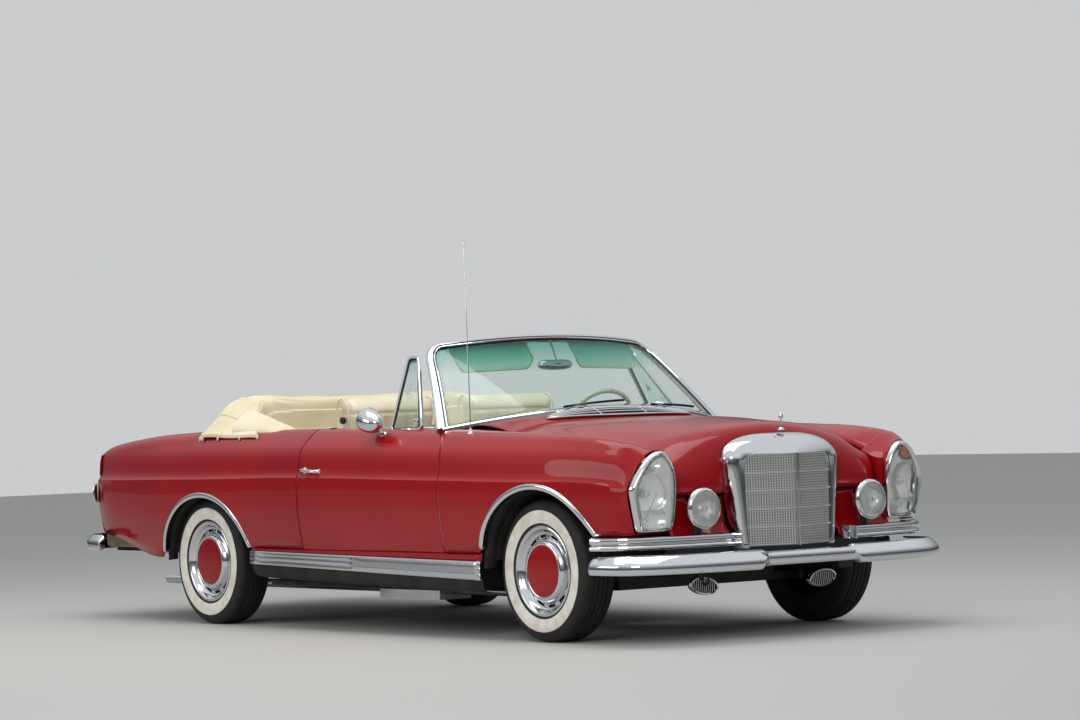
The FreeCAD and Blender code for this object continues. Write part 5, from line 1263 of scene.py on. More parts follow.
# Vent windows: a raked bright frame with a black seal round a small pane
VENT = np.array([(0.404, 0.944), (0.356, 1.248), (0.358, 1.262), (0.370, 1.267), (0.420, 1.267),
                (0.434, 1.260), (0.640, 0.950), (0.628, 0.936), (0.416, 0.934)])
shares = np.linspace(0, 1, 7, endpoint=False)[:, None]
outline = np.concatenate([here + shares * (ahead - here) for here, ahead in zip(VENT, np.roll(VENT, -1, 0))])
for name, side in SIDES:
    loop = vent_plane(outline, side)
    up = (0, side * 0.91, 0.40)
    sweep(f"vent_frame_{name}", loop, [(-0.007, -0.007), (-0.007, 0.005), (-0.004, 0.008), (0.004, 0.008),
          (0.007, 0.005), (0.007, -0.007)], chrome, f"door_{name}", closed=True, up=up)
    seal = vent_plane(outline + (0.10, 0.035) * ((0.455, 1.06) - outline), side)
    sweep(f"vent_seal_{name}", seal, circle(0.0065, 8), seal_rubber, f"door_{name}", closed=True, up=up)
    middle = seal.mean(0)
    rows = np.stack([middle + share * (seal - middle) for share in (0.02, 0.35, 0.7, 1.0)])
    vent = grid(f"vent_pane_{name}", rows, screen_glass, f"door_{name}", thick=0.004, closed_columns=True,
                flip=side < 0)
    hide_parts(f"door_fittings_{name}")
    # Wing of the latch inside the pane
    latch = [(0.600, side * (0.772 - 0.012), 0.972), (0.580, side * (0.770 - 0.014), 0.980),
             (0.556, side * (0.768 - 0.012), 0.978)]
    sweep(f"vent_latch_{name}", latch, circle(0.005, 10), chrome, f"door_{name}")

# Door mirrors: a bullet shell on a stalk, with the glass facing back
for name, side in SIDES:
    body = f"door_{name}"
    centre = np.array([0.350, side * 0.862, 0.984])
    shape = [(0, 0.106), (0.012, 0.104), (0.025, 0.096), (0.038, 0.080), (0.048, 0.058), (0.0545, 0.030),
             (0.0575, 0.004), (0.0585, -0.012), (0.0570, -0.016), (0.0540, -0.014), (0.0510, -0.006),
             (0, -0.006)]
    shell = lathe(f"door_mirror_shell_{name}", shape, centre, (1, side * 0.16, -0.24), chrome, body,
                  segments=48)
    lathe(f"door_mirror_glass_{name}", [(0, -0.0105), (0.0505, -0.0100), (0.0510, -0.0060), (0, -0.0060)],
          centre, (1, side * 0.16, -0.24), chrome, body, segments=48)
    stalk = [(0.402, 0.818, 0.918), (0.400, 0.826, 0.930), (0.396, 0.838, 0.948), (0.388, 0.852, 0.962)]
    sweep(f"door_mirror_stalk_{name}", mirrored(through(stalk, 15), side), circle(0.0068, 12), chrome, body,
          up=(1, 0, 0))
    lathe(f"door_mirror_foot_{name}", [(0, -0.006), (0.021, -0.006), (0.021, 0.002), (0.017, 0.007),
          (0.009, 0.012), (0, 0.013)], (0.402, side * 0.815, 0.917), (0, side * 0.42, 0.9), chrome, body,
          segments=32)

# Cowl: painted panel from the hood to the glass, with the bright air intake
u, v = np.meshgrid(np.linspace(-1, 1, 41), np.linspace(0, 1, 9), indexing="ij")
rear = screen(u * 0.84, np.zeros_like(u))
front_x = np.full_like(u, 1.172)
front_z, front_y = hood_section(np.full_like(u, HOOD_REAR), np.abs(u))
front = np.stack([front_x, np.sign(u) * front_y, front_z - 0.002], -1)
rear = rear + np.array([0.012, 0, -0.006])
cowl_grid = rear + (front - rear) * v[..., None]
cowl_grid[..., 2] += 0.006 * np.sin(np.pi * v)
cowl_piece = grid("cowl_skin", cowl_grid, paint, thick=0.002, flip=True)
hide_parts("cowl")


def cowl_point(y, x, lift=0.0):
    """A point above the cowl between the glass and the hood."""
    u = np.asarray(y) / 0.655
    rear = screen(u * 0.84, np.zeros_like(u))
    front_z = hood_section(np.full((len(u), 1), HOOD_REAR), np.abs(u)[:, None])[0]
    share = (np.asarray(x) - rear[:, 0]) / (1.172 - rear[:, 0])
    arch = np.sin(np.pi * np.clip(share, 0, 1))
    z = rear[:, 2] - 0.006 + share * (front_z[:, 0] - 0.002 - rear[:, 2] + 0.006) + 0.006 * arch
    proud = 0.012 * np.clip(1 - (np.asarray(y) / 0.415) ** 2, 0, 1) ** 0.5 * arch ** 0.5
    return np.column_stack([np.asarray(x) * np.ones(len(u)), y, z + proud + lift])


intake_y = np.linspace(-0.415, 0.415, 61)
bend = 1 - (intake_y / 0.415) ** 2
intake_front = 1.132 + 0.030 * bend
intake_rear = 1.118 - 0.056 * bend ** 0.7
ends = np.clip(bend * 6, 0, 1) ** 0.5
middle_x = 0.5 * (intake_front + intake_rear)
intake_front = middle_x + (intake_front - middle_x) * ends
intake_rear = middle_x + (intake_rear - middle_x) * ends
intake_depth = intake_front - intake_rear
# The black pad under the slats is painted shade, standing in for the dark openings of the intake
pad = [cowl_point(intake_y, intake_rear + s * intake_depth, 0.0022) for s in (0.04, 0.35, 0.65, 0.96)]
grid("air_intake_painted_shade", np.stack(pad, 1), black_enamel, thick=0.0012, flip=True)
loop = np.concatenate([cowl_point(intake_y, intake_front, 0.004),
                      cowl_point(intake_y, intake_rear, 0.004)[::-1][1:-1]])
sweep("air_intake_frame", loop, circle(0.0046, 10) * (1.0, 1.3), chrome, closed=True)
for number, s in enumerate((0.28, 0.52, 0.76)):
    line = cowl_point(intake_y, intake_rear + s * intake_depth, 0.006)[1:-1]
    sweep(f"air_intake_slat_{number}", line, circle(0.0034, 8) * (1.0, 1.2), chrome)
for number, y in enumerate((-0.13, 0.13)):
    start, end = (np.interp(y, intake_y, edge) for edge in (intake_rear, intake_front))
    line = cowl_point(np.full(5, y), np.linspace(start, end, 5), 0.008)
    sweep(f"air_intake_rib_{number}", line, circle(0.0034, 8), chrome)

# Wipers parked along the foot of the glass
for number, (pivot_u, tip_u) in enumerate(((-0.36, 0.16), (0.30, 0.80))):
    pivot = screen(pivot_u, 0.0) + np.array([0.030, 0, -0.004])
    lathe(f"wiper_pivot_{number}", [(0, -0.010), (0.012, -0.010), (0.013, 0.006), (0.009, 0.012),
          (0, 0.014)], pivot, (0.5, 0, 0.85), chrome, segments=24)
    us = np.linspace(pivot_u, tip_u, 17)
    vs = 0.02 + 0.055 * (us - pivot_u) / (tip_u - pivot_u)
    on_glass = screen(us, vs) + screen_normal(us, vs) * 0.012
    arch = np.sin(np.linspace(0, np.pi, 9))[:, None]
    arm = pivot + (on_glass[8] - pivot) * np.linspace(0, 1, 9)[:, None] + (0.010, 0, 0.012) * arch
    sweep(f"wiper_arm_{number}", arm, [(-0.004, -0.002), (-0.004, 0.002), (0.004, 0.002), (0.004, -0.002)],
          chrome)
    us = np.linspace(pivot_u + 0.10 * (tip_u - pivot_u), tip_u, 21)
    vs = 0.03 + 0.055 * (us - pivot_u) / (tip_u - pivot_u)
    blade_line = screen(us, vs) + screen_normal(us, vs) * 0.007
    sweep(f"wiper_blade_{number}", blade_line, [(-0.002, -0.005), (-0.003, 0.003), (-0.001, 0.006),
          (0.001, 0.006), (0.003, 0.003), (0.002, -0.005)], seal_rubber, up=(0.6, 0, 0.8))

# Inside mirror on its stem and two tinted sun visors
stem = [(0.606, 0.0, 1.332), (0.628, 0.0, 1.290), (0.652, 0.0, 1.236)]
stem_piece = sweep("mirror_stem", through(stem, 9), circle(0.0052, 12), chrome, up=(1, 0, 0))
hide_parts("header_fittings")
turn = np.linspace(0, 2 * np.pi, 48, endpoint=False)
shape_y = 0.098 * np.sign(np.cos(turn)) * np.abs(np.cos(turn)) ** 0.55
shape_z = 0.024 * np.sign(np.sin(turn)) * np.abs(np.sin(turn)) ** 0.8
rows = np.stack([np.column_stack([np.full(48, 0.640 + x), share * shape_y, 1.216 + share * shape_z])
                for share, x in ((0.02, 0.030), (0.45, 0.0285), (0.80, 0.022), (0.95, 0.012), (1.0, 0.003),
                (1.0, -0.002), (0.95, -0.004))])
grid("mirror_back", rows, chrome, thick=0.001, closed_columns=True, flip=True)
rows = np.stack([np.column_stack([np.full(48, 0.6375), share * shape_y, 1.216 + share * shape_z])
                for share in (0.02, 0.6, 0.94)])
grid("mirror_glass", rows, chrome, thick=0.001, closed_columns=True)
for name, side in SIDES:
    s, t = np.meshgrid(np.linspace(0, 1, 25), np.linspace(0, 1, 9), indexing="ij")
    y = 0.125 + s * 0.400
    end = np.clip(np.minimum(s, 1 - s) / 0.10, 0, 1)
    drop = 0.128 * (1 - 0.35 * (1 - end) ** 2)
    z = 1.330 - t * drop - 0.012 * s
    x = 0.574 + 0.066 * t - 0.055 * s ** 2.2
    visor = np.stack([x, y, z], -1)
    grid(f"sun_visor_{name}", mirrored(visor, side), visor_vinyl, thick=0.003, flip=side > 0)
    rim = np.concatenate([visor[0], visor[1:, -1], visor[-1, ::-1][1:]])
    sweep(f"sun_visor_edge_{name}", mirrored(rim, side), circle(0.0045, 8), leather, up=(1, 0, 0.3))
    rod_line = mirrored(np.array([(0.570, 0.10, 1.324), (0.566, 0.30, 1.320), (0.530, 0.52, 1.310)]), side)
    sweep(f"sun_visor_rod_{name}", rod_line, circle(0.004, 10), chrome)

# Aerial: a chromed foot and three telescopic lengths
lathe("aerial_foot", [(0, -0.004), (0.017, -0.004), (0.017, 0.003), (0.012, 0.008), (0.008, 0.022),
      (0.0045, 0.030), (0, 0.031)], (1.050, -0.790, 0.907), (-0.07, 0.04, 1), chrome, segments=32)
foot, tip = np.array([1.049, -0.789, 0.93]), np.array([0.991, -0.753, 1.776])
joints = (0.0, 0.34, 0.68, 1.0)
for number, radius in enumerate((0.0030, 0.0022, 0.0015)):
    ends = [foot + (tip - foot) * joints[number], foot + (tip - foot) * joints[number + 1]]
    mast = sweep(f"aerial_mast_{number}", ends, circle(radius, 12), chrome, up=(1, 0, 0))
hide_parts("aerial")
lathe("aerial_tip", [(0, -0.003), (0.0030, -0.002), (0.0034, 0.0), (0.0028, 0.0025), (0, 0.0034)], tip,
      (0, 0, 1), chrome, segments=16)


# Jambs: painted returns of fender and quarter beside the doors
inward = np.linspace(0, 1, 4)
for name, side in SIDES:
    for part, x, floor_y, step_back in (("fender", FENDER_END, 0.800, 0.012),
                                        ("quarter", QUARTER_START, 0.735, 0.0)):
        edge = side_surface(np.full(len(SECTION_STEPS), x), SECTION_STEPS)
        if part == "fender":
            edge = side_surface(fender_edge(edge[:, 2]), SECTION_STEPS)
        deep = edge.copy()
        deep[:, 1] = np.minimum(deep[:, 1], floor_y)
        deep[:, 2] = np.minimum(deep[:, 2], 0.924)
        deep[:, 0] += step_back
        jamb = edge[:, None] + (deep - edge)[:, None] * inward[None, :, None]
        if part == "fender":
            flange = np.stack([-0.022 - 0.034 * ease((edge[:, 2] - 0.84) / 0.06), np.full(len(edge), -0.005),
                               np.full(len(edge), -0.004)], -1)
            jamb = np.concatenate([jamb[:, :1], (edge + flange)[:, None], jamb[:, 1:]], 1)
        grid(f"{part}_jamb_{name}", mirrored(jamb, side), paint, thick=0.0015,
             flip=(side > 0) == (part == "fender"))


def skin_y(x, z):
    """Half-width of the body side at each x and height, from its section there."""
    steps = SECTION_STEPS[:len(LOWER_STEPS) + 12]
    sections = [side_surface(np.full(len(steps), place), steps) for place in x]
    return np.array([np.interp(high, section[:, 2], section[:, 1]) for high, section in zip(z, sections)])


# Inner sheets: bulkhead ends beside the firewall, wheel house rims and sides, and boot linings
for name, side in SIDES:
    z = np.linspace(0.385, 0.885, 11)
    edge = skin_y(np.full(11, 0.978), z) - 0.012
    plan = [np.full((11, 2), (0.874, 0.615)), np.full((11, 2), (0.874, 0.668)),
            np.full((11, 2), (0.978, 0.735)), np.stack([np.full(11, 0.978), edge], 1)]
    plan = np.stack(plan, 1)
    rows = np.concatenate([plan, np.broadcast_to(z[:, None, None], (11, 4, 1))], -1)
    grid(f"bulkhead_end_{name}", mirrored(rows, side), underseal, thick=0.002, smooth=False)
    for place, arch in (("front", FRONT_ARCH), ("rear", REAR_ARCH)):
        centre, base, half, height = arch
        turn = np.linspace(0.06, math.pi - 0.06, 49)
        x = centre + (half + 0.004) * np.cos(turn)
        z = base + (height + 0.004) * np.sin(turn)
        edge = skin_y(x, z) - 0.016
        rim = [np.stack([x, edge, z], -1), np.stack([x, 0.5 * (edge + 0.786), z + 0.003], -1),
               np.stack([x, np.full_like(x, 0.786), z + 0.004], -1)]
        grid(f"wheel_house_rim_{place}_{name}", mirrored(np.stack(rim, 1), side), underseal, thick=0.0015,
             flip=side > 0)
    wall = np.stack([x, np.full_like(x, 0.6425), z + 0.008], -1)
    foot = wall * (1, 1, 0) + (0, 0, 0.29)
    rows = foot[:, None] + (wall - foot)[:, None] * np.linspace(0, 1, 7)[None, :, None]
    grid(f"wheel_house_side_{name}", mirrored(rows, side), underseal, thick=0.0015, flip=side > 0)
    x, z = np.meshgrid(np.linspace(-0.645, -0.200, 12), np.linspace(0.225, 0.432, 6), indexing="ij")
    board = np.stack([x, np.full_like(x, 0.6415), z], -1)
    grid(f"seat_side_board_{name}", mirrored(board, side), carpet, thick=0.0015, flip=side > 0)
    profile = np.array([(0.630, 0.3625), (0.680, 0.3635), (0.700, 0.370), (0.708, 0.390), (0.712, 0.450),
                        (0.714, 0.600), (0.714, 0.750), (0.714, 0.850)])
    x = np.linspace(-1.508, -2.362, 24)
    top = np.minimum(body_lines(x)[:, 3] - 0.045, 0.905)
    rows = np.empty((24, 8, 3))
    for place, (wide, high) in enumerate(profile):
        z = 0.3625 + (high - 0.3625) * (top - 0.3625) / (0.850 - 0.3625)
        rows[:, place] = np.stack([x, np.minimum(wide, skin_y(x, z) - 0.012), z], -1)
    grid(f"boot_lining_{name}", mirrored(rows, side), carpet, thick=0.003, flip=side > 0)

# Door trim: fluted hide between plain bands, a bright strip, an armrest, a lever and a crank
TRIM_STRIP_Z = 0.765
for name, side in SIDES:
    body = f"door_{name}"
    x, z = np.meshgrid(np.linspace(0.845, DOOR_REAR + 0.022, 129), np.linspace(0.415, 0.905, 25),
                       indexing="ij")
    x = x + ease((x - 0.5) / 0.345) * np.minimum(door_front(z) - 0.080 - 0.845, 0)
    wall = body_lines(x)[..., 0] - DOOR_THICK
    fluted = ease((z - 0.47) / 0.04) * ease((0.70 - z) / 0.04)
    y = wall - 0.005 - 0.004 * fluted * np.abs(np.sin(np.pi * x / 0.042)) ** 0.6
    grid(f"door_trim_{name}", mirrored(np.stack([x, y, z], -1), side), leather, body, thick=0.003,
         flip=side > 0)
    line = np.column_stack([np.linspace(0.83, DOOR_REAR + 0.03, 9), np.zeros(9), np.full(9, TRIM_STRIP_Z)])
    line[:, 1] = side * (body_lines(line[:, 0])[:, 0] - DOOR_THICK - 0.008)
    sweep(f"door_trim_strip_{name}", line, circle(0.006, 8), chrome, body)
    arm_x = np.linspace(0.37, 0.0, 21)
    wide = 0.024 * np.clip(1 - (np.abs(arm_x - 0.185) / 0.19) ** 6, 0.02, 1)[:, None] ** 0.5
    turn = np.linspace(0, 2 * np.pi, 24, endpoint=False)
    y = body_lines(arm_x)[:, :1] - DOOR_THICK - 0.024 + 1.1 * wide * np.cos(turn)
    rows = np.stack(np.broadcast_arrays(arm_x[:, None], y, 0.640 + wide * np.sin(turn)), -1)
    armrest = make(f"door_armrest_{name}", mirrored(rows, side), capped(21, 24), leather, body, outward=True)
    for part, x, z in (("lever", 0.60, 0.700), ("crank", 0.47, 0.560)):
        wall = float(body_lines(np.array(x))[0]) - DOOR_THICK - 0.006
        lathe(f"door_{part}_boss_{name}", [(0, 0), (0.018, 0.0), (0.017, 0.008), (0.010, 0.014),
              (0, 0.015)], (x, side * wall, z), (0, -side, 0), chrome, body, segments=24)
        path = np.array([(x, wall - 0.014, z), (x - 0.03, wall - 0.020, z - 0.012),
                         (x - 0.085, wall - 0.022, z - 0.040)])
        sweep(f"door_{part}_{name}", mirrored(path, side), circle(0.0055, 10), chrome, body)
    lathe(f"door_crank_knob_{name}", [(0, 0), (0.010, 0.002), (0.012, 0.014), (0.008, 0.022), (0, 0.023)],
          (0.385, side * (wall - 0.022), 0.520), (0, -side, 0), ivory, body, segments=20)

# Boot lid: crowned across, falling over to the tail, with a black liner under it
LID = [(-1.562, 0.940), (-1.700, 0.935), (-1.850, 0.928), (-2.000, 0.916), (-2.130, 0.902), (-2.230, 0.888),
       (-2.300, 0.872), (-2.348, 0.850), (-2.378, 0.820), (-2.392, 0.785), (-2.397, 0.742)]
lid_line = through(LID, 41)
across = np.linspace(-1, 1, 33)
crown = 0.010 * (1 - across ** 2)
down = np.linspace(0, 1, 41)[:, None]
lid = np.stack([lid_line[:, :1] + 0.012 * across ** 2 * down ** 4, np.broadcast_to(0.5975 * across, (41, 33)),
                lid_line[:, 1:] + crown * (1 - down ** 6)], -1)
lid_skin = grid("boot_lid_skin", lid, paint, "boot_lid", thick=SHEET, flip=True)
liner = lid[2:-1, 1:-1] + np.stack([0.016 * down[2:-1] ** 3, 0 * down[2:-1],
                                   -0.020 * (1 - down[2:-1] ** 4)], -1)
grid("boot_lid_liner", liner, black_enamel, "boot_lid", thick=0.002, flip=True)
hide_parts("boot_lid")

# Deck between the folded top and the boot lid
deck_x = np.linspace(-1.256, -1.553, 7)[:, None]
deck = np.stack(np.broadcast_arrays(deck_x, 0.602 * across, 0.9395 + crown), -1)
grid("rear_deck", deck, paint, thick=SHEET, flip=True)

# Tail panel: from the lid's lip down behind the bumper, curved in plan
tail_rows = np.array([(0.000, 0.734), (0.003, 0.700), (0.006, 0.640), (0.007, 0.580), (0.004, 0.520),
                      (-0.006, 0.470), (-0.022, 0.440)])
tail_y = np.linspace(-1, 1, 41)
corner = np.clip((np.abs(tail_y) - 0.86) / 0.14, 0, 1) ** 2
tail_x = -2.394 - tail_rows[:, :1] + 0.010 * tail_y ** 2 + 0.020 * corner
tail = np.stack(np.broadcast_arrays(tail_x, 0.728 * tail_y, tail_rows[:, 1:]), -1)
tail_piece = grid("tail_panel", tail, paint, thick=SHEET)
for name, side in SIDES:
    y, z = np.meshgrid(np.linspace(0.604, 0.735, 7), np.linspace(0.734, 0.848, 9), indexing="ij")
    x = -2.392 + 0.030 * ((z - 0.734) / 0.114) ** 2.5 + 0.030 * ((y - 0.604) / 0.131) ** 3
    z = np.minimum(z, 0.850 - 0.010 * ((y - 0.604) / 0.131) ** 2)
    grid(f"tail_corner_{name}", mirrored(np.stack([x, y, z], -1), side), paint, thick=SHEET, flip=side < 0)
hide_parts("rear_panels")

# Tail lamps: clear, red and amber lenses in a bright frame, wrapped round the corner
LAMP_PLAN = [(-2.404, 0.482), (-2.4085, 0.560), (-2.408, 0.640), (-2.402, 0.700), (-2.388, 0.738),
             (-2.360, 0.764), (-2.325, 0.779)]
plan = through(LAMP_PLAN, 37)
out = square_to(plan)
SWELL = np.array([(0.598, 0.000), (0.602, 0.008), (0.612, 0.013), (0.643, 0.016), (0.674, 0.013),
                  (0.684, 0.008), (0.688, 0.000)])
lens_points = np.concatenate([plan[:, None] + out[:, None] * SWELL[None, :, 1:],
                              np.broadcast_to(SWELL[None, :, :1], (37, len(SWELL), 1))], -1)
for name, side in SIDES:
    for part, material, start, end in (("reverse", lamp_glass, 0, 9), ("stop", red_lens, 8, 25),
                                       ("turn", amber_lens, 24, 37)):
        lens = grid(f"tail_lens_{part}_{name}", mirrored(lens_points[start:end], side), material,
                    slot="tail_lens", thick=0.003, flip=side > 0)
    for part, z in (("low", 0.597), ("high", 0.689)):
        line = np.column_stack([plan + out * 0.003, np.full(37, z)])
        sweep(f"tail_lamp_frame_{part}_{name}", mirrored(line, side), circle(0.005, 10), chrome)
    for step in (0, 8, 24, 36):
        line = lens_points[step] + np.append(out[step] * 0.001, 0)
        sweep(f"tail_lamp_divider_{step}_{name}", mirrored(line, side), circle(0.004, 8), chrome,
              up=(1, 0, 0))
    rows = np.stack([np.column_stack([plan - out * 0.004, np.full(37, z)]) for z in (0.598, 0.688)], 1)
    grid(f"tail_lamp_back_{name}", mirrored(rows, side), reflector, thick=0.002, flip=side > 0)
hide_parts("tail_lamps")

# Rear bumper: a bar wrapped round the corners, and an overrider each side with a bullet top
REAR_LINE = [(-2.100, 0.903), (-2.160, 0.899), (-2.220, 0.890), (-2.280, 0.872), (-2.335, 0.840),
             (-2.378, 0.796), (-2.405, 0.735), (-2.420, 0.650), (-2.430, 0.520), (-2.436, 0.360),
             (-2.439, 0.180), (-2.440, 0.0)]
line = through(REAR_LINE + [(x, -y) for x, y in REAR_LINE[-2::-1]], 141)
profile = np.array([(0.031, 0.354), (0.016, 0.352), (0.005, 0.356), (0.001, 0.364), (0.000, 0.376),
                    (0.000, 0.396), (0.003, 0.406), (0.010, 0.414), (0.024, 0.430), (0.030, 0.434),
                    (0.031, 0.428)])
along = np.abs(np.linspace(-1, 1, 141))
end_round = np.sqrt(np.clip(1 - (np.clip(along - 0.955, 0, 1) / 0.045) ** 2, 0, 1))
heights = 0.394 + (profile[None, :, 1] - 0.394) * (0.25 + 0.75 * end_round[:, None])
profile = np.stack(np.broadcast_arrays(profile[None, :, 0], heights), -1)
rear_bar = grid("rear_bumper_bar", bar_points(line, -square_to(line), profile), chrome, thick=0.002)
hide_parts("rear_bumper")
for name, side in SIDES:
    path = through([(-2.428, 0.658, 0.350), (-2.434, 0.658, 0.372), (-2.435, 0.658, 0.400),
                   (-2.430, 0.658, 0.425), (-2.424, 0.658, 0.450)], 17)
    sweep(f"overrider_{name}", mirrored(path, side), [(-0.018, -0.016), (-0.016, -0.001), (-0.008, 0.004),
          (0, 0.005), (0.008, 0.004), (0.016, -0.001), (0.018, -0.016)], chrome, up=(-1, 0, 0))
    lathe(f"overrider_bullet_{name}", [(0, -0.022), (0.012, -0.021), (0.020, -0.012), (0.0225, 0.002),
          (0.021, 0.014), (0.014, 0.024), (0.006, 0.029), (0, 0.030)], (-2.408, side * 0.658, 0.482),
          (-1, 0, 0.12), chrome, segments=36)
    lathe(f"overrider_neck_{name}", [(0, 0), (0.013, 0), (0.011, 0.012), (0.010, 0.024), (0, 0.025)],
          (-2.418, side * 0.658, 0.440), (0.1, 0, 1), chrome, segments=24)
    lathe(f"plate_lamp_{name}", [(0, -0.03), (0.012, -0.03), (0.012, 0.03), (0, 0.03)],
          (-2.414, side * 0.12, 0.618), (0, 1, 0), chrome, segments=24)

# Blank number plate in a bright frame, and the boot handle
y, z = np.meshgrid(np.linspace(-0.26, 0.26, 9), np.linspace(0.492, 0.602, 4), indexing="ij")
grid("plate_blank", np.stack([-2.407 - 0.001 * (1 - (y / 0.26) ** 2), y, z], -1), white_rubber,
     slot="body_paint", thick=0.002, flip=True)
corners = np.array([(-2.409, -0.26, 0.492), (-2.409, 0.26, 0.492), (-2.409, 0.26, 0.602),
                   (-2.409, -0.26, 0.602)])
frame_line = np.concatenate([np.linspace(corners[i], corners[(i + 1) % 4], 9)[:-1] for i in range(4)])
sweep("plate_frame", frame_line, circle(0.004, 8), chrome, closed=True, up=(-1, 0, 0))
handle_y = np.linspace(-0.075, 0.075, 15)
sweep("boot_handle",
      np.column_stack([np.full(15, -2.3985), handle_y, 0.760 + 0.004 * np.cos(handle_y * 18)]),
      [(-0.006, -0.004), (-0.008, 0.004), (0, 0.009), (0.008, 0.004), (0.006, -0.004)], chrome, "boot_lid",
      up=(-1, 0, 0))


# The folded top under its cover. Columns: distance from the middle, then x and z of the front
# foot, the front roll, the rear peak and the rear foot
COVER = np.array([
    (0.000, -0.908, 0.945, -0.925, 1.098, -1.115, 1.108, -1.246, 0.944),
    (0.300, -0.908, 0.945, -0.925, 1.101, -1.115, 1.113, -1.246, 0.944),
    (0.560, -0.904, 0.945, -0.922, 1.107, -1.112, 1.121, -1.242, 0.944),
    (0.640, -0.885, 0.945, -0.905, 1.098, -1.112, 1.114, -1.236, 0.944),
    (0.700, -0.832, 0.942, -0.862, 1.060, -1.122, 1.078, -1.228, 0.943),
    (0.750, -0.770, 0.936, -0.800, 1.012, -1.132, 1.022, -1.218, 0.941),
    (0.800, -0.700, 0.928, -0.726, 0.966, -1.142, 0.976, -1.204, 0.938),
    (0.845, -0.646, 0.904, -0.660, 0.938, -1.130, 0.944, -1.180, 0.922),
])
COVER_HALF = 0.845
cover_y = COVER_HALF * np.sin(np.linspace(-0.5, 0.5, 121) * np.pi)
cover_ends = straight(COVER[:, 0], COVER[:, 1:])(np.abs(cover_y)).T
foot_x, foot_z, roll_x, roll_z, peak_x, peak_z, rear_x, rear_z = cover_ends
dip = 0.020 * (1 - (np.abs(cover_y) / COVER_HALF) ** 4)
low = np.minimum(roll_z, peak_z)
knots = np.array([
    (foot_x, foot_z), (foot_x + 0.002, 0.55 * foot_z + 0.45 * roll_z),
    (roll_x + 0.016, roll_z - 0.16 * (roll_z - foot_z)), (roll_x - 0.012, roll_z),
    (0.72 * roll_x + 0.28 * peak_x, low - 0.45 * dip), (0.45 * roll_x + 0.55 * peak_x, low - dip),
    (0.18 * roll_x + 0.82 * peak_x, peak_z - 0.25 * dip), (peak_x - 0.010, peak_z),
    (0.62 * peak_x + 0.38 * rear_x, 0.80 * peak_z + 0.20 * rear_z),
    (0.22 * peak_x + 0.78 * rear_x, 0.32 * peak_z + 0.68 * rear_z), (rear_x, rear_z)])
cover = through(knots.reshape(11, -1), 91).reshape(91, 2, 121)
cover = np.stack([cover[:, 0], np.broadcast_to(cover_y, (91, 121)), cover[:, 1]], -1)
# Drag lines fan out from the four top corners, and slack lies in long shallow waves over the bows
row, column = np.meshgrid(np.linspace(0, 1, 91), cover_y, indexing="ij")
free = np.sin(np.pi * row) ** 0.6 * np.clip((COVER_HALF - np.abs(column)) / 0.12, 0, 1)
wave = 0.0022 * np.sin(26 * column + 5 * np.sin(7 * row)) * np.sin(9 * row + 2.0)
for corner_row, corner_y in ((0.30, 0.60), (0.30, -0.60), (0.72, 0.60), (0.72, -0.60)):
    angle = np.arctan2(column - corner_y, 1.6 * (row - corner_row))
    reach = np.hypot(column - corner_y, 1.6 * (row - corner_row))
    wave = wave + 0.0045 * np.sin(9 * angle + 14 * reach) * np.exp(-(reach / 0.22) ** 2) * ease(reach / 0.08)
crease = 0.003 * np.sin(150 * row + 12 * column) * np.exp(-((np.abs(column) - 0.72) / 0.05) ** 2)
normal = unit(np.cross(np.gradient(cover, axis=1), np.gradient(cover, axis=0)))
cover += normal * np.where(normal[..., 2:] < 0, -1, 1) * (free * (wave + crease) - 0.004)[..., None]
cover_piece = grid("soft_top_cover", cover, cloth, flip=True)
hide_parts("soft_top")
# Piped seams over the cover, and the piping round its foot
for part, at in (("left", 101), ("right", 19)):
    sweep(f"soft_top_seam_{part}", cover[3:-3, at] + (0, 0, 0.002), circle(0.0032, 8),
                       cloth, up=(0, 1, 0))
for part, at in (("front", 0), ("rear", 90)):
    sweep(f"soft_top_piping_{part}", cover[at, 1:-1] + (0, 0, 0.002), circle(0.0045, 8),
                       cloth)
for name, side in SIDES:
    hem = cover[:, -1 if side > 0 else 0]
    skirt = np.stack([hem + (0, 0, -down) for down in np.linspace(0, 0.018, 4)], 1)
    grid(f"soft_top_skirt_{name}", skirt, cloth, thick=0.002, flip=side < 0)
    for count, x in enumerate((-1.14, -1.00, -0.80)):
        at = int(np.argmin(np.abs(hem[:, 0] - x) + np.where(hem[:, 2] > 0.93, 0, 1)))
        lathe(f"soft_top_stud_{count}_{name}",
              [(0, -0.004), (0.009, -0.004), (0.009, 0.003), (0.006, 0.006), (0, 0.007)],
              (x, side * 0.847, 0.9135), (0, side, 0.15), chrome, segments=20)
    # The cover's arm along the top of the side trim, ending in a rounded point
    arm_x = np.linspace(-0.40, -0.90, 33)
    share = (arm_x + 0.90) / 0.50
    half = 0.052 * np.clip(1 - share ** 3, 0.02, 1)[:, None] ** 0.5
    high = spline([-0.92, -0.75, -0.60, -0.48, -0.40], [0.064, 0.050, 0.032, 0.018, 0.006])(arm_x)
    turn = np.linspace(0, 2 * np.pi, 28, endpoint=False)
    y = 0.756 + half * np.cos(turn) * (1 - 0.4 * np.sin(turn)) - 0.5 * high * np.sin(turn)
    z = 0.924 + high + high * np.sin(turn)
    rows = np.stack(np.broadcast_arrays(arm_x[:, None], y, z), -1)
    arm = make(f"soft_top_arm_{name}", mirrored(rows, side), capped(33, 28), cloth, outward=True)


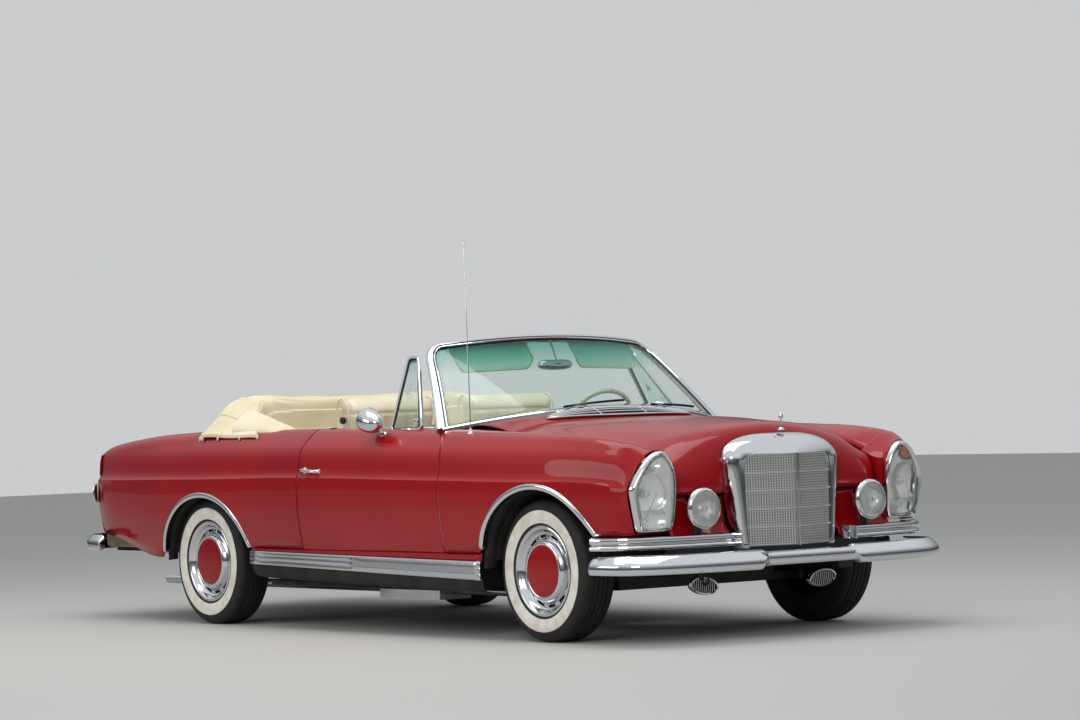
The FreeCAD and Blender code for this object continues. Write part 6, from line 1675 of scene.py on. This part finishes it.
def rounded_loop(profile, radius, count=96):
    """A closed side profile with its corners rounded, by an even walk and a circular average."""
    profile = np.asarray(profile, float)
    closed = np.concatenate([profile, profile[:1]])
    length = np.concatenate([[0], np.cumsum(np.linalg.norm(np.diff(closed, axis=0), axis=1))])
    even = np.linspace(0, length[-1], 4 * count, endpoint=False)
    walk = np.stack([np.interp(even, length, closed[:, k]) for k in (0, 1)], 1)
    window = max(int(radius / length[-1] * 4 * count), 1)
    smooth = sum(np.roll(walk, k, 0) for k in range(-window, window + 1)) / (2 * window + 1)
    return smooth[::4]


def pad_form(profile, low_y, high_y, edge, radius=0.03):
    """A closed pad: the side profile drawn in by a quarter round near both ends."""
    loop = rounded_loop(profile, radius)
    ahead = np.roll(loop, -1, 0) - np.roll(loop, 1, 0)
    normal = np.stack([ahead[:, 1], -ahead[:, 0]], 1) / np.linalg.norm(ahead, axis=1)[:, None]
    centre = loop.mean(0)
    normal *= np.sign(np.sum(normal * (loop - centre)))
    angle = np.linspace(0, np.pi / 2, 6)
    inset = edge * (1 - np.sin(angle))
    reach = edge * (1 - np.cos(angle))
    middle = np.linspace(low_y + edge, high_y - edge, 12)[1:-1]
    y = np.concatenate([low_y + reach, middle, high_y - reach[::-1]])
    inset = np.concatenate([inset, np.zeros(10), inset[::-1]])
    rows = loop[None] - normal[None] * inset[:, None, None]
    points = np.stack([rows[..., 0], np.broadcast_to(y[:, None], rows.shape[:2]), rows[..., 1]], -1)
    return points, capped(len(y), len(loop))


def finer(piece):
    """One round of subdivision, for a pad whose points are set."""
    step = piece.modifiers.new("finer", "SUBSURF")
    step.levels = 1
    step.render_levels = 1


def upholstered(name, form, seams, voxel=0.009):
    """A hide pad blown up as cloth by its own pressure, no point moving further than the swell, then
    drawn in by its seams: they give the depth to take off at each point and normal."""
    piece = make(name, *form, leather, outward=True)
    remesh = piece.modifiers.new("remesh", "REMESH")
    remesh.mode = "VOXEL"
    remesh.voxel_size = voxel
    piece.data = bpy.data.meshes.new_from_object(piece.evaluated_get(bpy.context.evaluated_depsgraph_get()))
    piece.modifiers.clear()
    before = read(piece.data)
    after = before
    swell = piece.modifiers.new("swell", "CLOTH")
    swell.settings.use_pressure = True
    swell.settings.uniform_pressure_force = 4.0
    swell.settings.effector_weights.gravity = 0.0
    swell.point_cache.frame_start = 1
    swell.point_cache.frame_end = 20
    for step in range(1, 21):
        bpy.context.scene.frame_set(step)
    after = read(piece.evaluated_get(bpy.context.evaluated_depsgraph_get()).data)
    piece.modifiers.clear()
    bpy.context.scene.frame_set(1)
    move = after - before
    far = np.linalg.norm(move, axis=1)[:, None]
    after = before + move * np.minimum(1, SWELL_MOST / np.maximum(far, 1e-9))
    normals = read(piece.data, "normal")
    after = after - normals * seams(after, normals)[:, None]
    piece.data.vertices.foreach_set("co", after.ravel())
    piece.data.update()
    piece.data.shade_smooth()
    if piece.data.materials[:] != [leather]:
        piece.data.materials.clear()
        piece.data.materials.append(leather)
    finer(piece)
    return piece


def channels(position, low, high, pitch, depth):
    """Depth of the stitched channels that run square to the position, between two limits."""
    inside = ease((position - low) / 0.01) * ease((high - position) / 0.01)
    return inside * depth * (1 - np.abs(np.sin(np.pi * (position - low) / pitch)) ** 0.5)


def copied(piece, name):
    """The mirror image of a pad on the other side of the car."""
    mesh = piece.data.copy()
    mesh.vertices.foreach_set("co", (read(mesh) * (1, -1, 1)).ravel())
    mesh.flip_normals()
    twin = bpy.data.objects.new(name, mesh)
    bpy.context.scene.collection.objects.link(twin)
    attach(twin, "car_body")
    finer(twin)


# Front seats: cushion and backrest with sewn channels inside a plain border
SWELL_MOST = 0.012
SEAT_Y = (0.105, 0.610)
SEAT_CUSHION = [(-0.155, 0.305), (0.330, 0.305), (0.342, 0.420), (0.305, 0.476), (-0.155, 0.442)]
SEAT_BACK = [(-0.160, 0.310), (-0.130, 0.460), (-0.176, 0.930), (-0.168, 1.010), (-0.178, 1.070),
             (-0.220, 1.102), (-0.284, 1.094), (-0.304, 1.050), (-0.254, 0.340)]
CHANNEL = 0.058
seat_low, seat_high = SEAT_Y[0] + 0.075, SEAT_Y[1] - 0.075


def cushion_seams(points, normals):
    """Fore and aft channels on the cushion's top, and a seam round them."""
    within = ease((0.27 - points[:, 0]) / 0.01) * ease((points[:, 0] + 0.10) / 0.01)
    top = np.clip(normals[:, 2], 0, 1) * within
    border = np.exp(-((points[:, 0] - 0.275) / 0.006) ** 2) * np.clip(normals[:, 2], 0, 1)
    return top * channels(points[:, 1], seat_low, seat_high, CHANNEL, 0.009) + 0.006 * border


def back_seams(points, normals):
    """Upright channels on the backrest's front, closed by a seam under the rolled top."""
    within = ease((1.005 - points[:, 2]) / 0.01) * ease((points[:, 2] - 0.48) / 0.01)
    front = np.clip(normals[:, 0], 0, 1) * within
    roll = np.exp(-((points[:, 2] - 1.015) / 0.007) ** 2) * np.clip(np.abs(normals[:, 0]) + 0.3, 0, 1)
    return front * channels(points[:, 1], seat_low, seat_high, CHANNEL, 0.009) + 0.007 * roll


pad_y = (SEAT_Y[0] + 0.008, SEAT_Y[1] - 0.008)
seat_cushion = upholstered("seat_cushion_left", pad_form(SEAT_CUSHION, *pad_y, 0.035), cushion_seams)
seat_back = upholstered("seat_back_left", pad_form(SEAT_BACK, *pad_y, 0.035, 0.02), back_seams)
copied(seat_cushion, "seat_cushion_right")
copied(seat_back, "seat_back_right")
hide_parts("front_seats")
for name, side in SIDES:
    base, faces = block((-0.15, 0.135, 0.226), (0.315, 0.580, 0.318))
    base[faces[0], 0] += 0.03
    frame_piece = make(f"seat_base_{name}", mirrored(base, side), faces, black_enamel, smooth=False,
                       outward=True)
    bevelled(frame_piece, 0.012)
    # Oval side panel with piping at the top of the backrest, and its dark knob
    turn = np.linspace(0, 2 * np.pi, 48, endpoint=False)
    centre = np.array([-0.243, 0.0, 1.010])
    ring = centre + np.stack([0.050 * np.cos(turn) - 0.008 * np.sin(turn), 0 * turn, 0.078 * np.sin(turn)], 1)
    for face, y in (("outer", SEAT_Y[1] + 0.001), ("inner", SEAT_Y[0] - 0.001)):
        loop = ring + (0, side * y, 0)
        sweep(f"seat_piping_{face}_{name}", loop, circle(0.004, 8), leather, closed=True, up=(0, side, 0))
    lathe(f"seat_knob_{name}", [(0, 0), (0.016, 0.0), (0.018, 0.008), (0.015, 0.016), (0, 0.018)],
          (-0.240, side * 0.606, 0.985), (0, side, 0), dash_hide, segments=28)

# Rear seat: cushion and back with channels and a fold-out armrest line
REAR_CUSHION = [(-0.895, 0.345), (-0.620, 0.340), (-0.482, 0.355), (-0.464, 0.470), (-0.505, 0.508),
                (-0.875, 0.488)]
REAR_BACK = [(-0.978, 0.490), (-0.892, 0.490), (-0.944, 0.912), (-0.985, 0.924), (-1.030, 0.914),
             (-1.050, 0.490)]


def rear_cushion_seams(points, normals):
    """Fore and aft channels either side of the middle."""
    top = np.clip(normals[:, 2], 0, 1) * ease((-0.54 - points[:, 0]) / 0.01)
    return top * channels(np.abs(points[:, 1]), 0.110, 0.520, CHANNEL, 0.009)


def rear_back_seams(points, normals):
    """Upright channels either side of the armrest, and the armrest's outline."""
    front = np.clip(normals[:, 0], 0, 1)
    upright = channels(np.abs(points[:, 1]), 0.110, 0.520, CHANNEL, 0.009)
    upright *= ease((0.850 - points[:, 2]) / 0.01)
    return front * (upright + 0.006 * np.exp(-((points[:, 2] - 0.862) / 0.007) ** 2))


rear_cushion = upholstered("rear_cushion", pad_form(REAR_CUSHION, -0.610, 0.610, 0.035), rear_cushion_seams,
                           0.011)
upholstered("rear_back", pad_form(REAR_BACK, -0.610, 0.610, 0.030, 0.02), rear_back_seams, 0.011)
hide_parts("rear_seat")

# Side trims beside the rear seat, and carpet over the floor and the tunnel
for name, side in SIDES:
    x, z = np.meshgrid(np.linspace(-0.195, -1.165, 97), np.linspace(0.0, 1.0, 19), indexing="ij")
    centre, base, half, height = REAR_ARCH
    arch = base + (height + 0.02) * np.sqrt(np.clip(1 - ((x - centre) / (half + 0.02)) ** 2, 0, 1))
    floor = np.maximum(0.405, np.where(np.abs(x - centre) < half + 0.02, arch, 0))
    z = floor + (0.926 - floor) * z
    flutes = 0.004 * ease((z - 0.70) / 0.03) * ease((0.86 - z) / 0.03)
    y = 0.700 - 0.003 + flutes * (1 - np.abs(np.sin(np.pi * x / 0.042)) ** 0.6)
    trim = grid(f"rear_trim_{name}", mirrored(np.stack([x, y, z], -1), side), leather, thick=-0.010,
                flip=side > 0)
    sweep(f"rear_trim_strip_{name}",
          [(x, side * 0.698, TRIM_STRIP_Z + 0.11) for x in np.linspace(-0.20, -1.16, 9)], circle(0.005, 8),
          chrome)
    # Sealed wall of the wheel house behind the trim
    x, z = np.meshgrid(np.linspace(-0.60, -1.60, 41), np.linspace(0.0, 1.0, 9), indexing="ij")
    arch = base + (height + 0.012) * np.sqrt(np.clip(1 - ((x - centre) / half) ** 2, 0, 1))
    z = np.maximum(arch, 0.36) + (0.84 - np.maximum(arch, 0.36)) * z
    grid(f"wheel_house_wall_{name}", mirrored(np.stack([x, np.full_like(x, 0.716), z], -1), side),
         underseal, thick=0.002, flip=side > 0)
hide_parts("rear_side_trims")
x, y = np.meshgrid(np.linspace(0.862, -0.600, 59), np.linspace(-0.640, 0.640, 81), indexing="ij")
hump = ease((0.128 - np.abs(y)) / 0.028)
toe = 0.09 * ease((x - 0.70) / 0.16)
grid("carpet_front", np.stack([x, y, 0.2285 + (0.352 - 0.2285) * hump + toe * (1 - hump)], -1), carpet,
     thick=0.008)
for name, side in SIDES:
    sweep(f"sill_tread_{name}", [(x, side * 0.745, 0.402) for x in np.linspace(0.90, -0.15, 15)],
          [(-0.030, 0), (-0.028, 0.003), (0.028, 0.003), (0.030, 0)], bright_trim)


# Dashboard: padded top with a rolled edge, walnut face, dials before the driver, glove box
DASH_TOP = [(0.862, 0.966), (0.800, 0.961), (0.740, 0.950), (0.708, 0.936), (0.696, 0.918), (0.700, 0.902),
            (0.714, 0.893)]
DASH_FACE = [(0.714, 0.893), (0.716, 0.850), (0.720, 0.806)]
DASH_FOOT = [(0.720, 0.806), (0.712, 0.798), (0.716, 0.786), (0.764, 0.744), (0.862, 0.742)]
DASH_HALF = 0.648
dash_y = np.linspace(-DASH_HALF, DASH_HALF, 65)


def dash_bow(y):
    """The dashboard curves towards the cabin at its middle, with the square of y."""
    return 0.010 * (y / DASH_HALF) ** 2


def dash_row(table, count):
    """The rows of one band of the dashboard."""
    line = through(table, count)
    return np.stack(np.broadcast_arrays(line[:, :1] + dash_bow(dash_y), dash_y, line[:, 1:]), -1)


dash_top = grid("dash_top", dash_row(DASH_TOP, 25), dash_hide, thick=0.003, flip=True)
grid("dash_face", dash_row(DASH_FACE, 9), walnut, thick=0.003, flip=True)
grid("dash_foot", dash_row(DASH_FOOT, 17), dash_hide, thick=0.003, flip=True)
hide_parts("dashboard")
for part, x, z in (("low", 0.719, 0.803), ("high", 0.713, 0.895)):
    sweep(f"dash_strip_{part}", np.column_stack([x + dash_bow(dash_y), dash_y, np.full(65, z)]),
          circle(0.0028, 8), chrome)
dial_ink, tree, shader = finish("dial_black", "dash_leather", "#101010", roughness=0.35)
tint(tree, shader, "#0C0C0C", "#161616", 0.02)
dial_white, tree, shader = finish("dial_marking", "ivory", "#E8E4D6", roughness=0.4)
tint(tree, shader, "#E2DDCC", "#F0ECE0", 0.02)
AHEAD = np.array([-1.0, 0.0, 0.03])
for name, y, radius in (("speed", 0.275, 0.036), ("gauge", 0.425, 0.036), ("clock", 0.0, 0.026)):
    centre = np.array([0.711, y, 0.851])
    lathe(f"dial_face_{name}", [(0, 0.0), (radius, 0.0), (radius, 0.004), (0.4 * radius, 0.0045),
          (0, 0.0045)], centre, AHEAD, dial_ink, segments=40)
    lathe(f"dial_bezel_{name}", [(radius - 0.002, 0.001), (radius + 0.004, 0.001), (radius + 0.004, 0.007),
          (radius + 0.001, 0.011), (radius - 0.002, 0.008)], centre, AHEAD, chrome, segments=40, close=True)
    ticks = []
    for turn in np.radians(np.linspace(-40, 220, 14)):
        along = np.array([0, math.cos(turn), math.sin(turn)])
        wide = np.array([0, -math.sin(turn), math.cos(turn)]) * 0.0007
        middle = centre + AHEAD * 0.0050
        inner, outer = middle + along * radius * 0.76, middle + along * radius * 0.93
        corners = [inner - wide, inner + wide, outer + wide, outer - wide]
        ticks.append((corners, np.array([(0, 1, 2, 3)])))
    points, faces = joined(ticks)
    make(f"dial_ticks_{name}", points, faces, dial_white, smooth=False)
    needle = [centre + AHEAD * 0.006 + np.array([0, math.cos(2.3), math.sin(2.3)]) * radius * s
              for s in (-0.15, 0.3, 0.85)]
    sweep(f"dial_needle_{name}", needle, circle(0.0009, 6), dial_white, up=(-1, 0, 0))
for number, y in enumerate((0.16, 0.52, -0.10, -0.16)):
    lathe(f"dash_knob_{number}", [(0, 0), (0.006, 0.0), (0.005, 0.010), (0.010, 0.013), (0.010, 0.020),
          (0, 0.022)], (0.716, y, 0.822), AHEAD, ivory, segments=20)
# Glove box outline and its button, and an air outlet at each end
lid_loop = [(0.7135, -0.25, 0.882), (0.7135, -0.52, 0.882), (0.7175, -0.52, 0.816), (0.7175, -0.25, 0.816)]
loop = np.concatenate([np.linspace(lid_loop[i], lid_loop[(i + 1) % 4], 9)[:-1] for i in range(4)])
loop[:, 0] += dash_bow(loop[:, 1])
sweep("glove_box_line", loop, circle(0.0016, 6), chrome, closed=True, up=(-1, 0, 0))
lathe("glove_box_button", [(0, 0), (0.010, 0), (0.009, 0.008), (0, 0.010)], (0.716, -0.385, 0.872), AHEAD,
      chrome, segments=24)
for name, side in SIDES:
    centre = np.array([0.722, side * 0.595, 0.851])
    lathe(f"dash_outlet_{name}", [(0.020, 0.0), (0.026, 0.0), (0.026, 0.008), (0.022, 0.010),
          (0.020, 0.006)], centre, AHEAD, chrome, segments=32, close=True)
    for number, z in enumerate((-0.010, 0.0, 0.010)):
        half = math.sqrt(0.021 ** 2 - z ** 2)
        sweep(f"dash_outlet_vane_{number}_{name}", [centre + (-0.004, y, z) for y in (-half, 0, half)],
              circle(0.0016, 6), dial_ink)

# Steering wheel in its own plane, then turned to the column: ivory rim with finger grips on its
# inner side, two spokes, a bright horn ring and a plain boss
WHEEL_HUB = np.array([0.5, 0.35, 0.9])
RAKE = math.radians(25)
COLUMN = np.array([math.cos(RAKE), 0.0, -math.sin(RAKE)])
WHEEL_UP = np.array([math.sin(RAKE), 0.0, math.cos(RAKE)])
WHEEL_LEFT = np.array([0.0, 1.0, 0.0])


def on_wheel(y, up, back=0.0):
    """Points on the wheel's plane, lifted towards the driver."""
    y, up, back = np.broadcast_arrays(np.asarray(y, float), np.asarray(up, float), np.asarray(back, float))
    return WHEEL_HUB + y[..., None] * WHEEL_LEFT + up[..., None] * WHEEL_UP - back[..., None] * COLUMN


around = np.linspace(0, 2 * np.pi, 192, endpoint=False)[:, None]
tube = np.linspace(0, 2 * np.pi, 14, endpoint=False)[None]
grip = 0.0018 * np.cos(48 * around) * np.clip(-np.cos(tube), 0, 1)
thickness = 0.0105 + grip
rim_radius = 0.2045 + thickness * np.cos(tube)
rim_points = on_wheel(rim_radius * np.sin(around), rim_radius * np.cos(around), thickness * np.sin(tube))
rim_piece = make("steering_rim", rim_points, quads(192, 14, True, True), ivory, "steering_wheel",
                 outward=True)
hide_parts("steering_wheel")
for number, y in enumerate((1, -1)):
    s = np.linspace(0.03, 1, 15)
    line = on_wheel(0.197 * y * s, -0.197 * 0.28 * s ** 1.6, 0.004 - 0.030 * (1 - s) ** 1.5)
    widths = 0.020 - 0.009 * np.sin(np.pi * s)
    rows = np.stack([line + w * widths[:, None] * WHEEL_UP - b * COLUMN for w, b in
                     ((-1, 0), (-0.6, 0.005), (0.6, 0.005), (1, 0), (0.6, -0.005), (-0.6, -0.005))], 1)
    make(f"steering_spoke_{number}", rows, capped(15, 6), ivory, "steering_wheel", outward=True)
turn = np.linspace(0, 2 * np.pi, 64, endpoint=False)
sweep("horn_ring", on_wheel(0.125 * np.sin(turn), 0.125 * np.cos(turn), -0.010), circle(0.0038, 10), chrome,
      "steering_wheel", closed=True, up=-COLUMN)
for number, y in enumerate((1, -1)):
    sweep(f"horn_ring_arm_{number}", on_wheel(np.array([0.03, 0.08, 0.125]) * y, 0.0,
          np.array([-0.016, -0.012, -0.010])), circle(0.0034, 8), chrome, "steering_wheel", up=-COLUMN)
lathe("steering_boss", [(0, -0.034), (0.036, -0.034), (0.042, -0.020), (0.040, 0.000), (0.030, 0.008),
      (0, 0.010)], WHEEL_HUB, -COLUMN, ivory, "steering_wheel", segments=48)
lathe("steering_boss_ring", [(0.0335, 0.004), (0.038, 0.001), (0.0385, 0.006), (0.034, 0.009)], WHEEL_HUB,
      -COLUMN, chrome, "steering_wheel", segments=48, close=True)
column_line = WHEEL_HUB + np.linspace(0.036, 0.30, 12)[:, None] * COLUMN
shroud = sweep("column_shroud", column_line, circle(0.027, 24) * (1.0, 1.1), dash_hide)
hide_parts("steering_column")
stalk = WHEEL_HUB + 0.07 * COLUMN + np.array([(0, 0.02, 0.005), (-0.01, 0.09, 0.03), (-0.02, 0.150, 0.045)])
sweep("turn_stalk", stalk, circle(0.0045, 10), chrome)
lathe("turn_stalk_knob", [(0, -0.004), (0.008, 0.0), (0.010, 0.012), (0.006, 0.022), (0, 0.024)], stalk[-1],
      (-0.1, 0.9, 0.2), ivory, segments=20)

# Black catch on each cabin side, and pedals below the dash
for name, side in SIDES:
    catch = [(x, side * 0.742, z) for x, z in ((-0.155, 0.934), (-0.150, 0.948), (-0.110, 0.950),
             (-0.085, 0.938))]
    sweep(f"lock_button_{name}", catch, [(-0.012, -0.004), (-0.008, 0.004), (0.008, 0.004),
          (0.012, -0.004)], black_enamel, f"door_{name}")
for name, y, z in (("clutch", 0.46, 0.36), ("brake", 0.36, 0.36), ("throttle", 0.25, 0.34)):
    pedal, faces = block((0.735, y - 0.028, z - 0.022), (0.752, y + 0.028, z + 0.022))
    pedal[pedal[:, 2] > z, 0] += 0.02
    bevelled(make(f"pedal_{name}", pedal, faces, seal_rubber, slot="dash_leather", smooth=False,
             outward=True), 0.005)
    sweep(f"pedal_arm_{name}", [(0.758, y, z), (0.790, y, z + 0.15), (0.840, y, 0.74)], circle(0.006, 8),
          black_enamel)

# Finishes of the solids that show as they are: under the car, in the engine bay and behind the doors
CARRIED = {
    "floor_pan": underseal, "wheel_houses": underseal, "engine_bay": black_enamel, "engine_block": cast_iron,
    "exhaust": bright_trim, "front_axle": black_enamel, "rear_axle": black_enamel, "knuckle_left": cast_iron,
    "knuckle_right": cast_iron, "hinge_posts": paint,
}
for node, material in CARRIED.items():
    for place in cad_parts[node].material_slots:
        place.material = material

# Camera, studio and floor
yaw, pitch, roll = math.radians(143.269), math.radians(0.695), math.radians(-1.873)
ahead = Vector((math.cos(pitch) * math.cos(yaw), math.cos(pitch) * math.sin(yaw), math.sin(pitch)))
right = ahead.cross(Vector((0, 0, 1))).normalized()
above = right.cross(ahead)
across = math.cos(roll) * right + math.sin(roll) * above
upward = math.cos(roll) * above - math.sin(roll) * right
camera = bpy.data.objects.new("camera", bpy.data.cameras.new("camera"))
camera.data.lens = 120.0
camera.data.sensor_width = 36.0
camera.data.clip_end = 200.0
camera.matrix_world = Matrix(((across.x, upward.x, -ahead.x, 14.107), (across.y, upward.y, -ahead.y, -10.134),
                              (across.z, upward.z, -ahead.z, 1.035), (0, 0, 0, 1)))
bpy.context.scene.collection.objects.link(camera)
bpy.context.scene.camera = camera
bpy.context.scene.view_settings.view_transform = "Standard"

floor_mesh = bpy.data.meshes.new("floor")
floor_mesh.from_pydata([(-30, -30, 0), (30, -30, 0), (30, 30, 0), (-30, 30, 0)], [], [(0, 1, 2, 3)])
floor = bpy.data.objects.new("floor", floor_mesh)
bpy.context.scene.collection.objects.link(floor)

# Pale studio floor, matt
floor_paint, tree, shader = finish("studio_floor", None, "#BFBEBA", roughness=0.8)
floor_mesh.materials.append(floor_paint)

world = bpy.data.worlds.new("studio")
bpy.context.scene.world = world
world.use_nodes = True
tree = world.node_tree
tree.nodes.clear()
# Reflections see a pale upper sky and a darker band near the horizon, everything else a plain studio
light_path = add(tree, "ShaderNodeLightPath")
place = add(tree, "ShaderNodeTexCoord")
split = add(tree, "ShaderNodeSeparateXYZ", {}, {"Vector": place.outputs["Generated"]})
ramp = add(tree, "ShaderNodeValToRGB", {}, {"Fac": split.outputs[2]})
ramp.color_ramp.elements[0].position = 0.0
ramp.color_ramp.elements[0].color = srgb("#45484B")
ramp.color_ramp.elements[1].position = 0.6
ramp.color_ramp.elements[1].color = srgb("#F4F6F8")
middle = ramp.color_ramp.elements.new(0.12)
middle.color = srgb("#7C8287")
seen = add(tree, "ShaderNodeBackground", {"Color": srgb("#D9DBDC"), "Strength": 0.85})
mirrored_sky = add(tree, "ShaderNodeBackground", {"Strength": 0.9}, {"Color": ramp.outputs[0]})
sky_light = add(tree, "ShaderNodeBackground", {"Color": srgb("#E8ECF0"), "Strength": 0.55})
glossy_or_not = add(tree, "ShaderNodeMixShader", {}, {0: light_path.outputs["Is Glossy Ray"],
                                                    1: sky_light.outputs[0], 2: mirrored_sky.outputs[0]})
straight_rays = add(tree, "ShaderNodeMath", {"operation": "MAXIMUM"},
                    {0: light_path.outputs["Is Camera Ray"], 1: light_path.outputs["Is Transmission Ray"]})
both = add(tree, "ShaderNodeMixShader", {}, {0: straight_rays.outputs[0], 1: glossy_or_not.outputs[0],
                                             2: seen.outputs[0]})
add(tree, "ShaderNodeOutputWorld", {}, {"Surface": both.outputs[0]})


def lamp(name, where, aim, size, power):
    """A square area lamp aimed at a point."""
    light = bpy.data.lights.new(name, "AREA")
    light.shape = "RECTANGLE"
    light.size, light.size_y = size
    light.energy = power
    holder = bpy.data.objects.new(name, light)
    holder.location = where
    holder.rotation_euler = (Vector(aim) - Vector(where)).to_track_quat("-Z", "Y").to_euler()
    bpy.context.scene.collection.objects.link(holder)


lamp("overhead", (0.5, -1.0, 6.5), (0, 0, 0.5), (7.0, 4.0), 260)
lamp("key", (7.0, -6.5, 4.5), (0.5, 0, 0.7), (3.0, 3.0), 190)
lamp("side_fill", (-3.0, -8.0, 3.0), (0, 0, 0.7), (5.0, 2.5), 90)
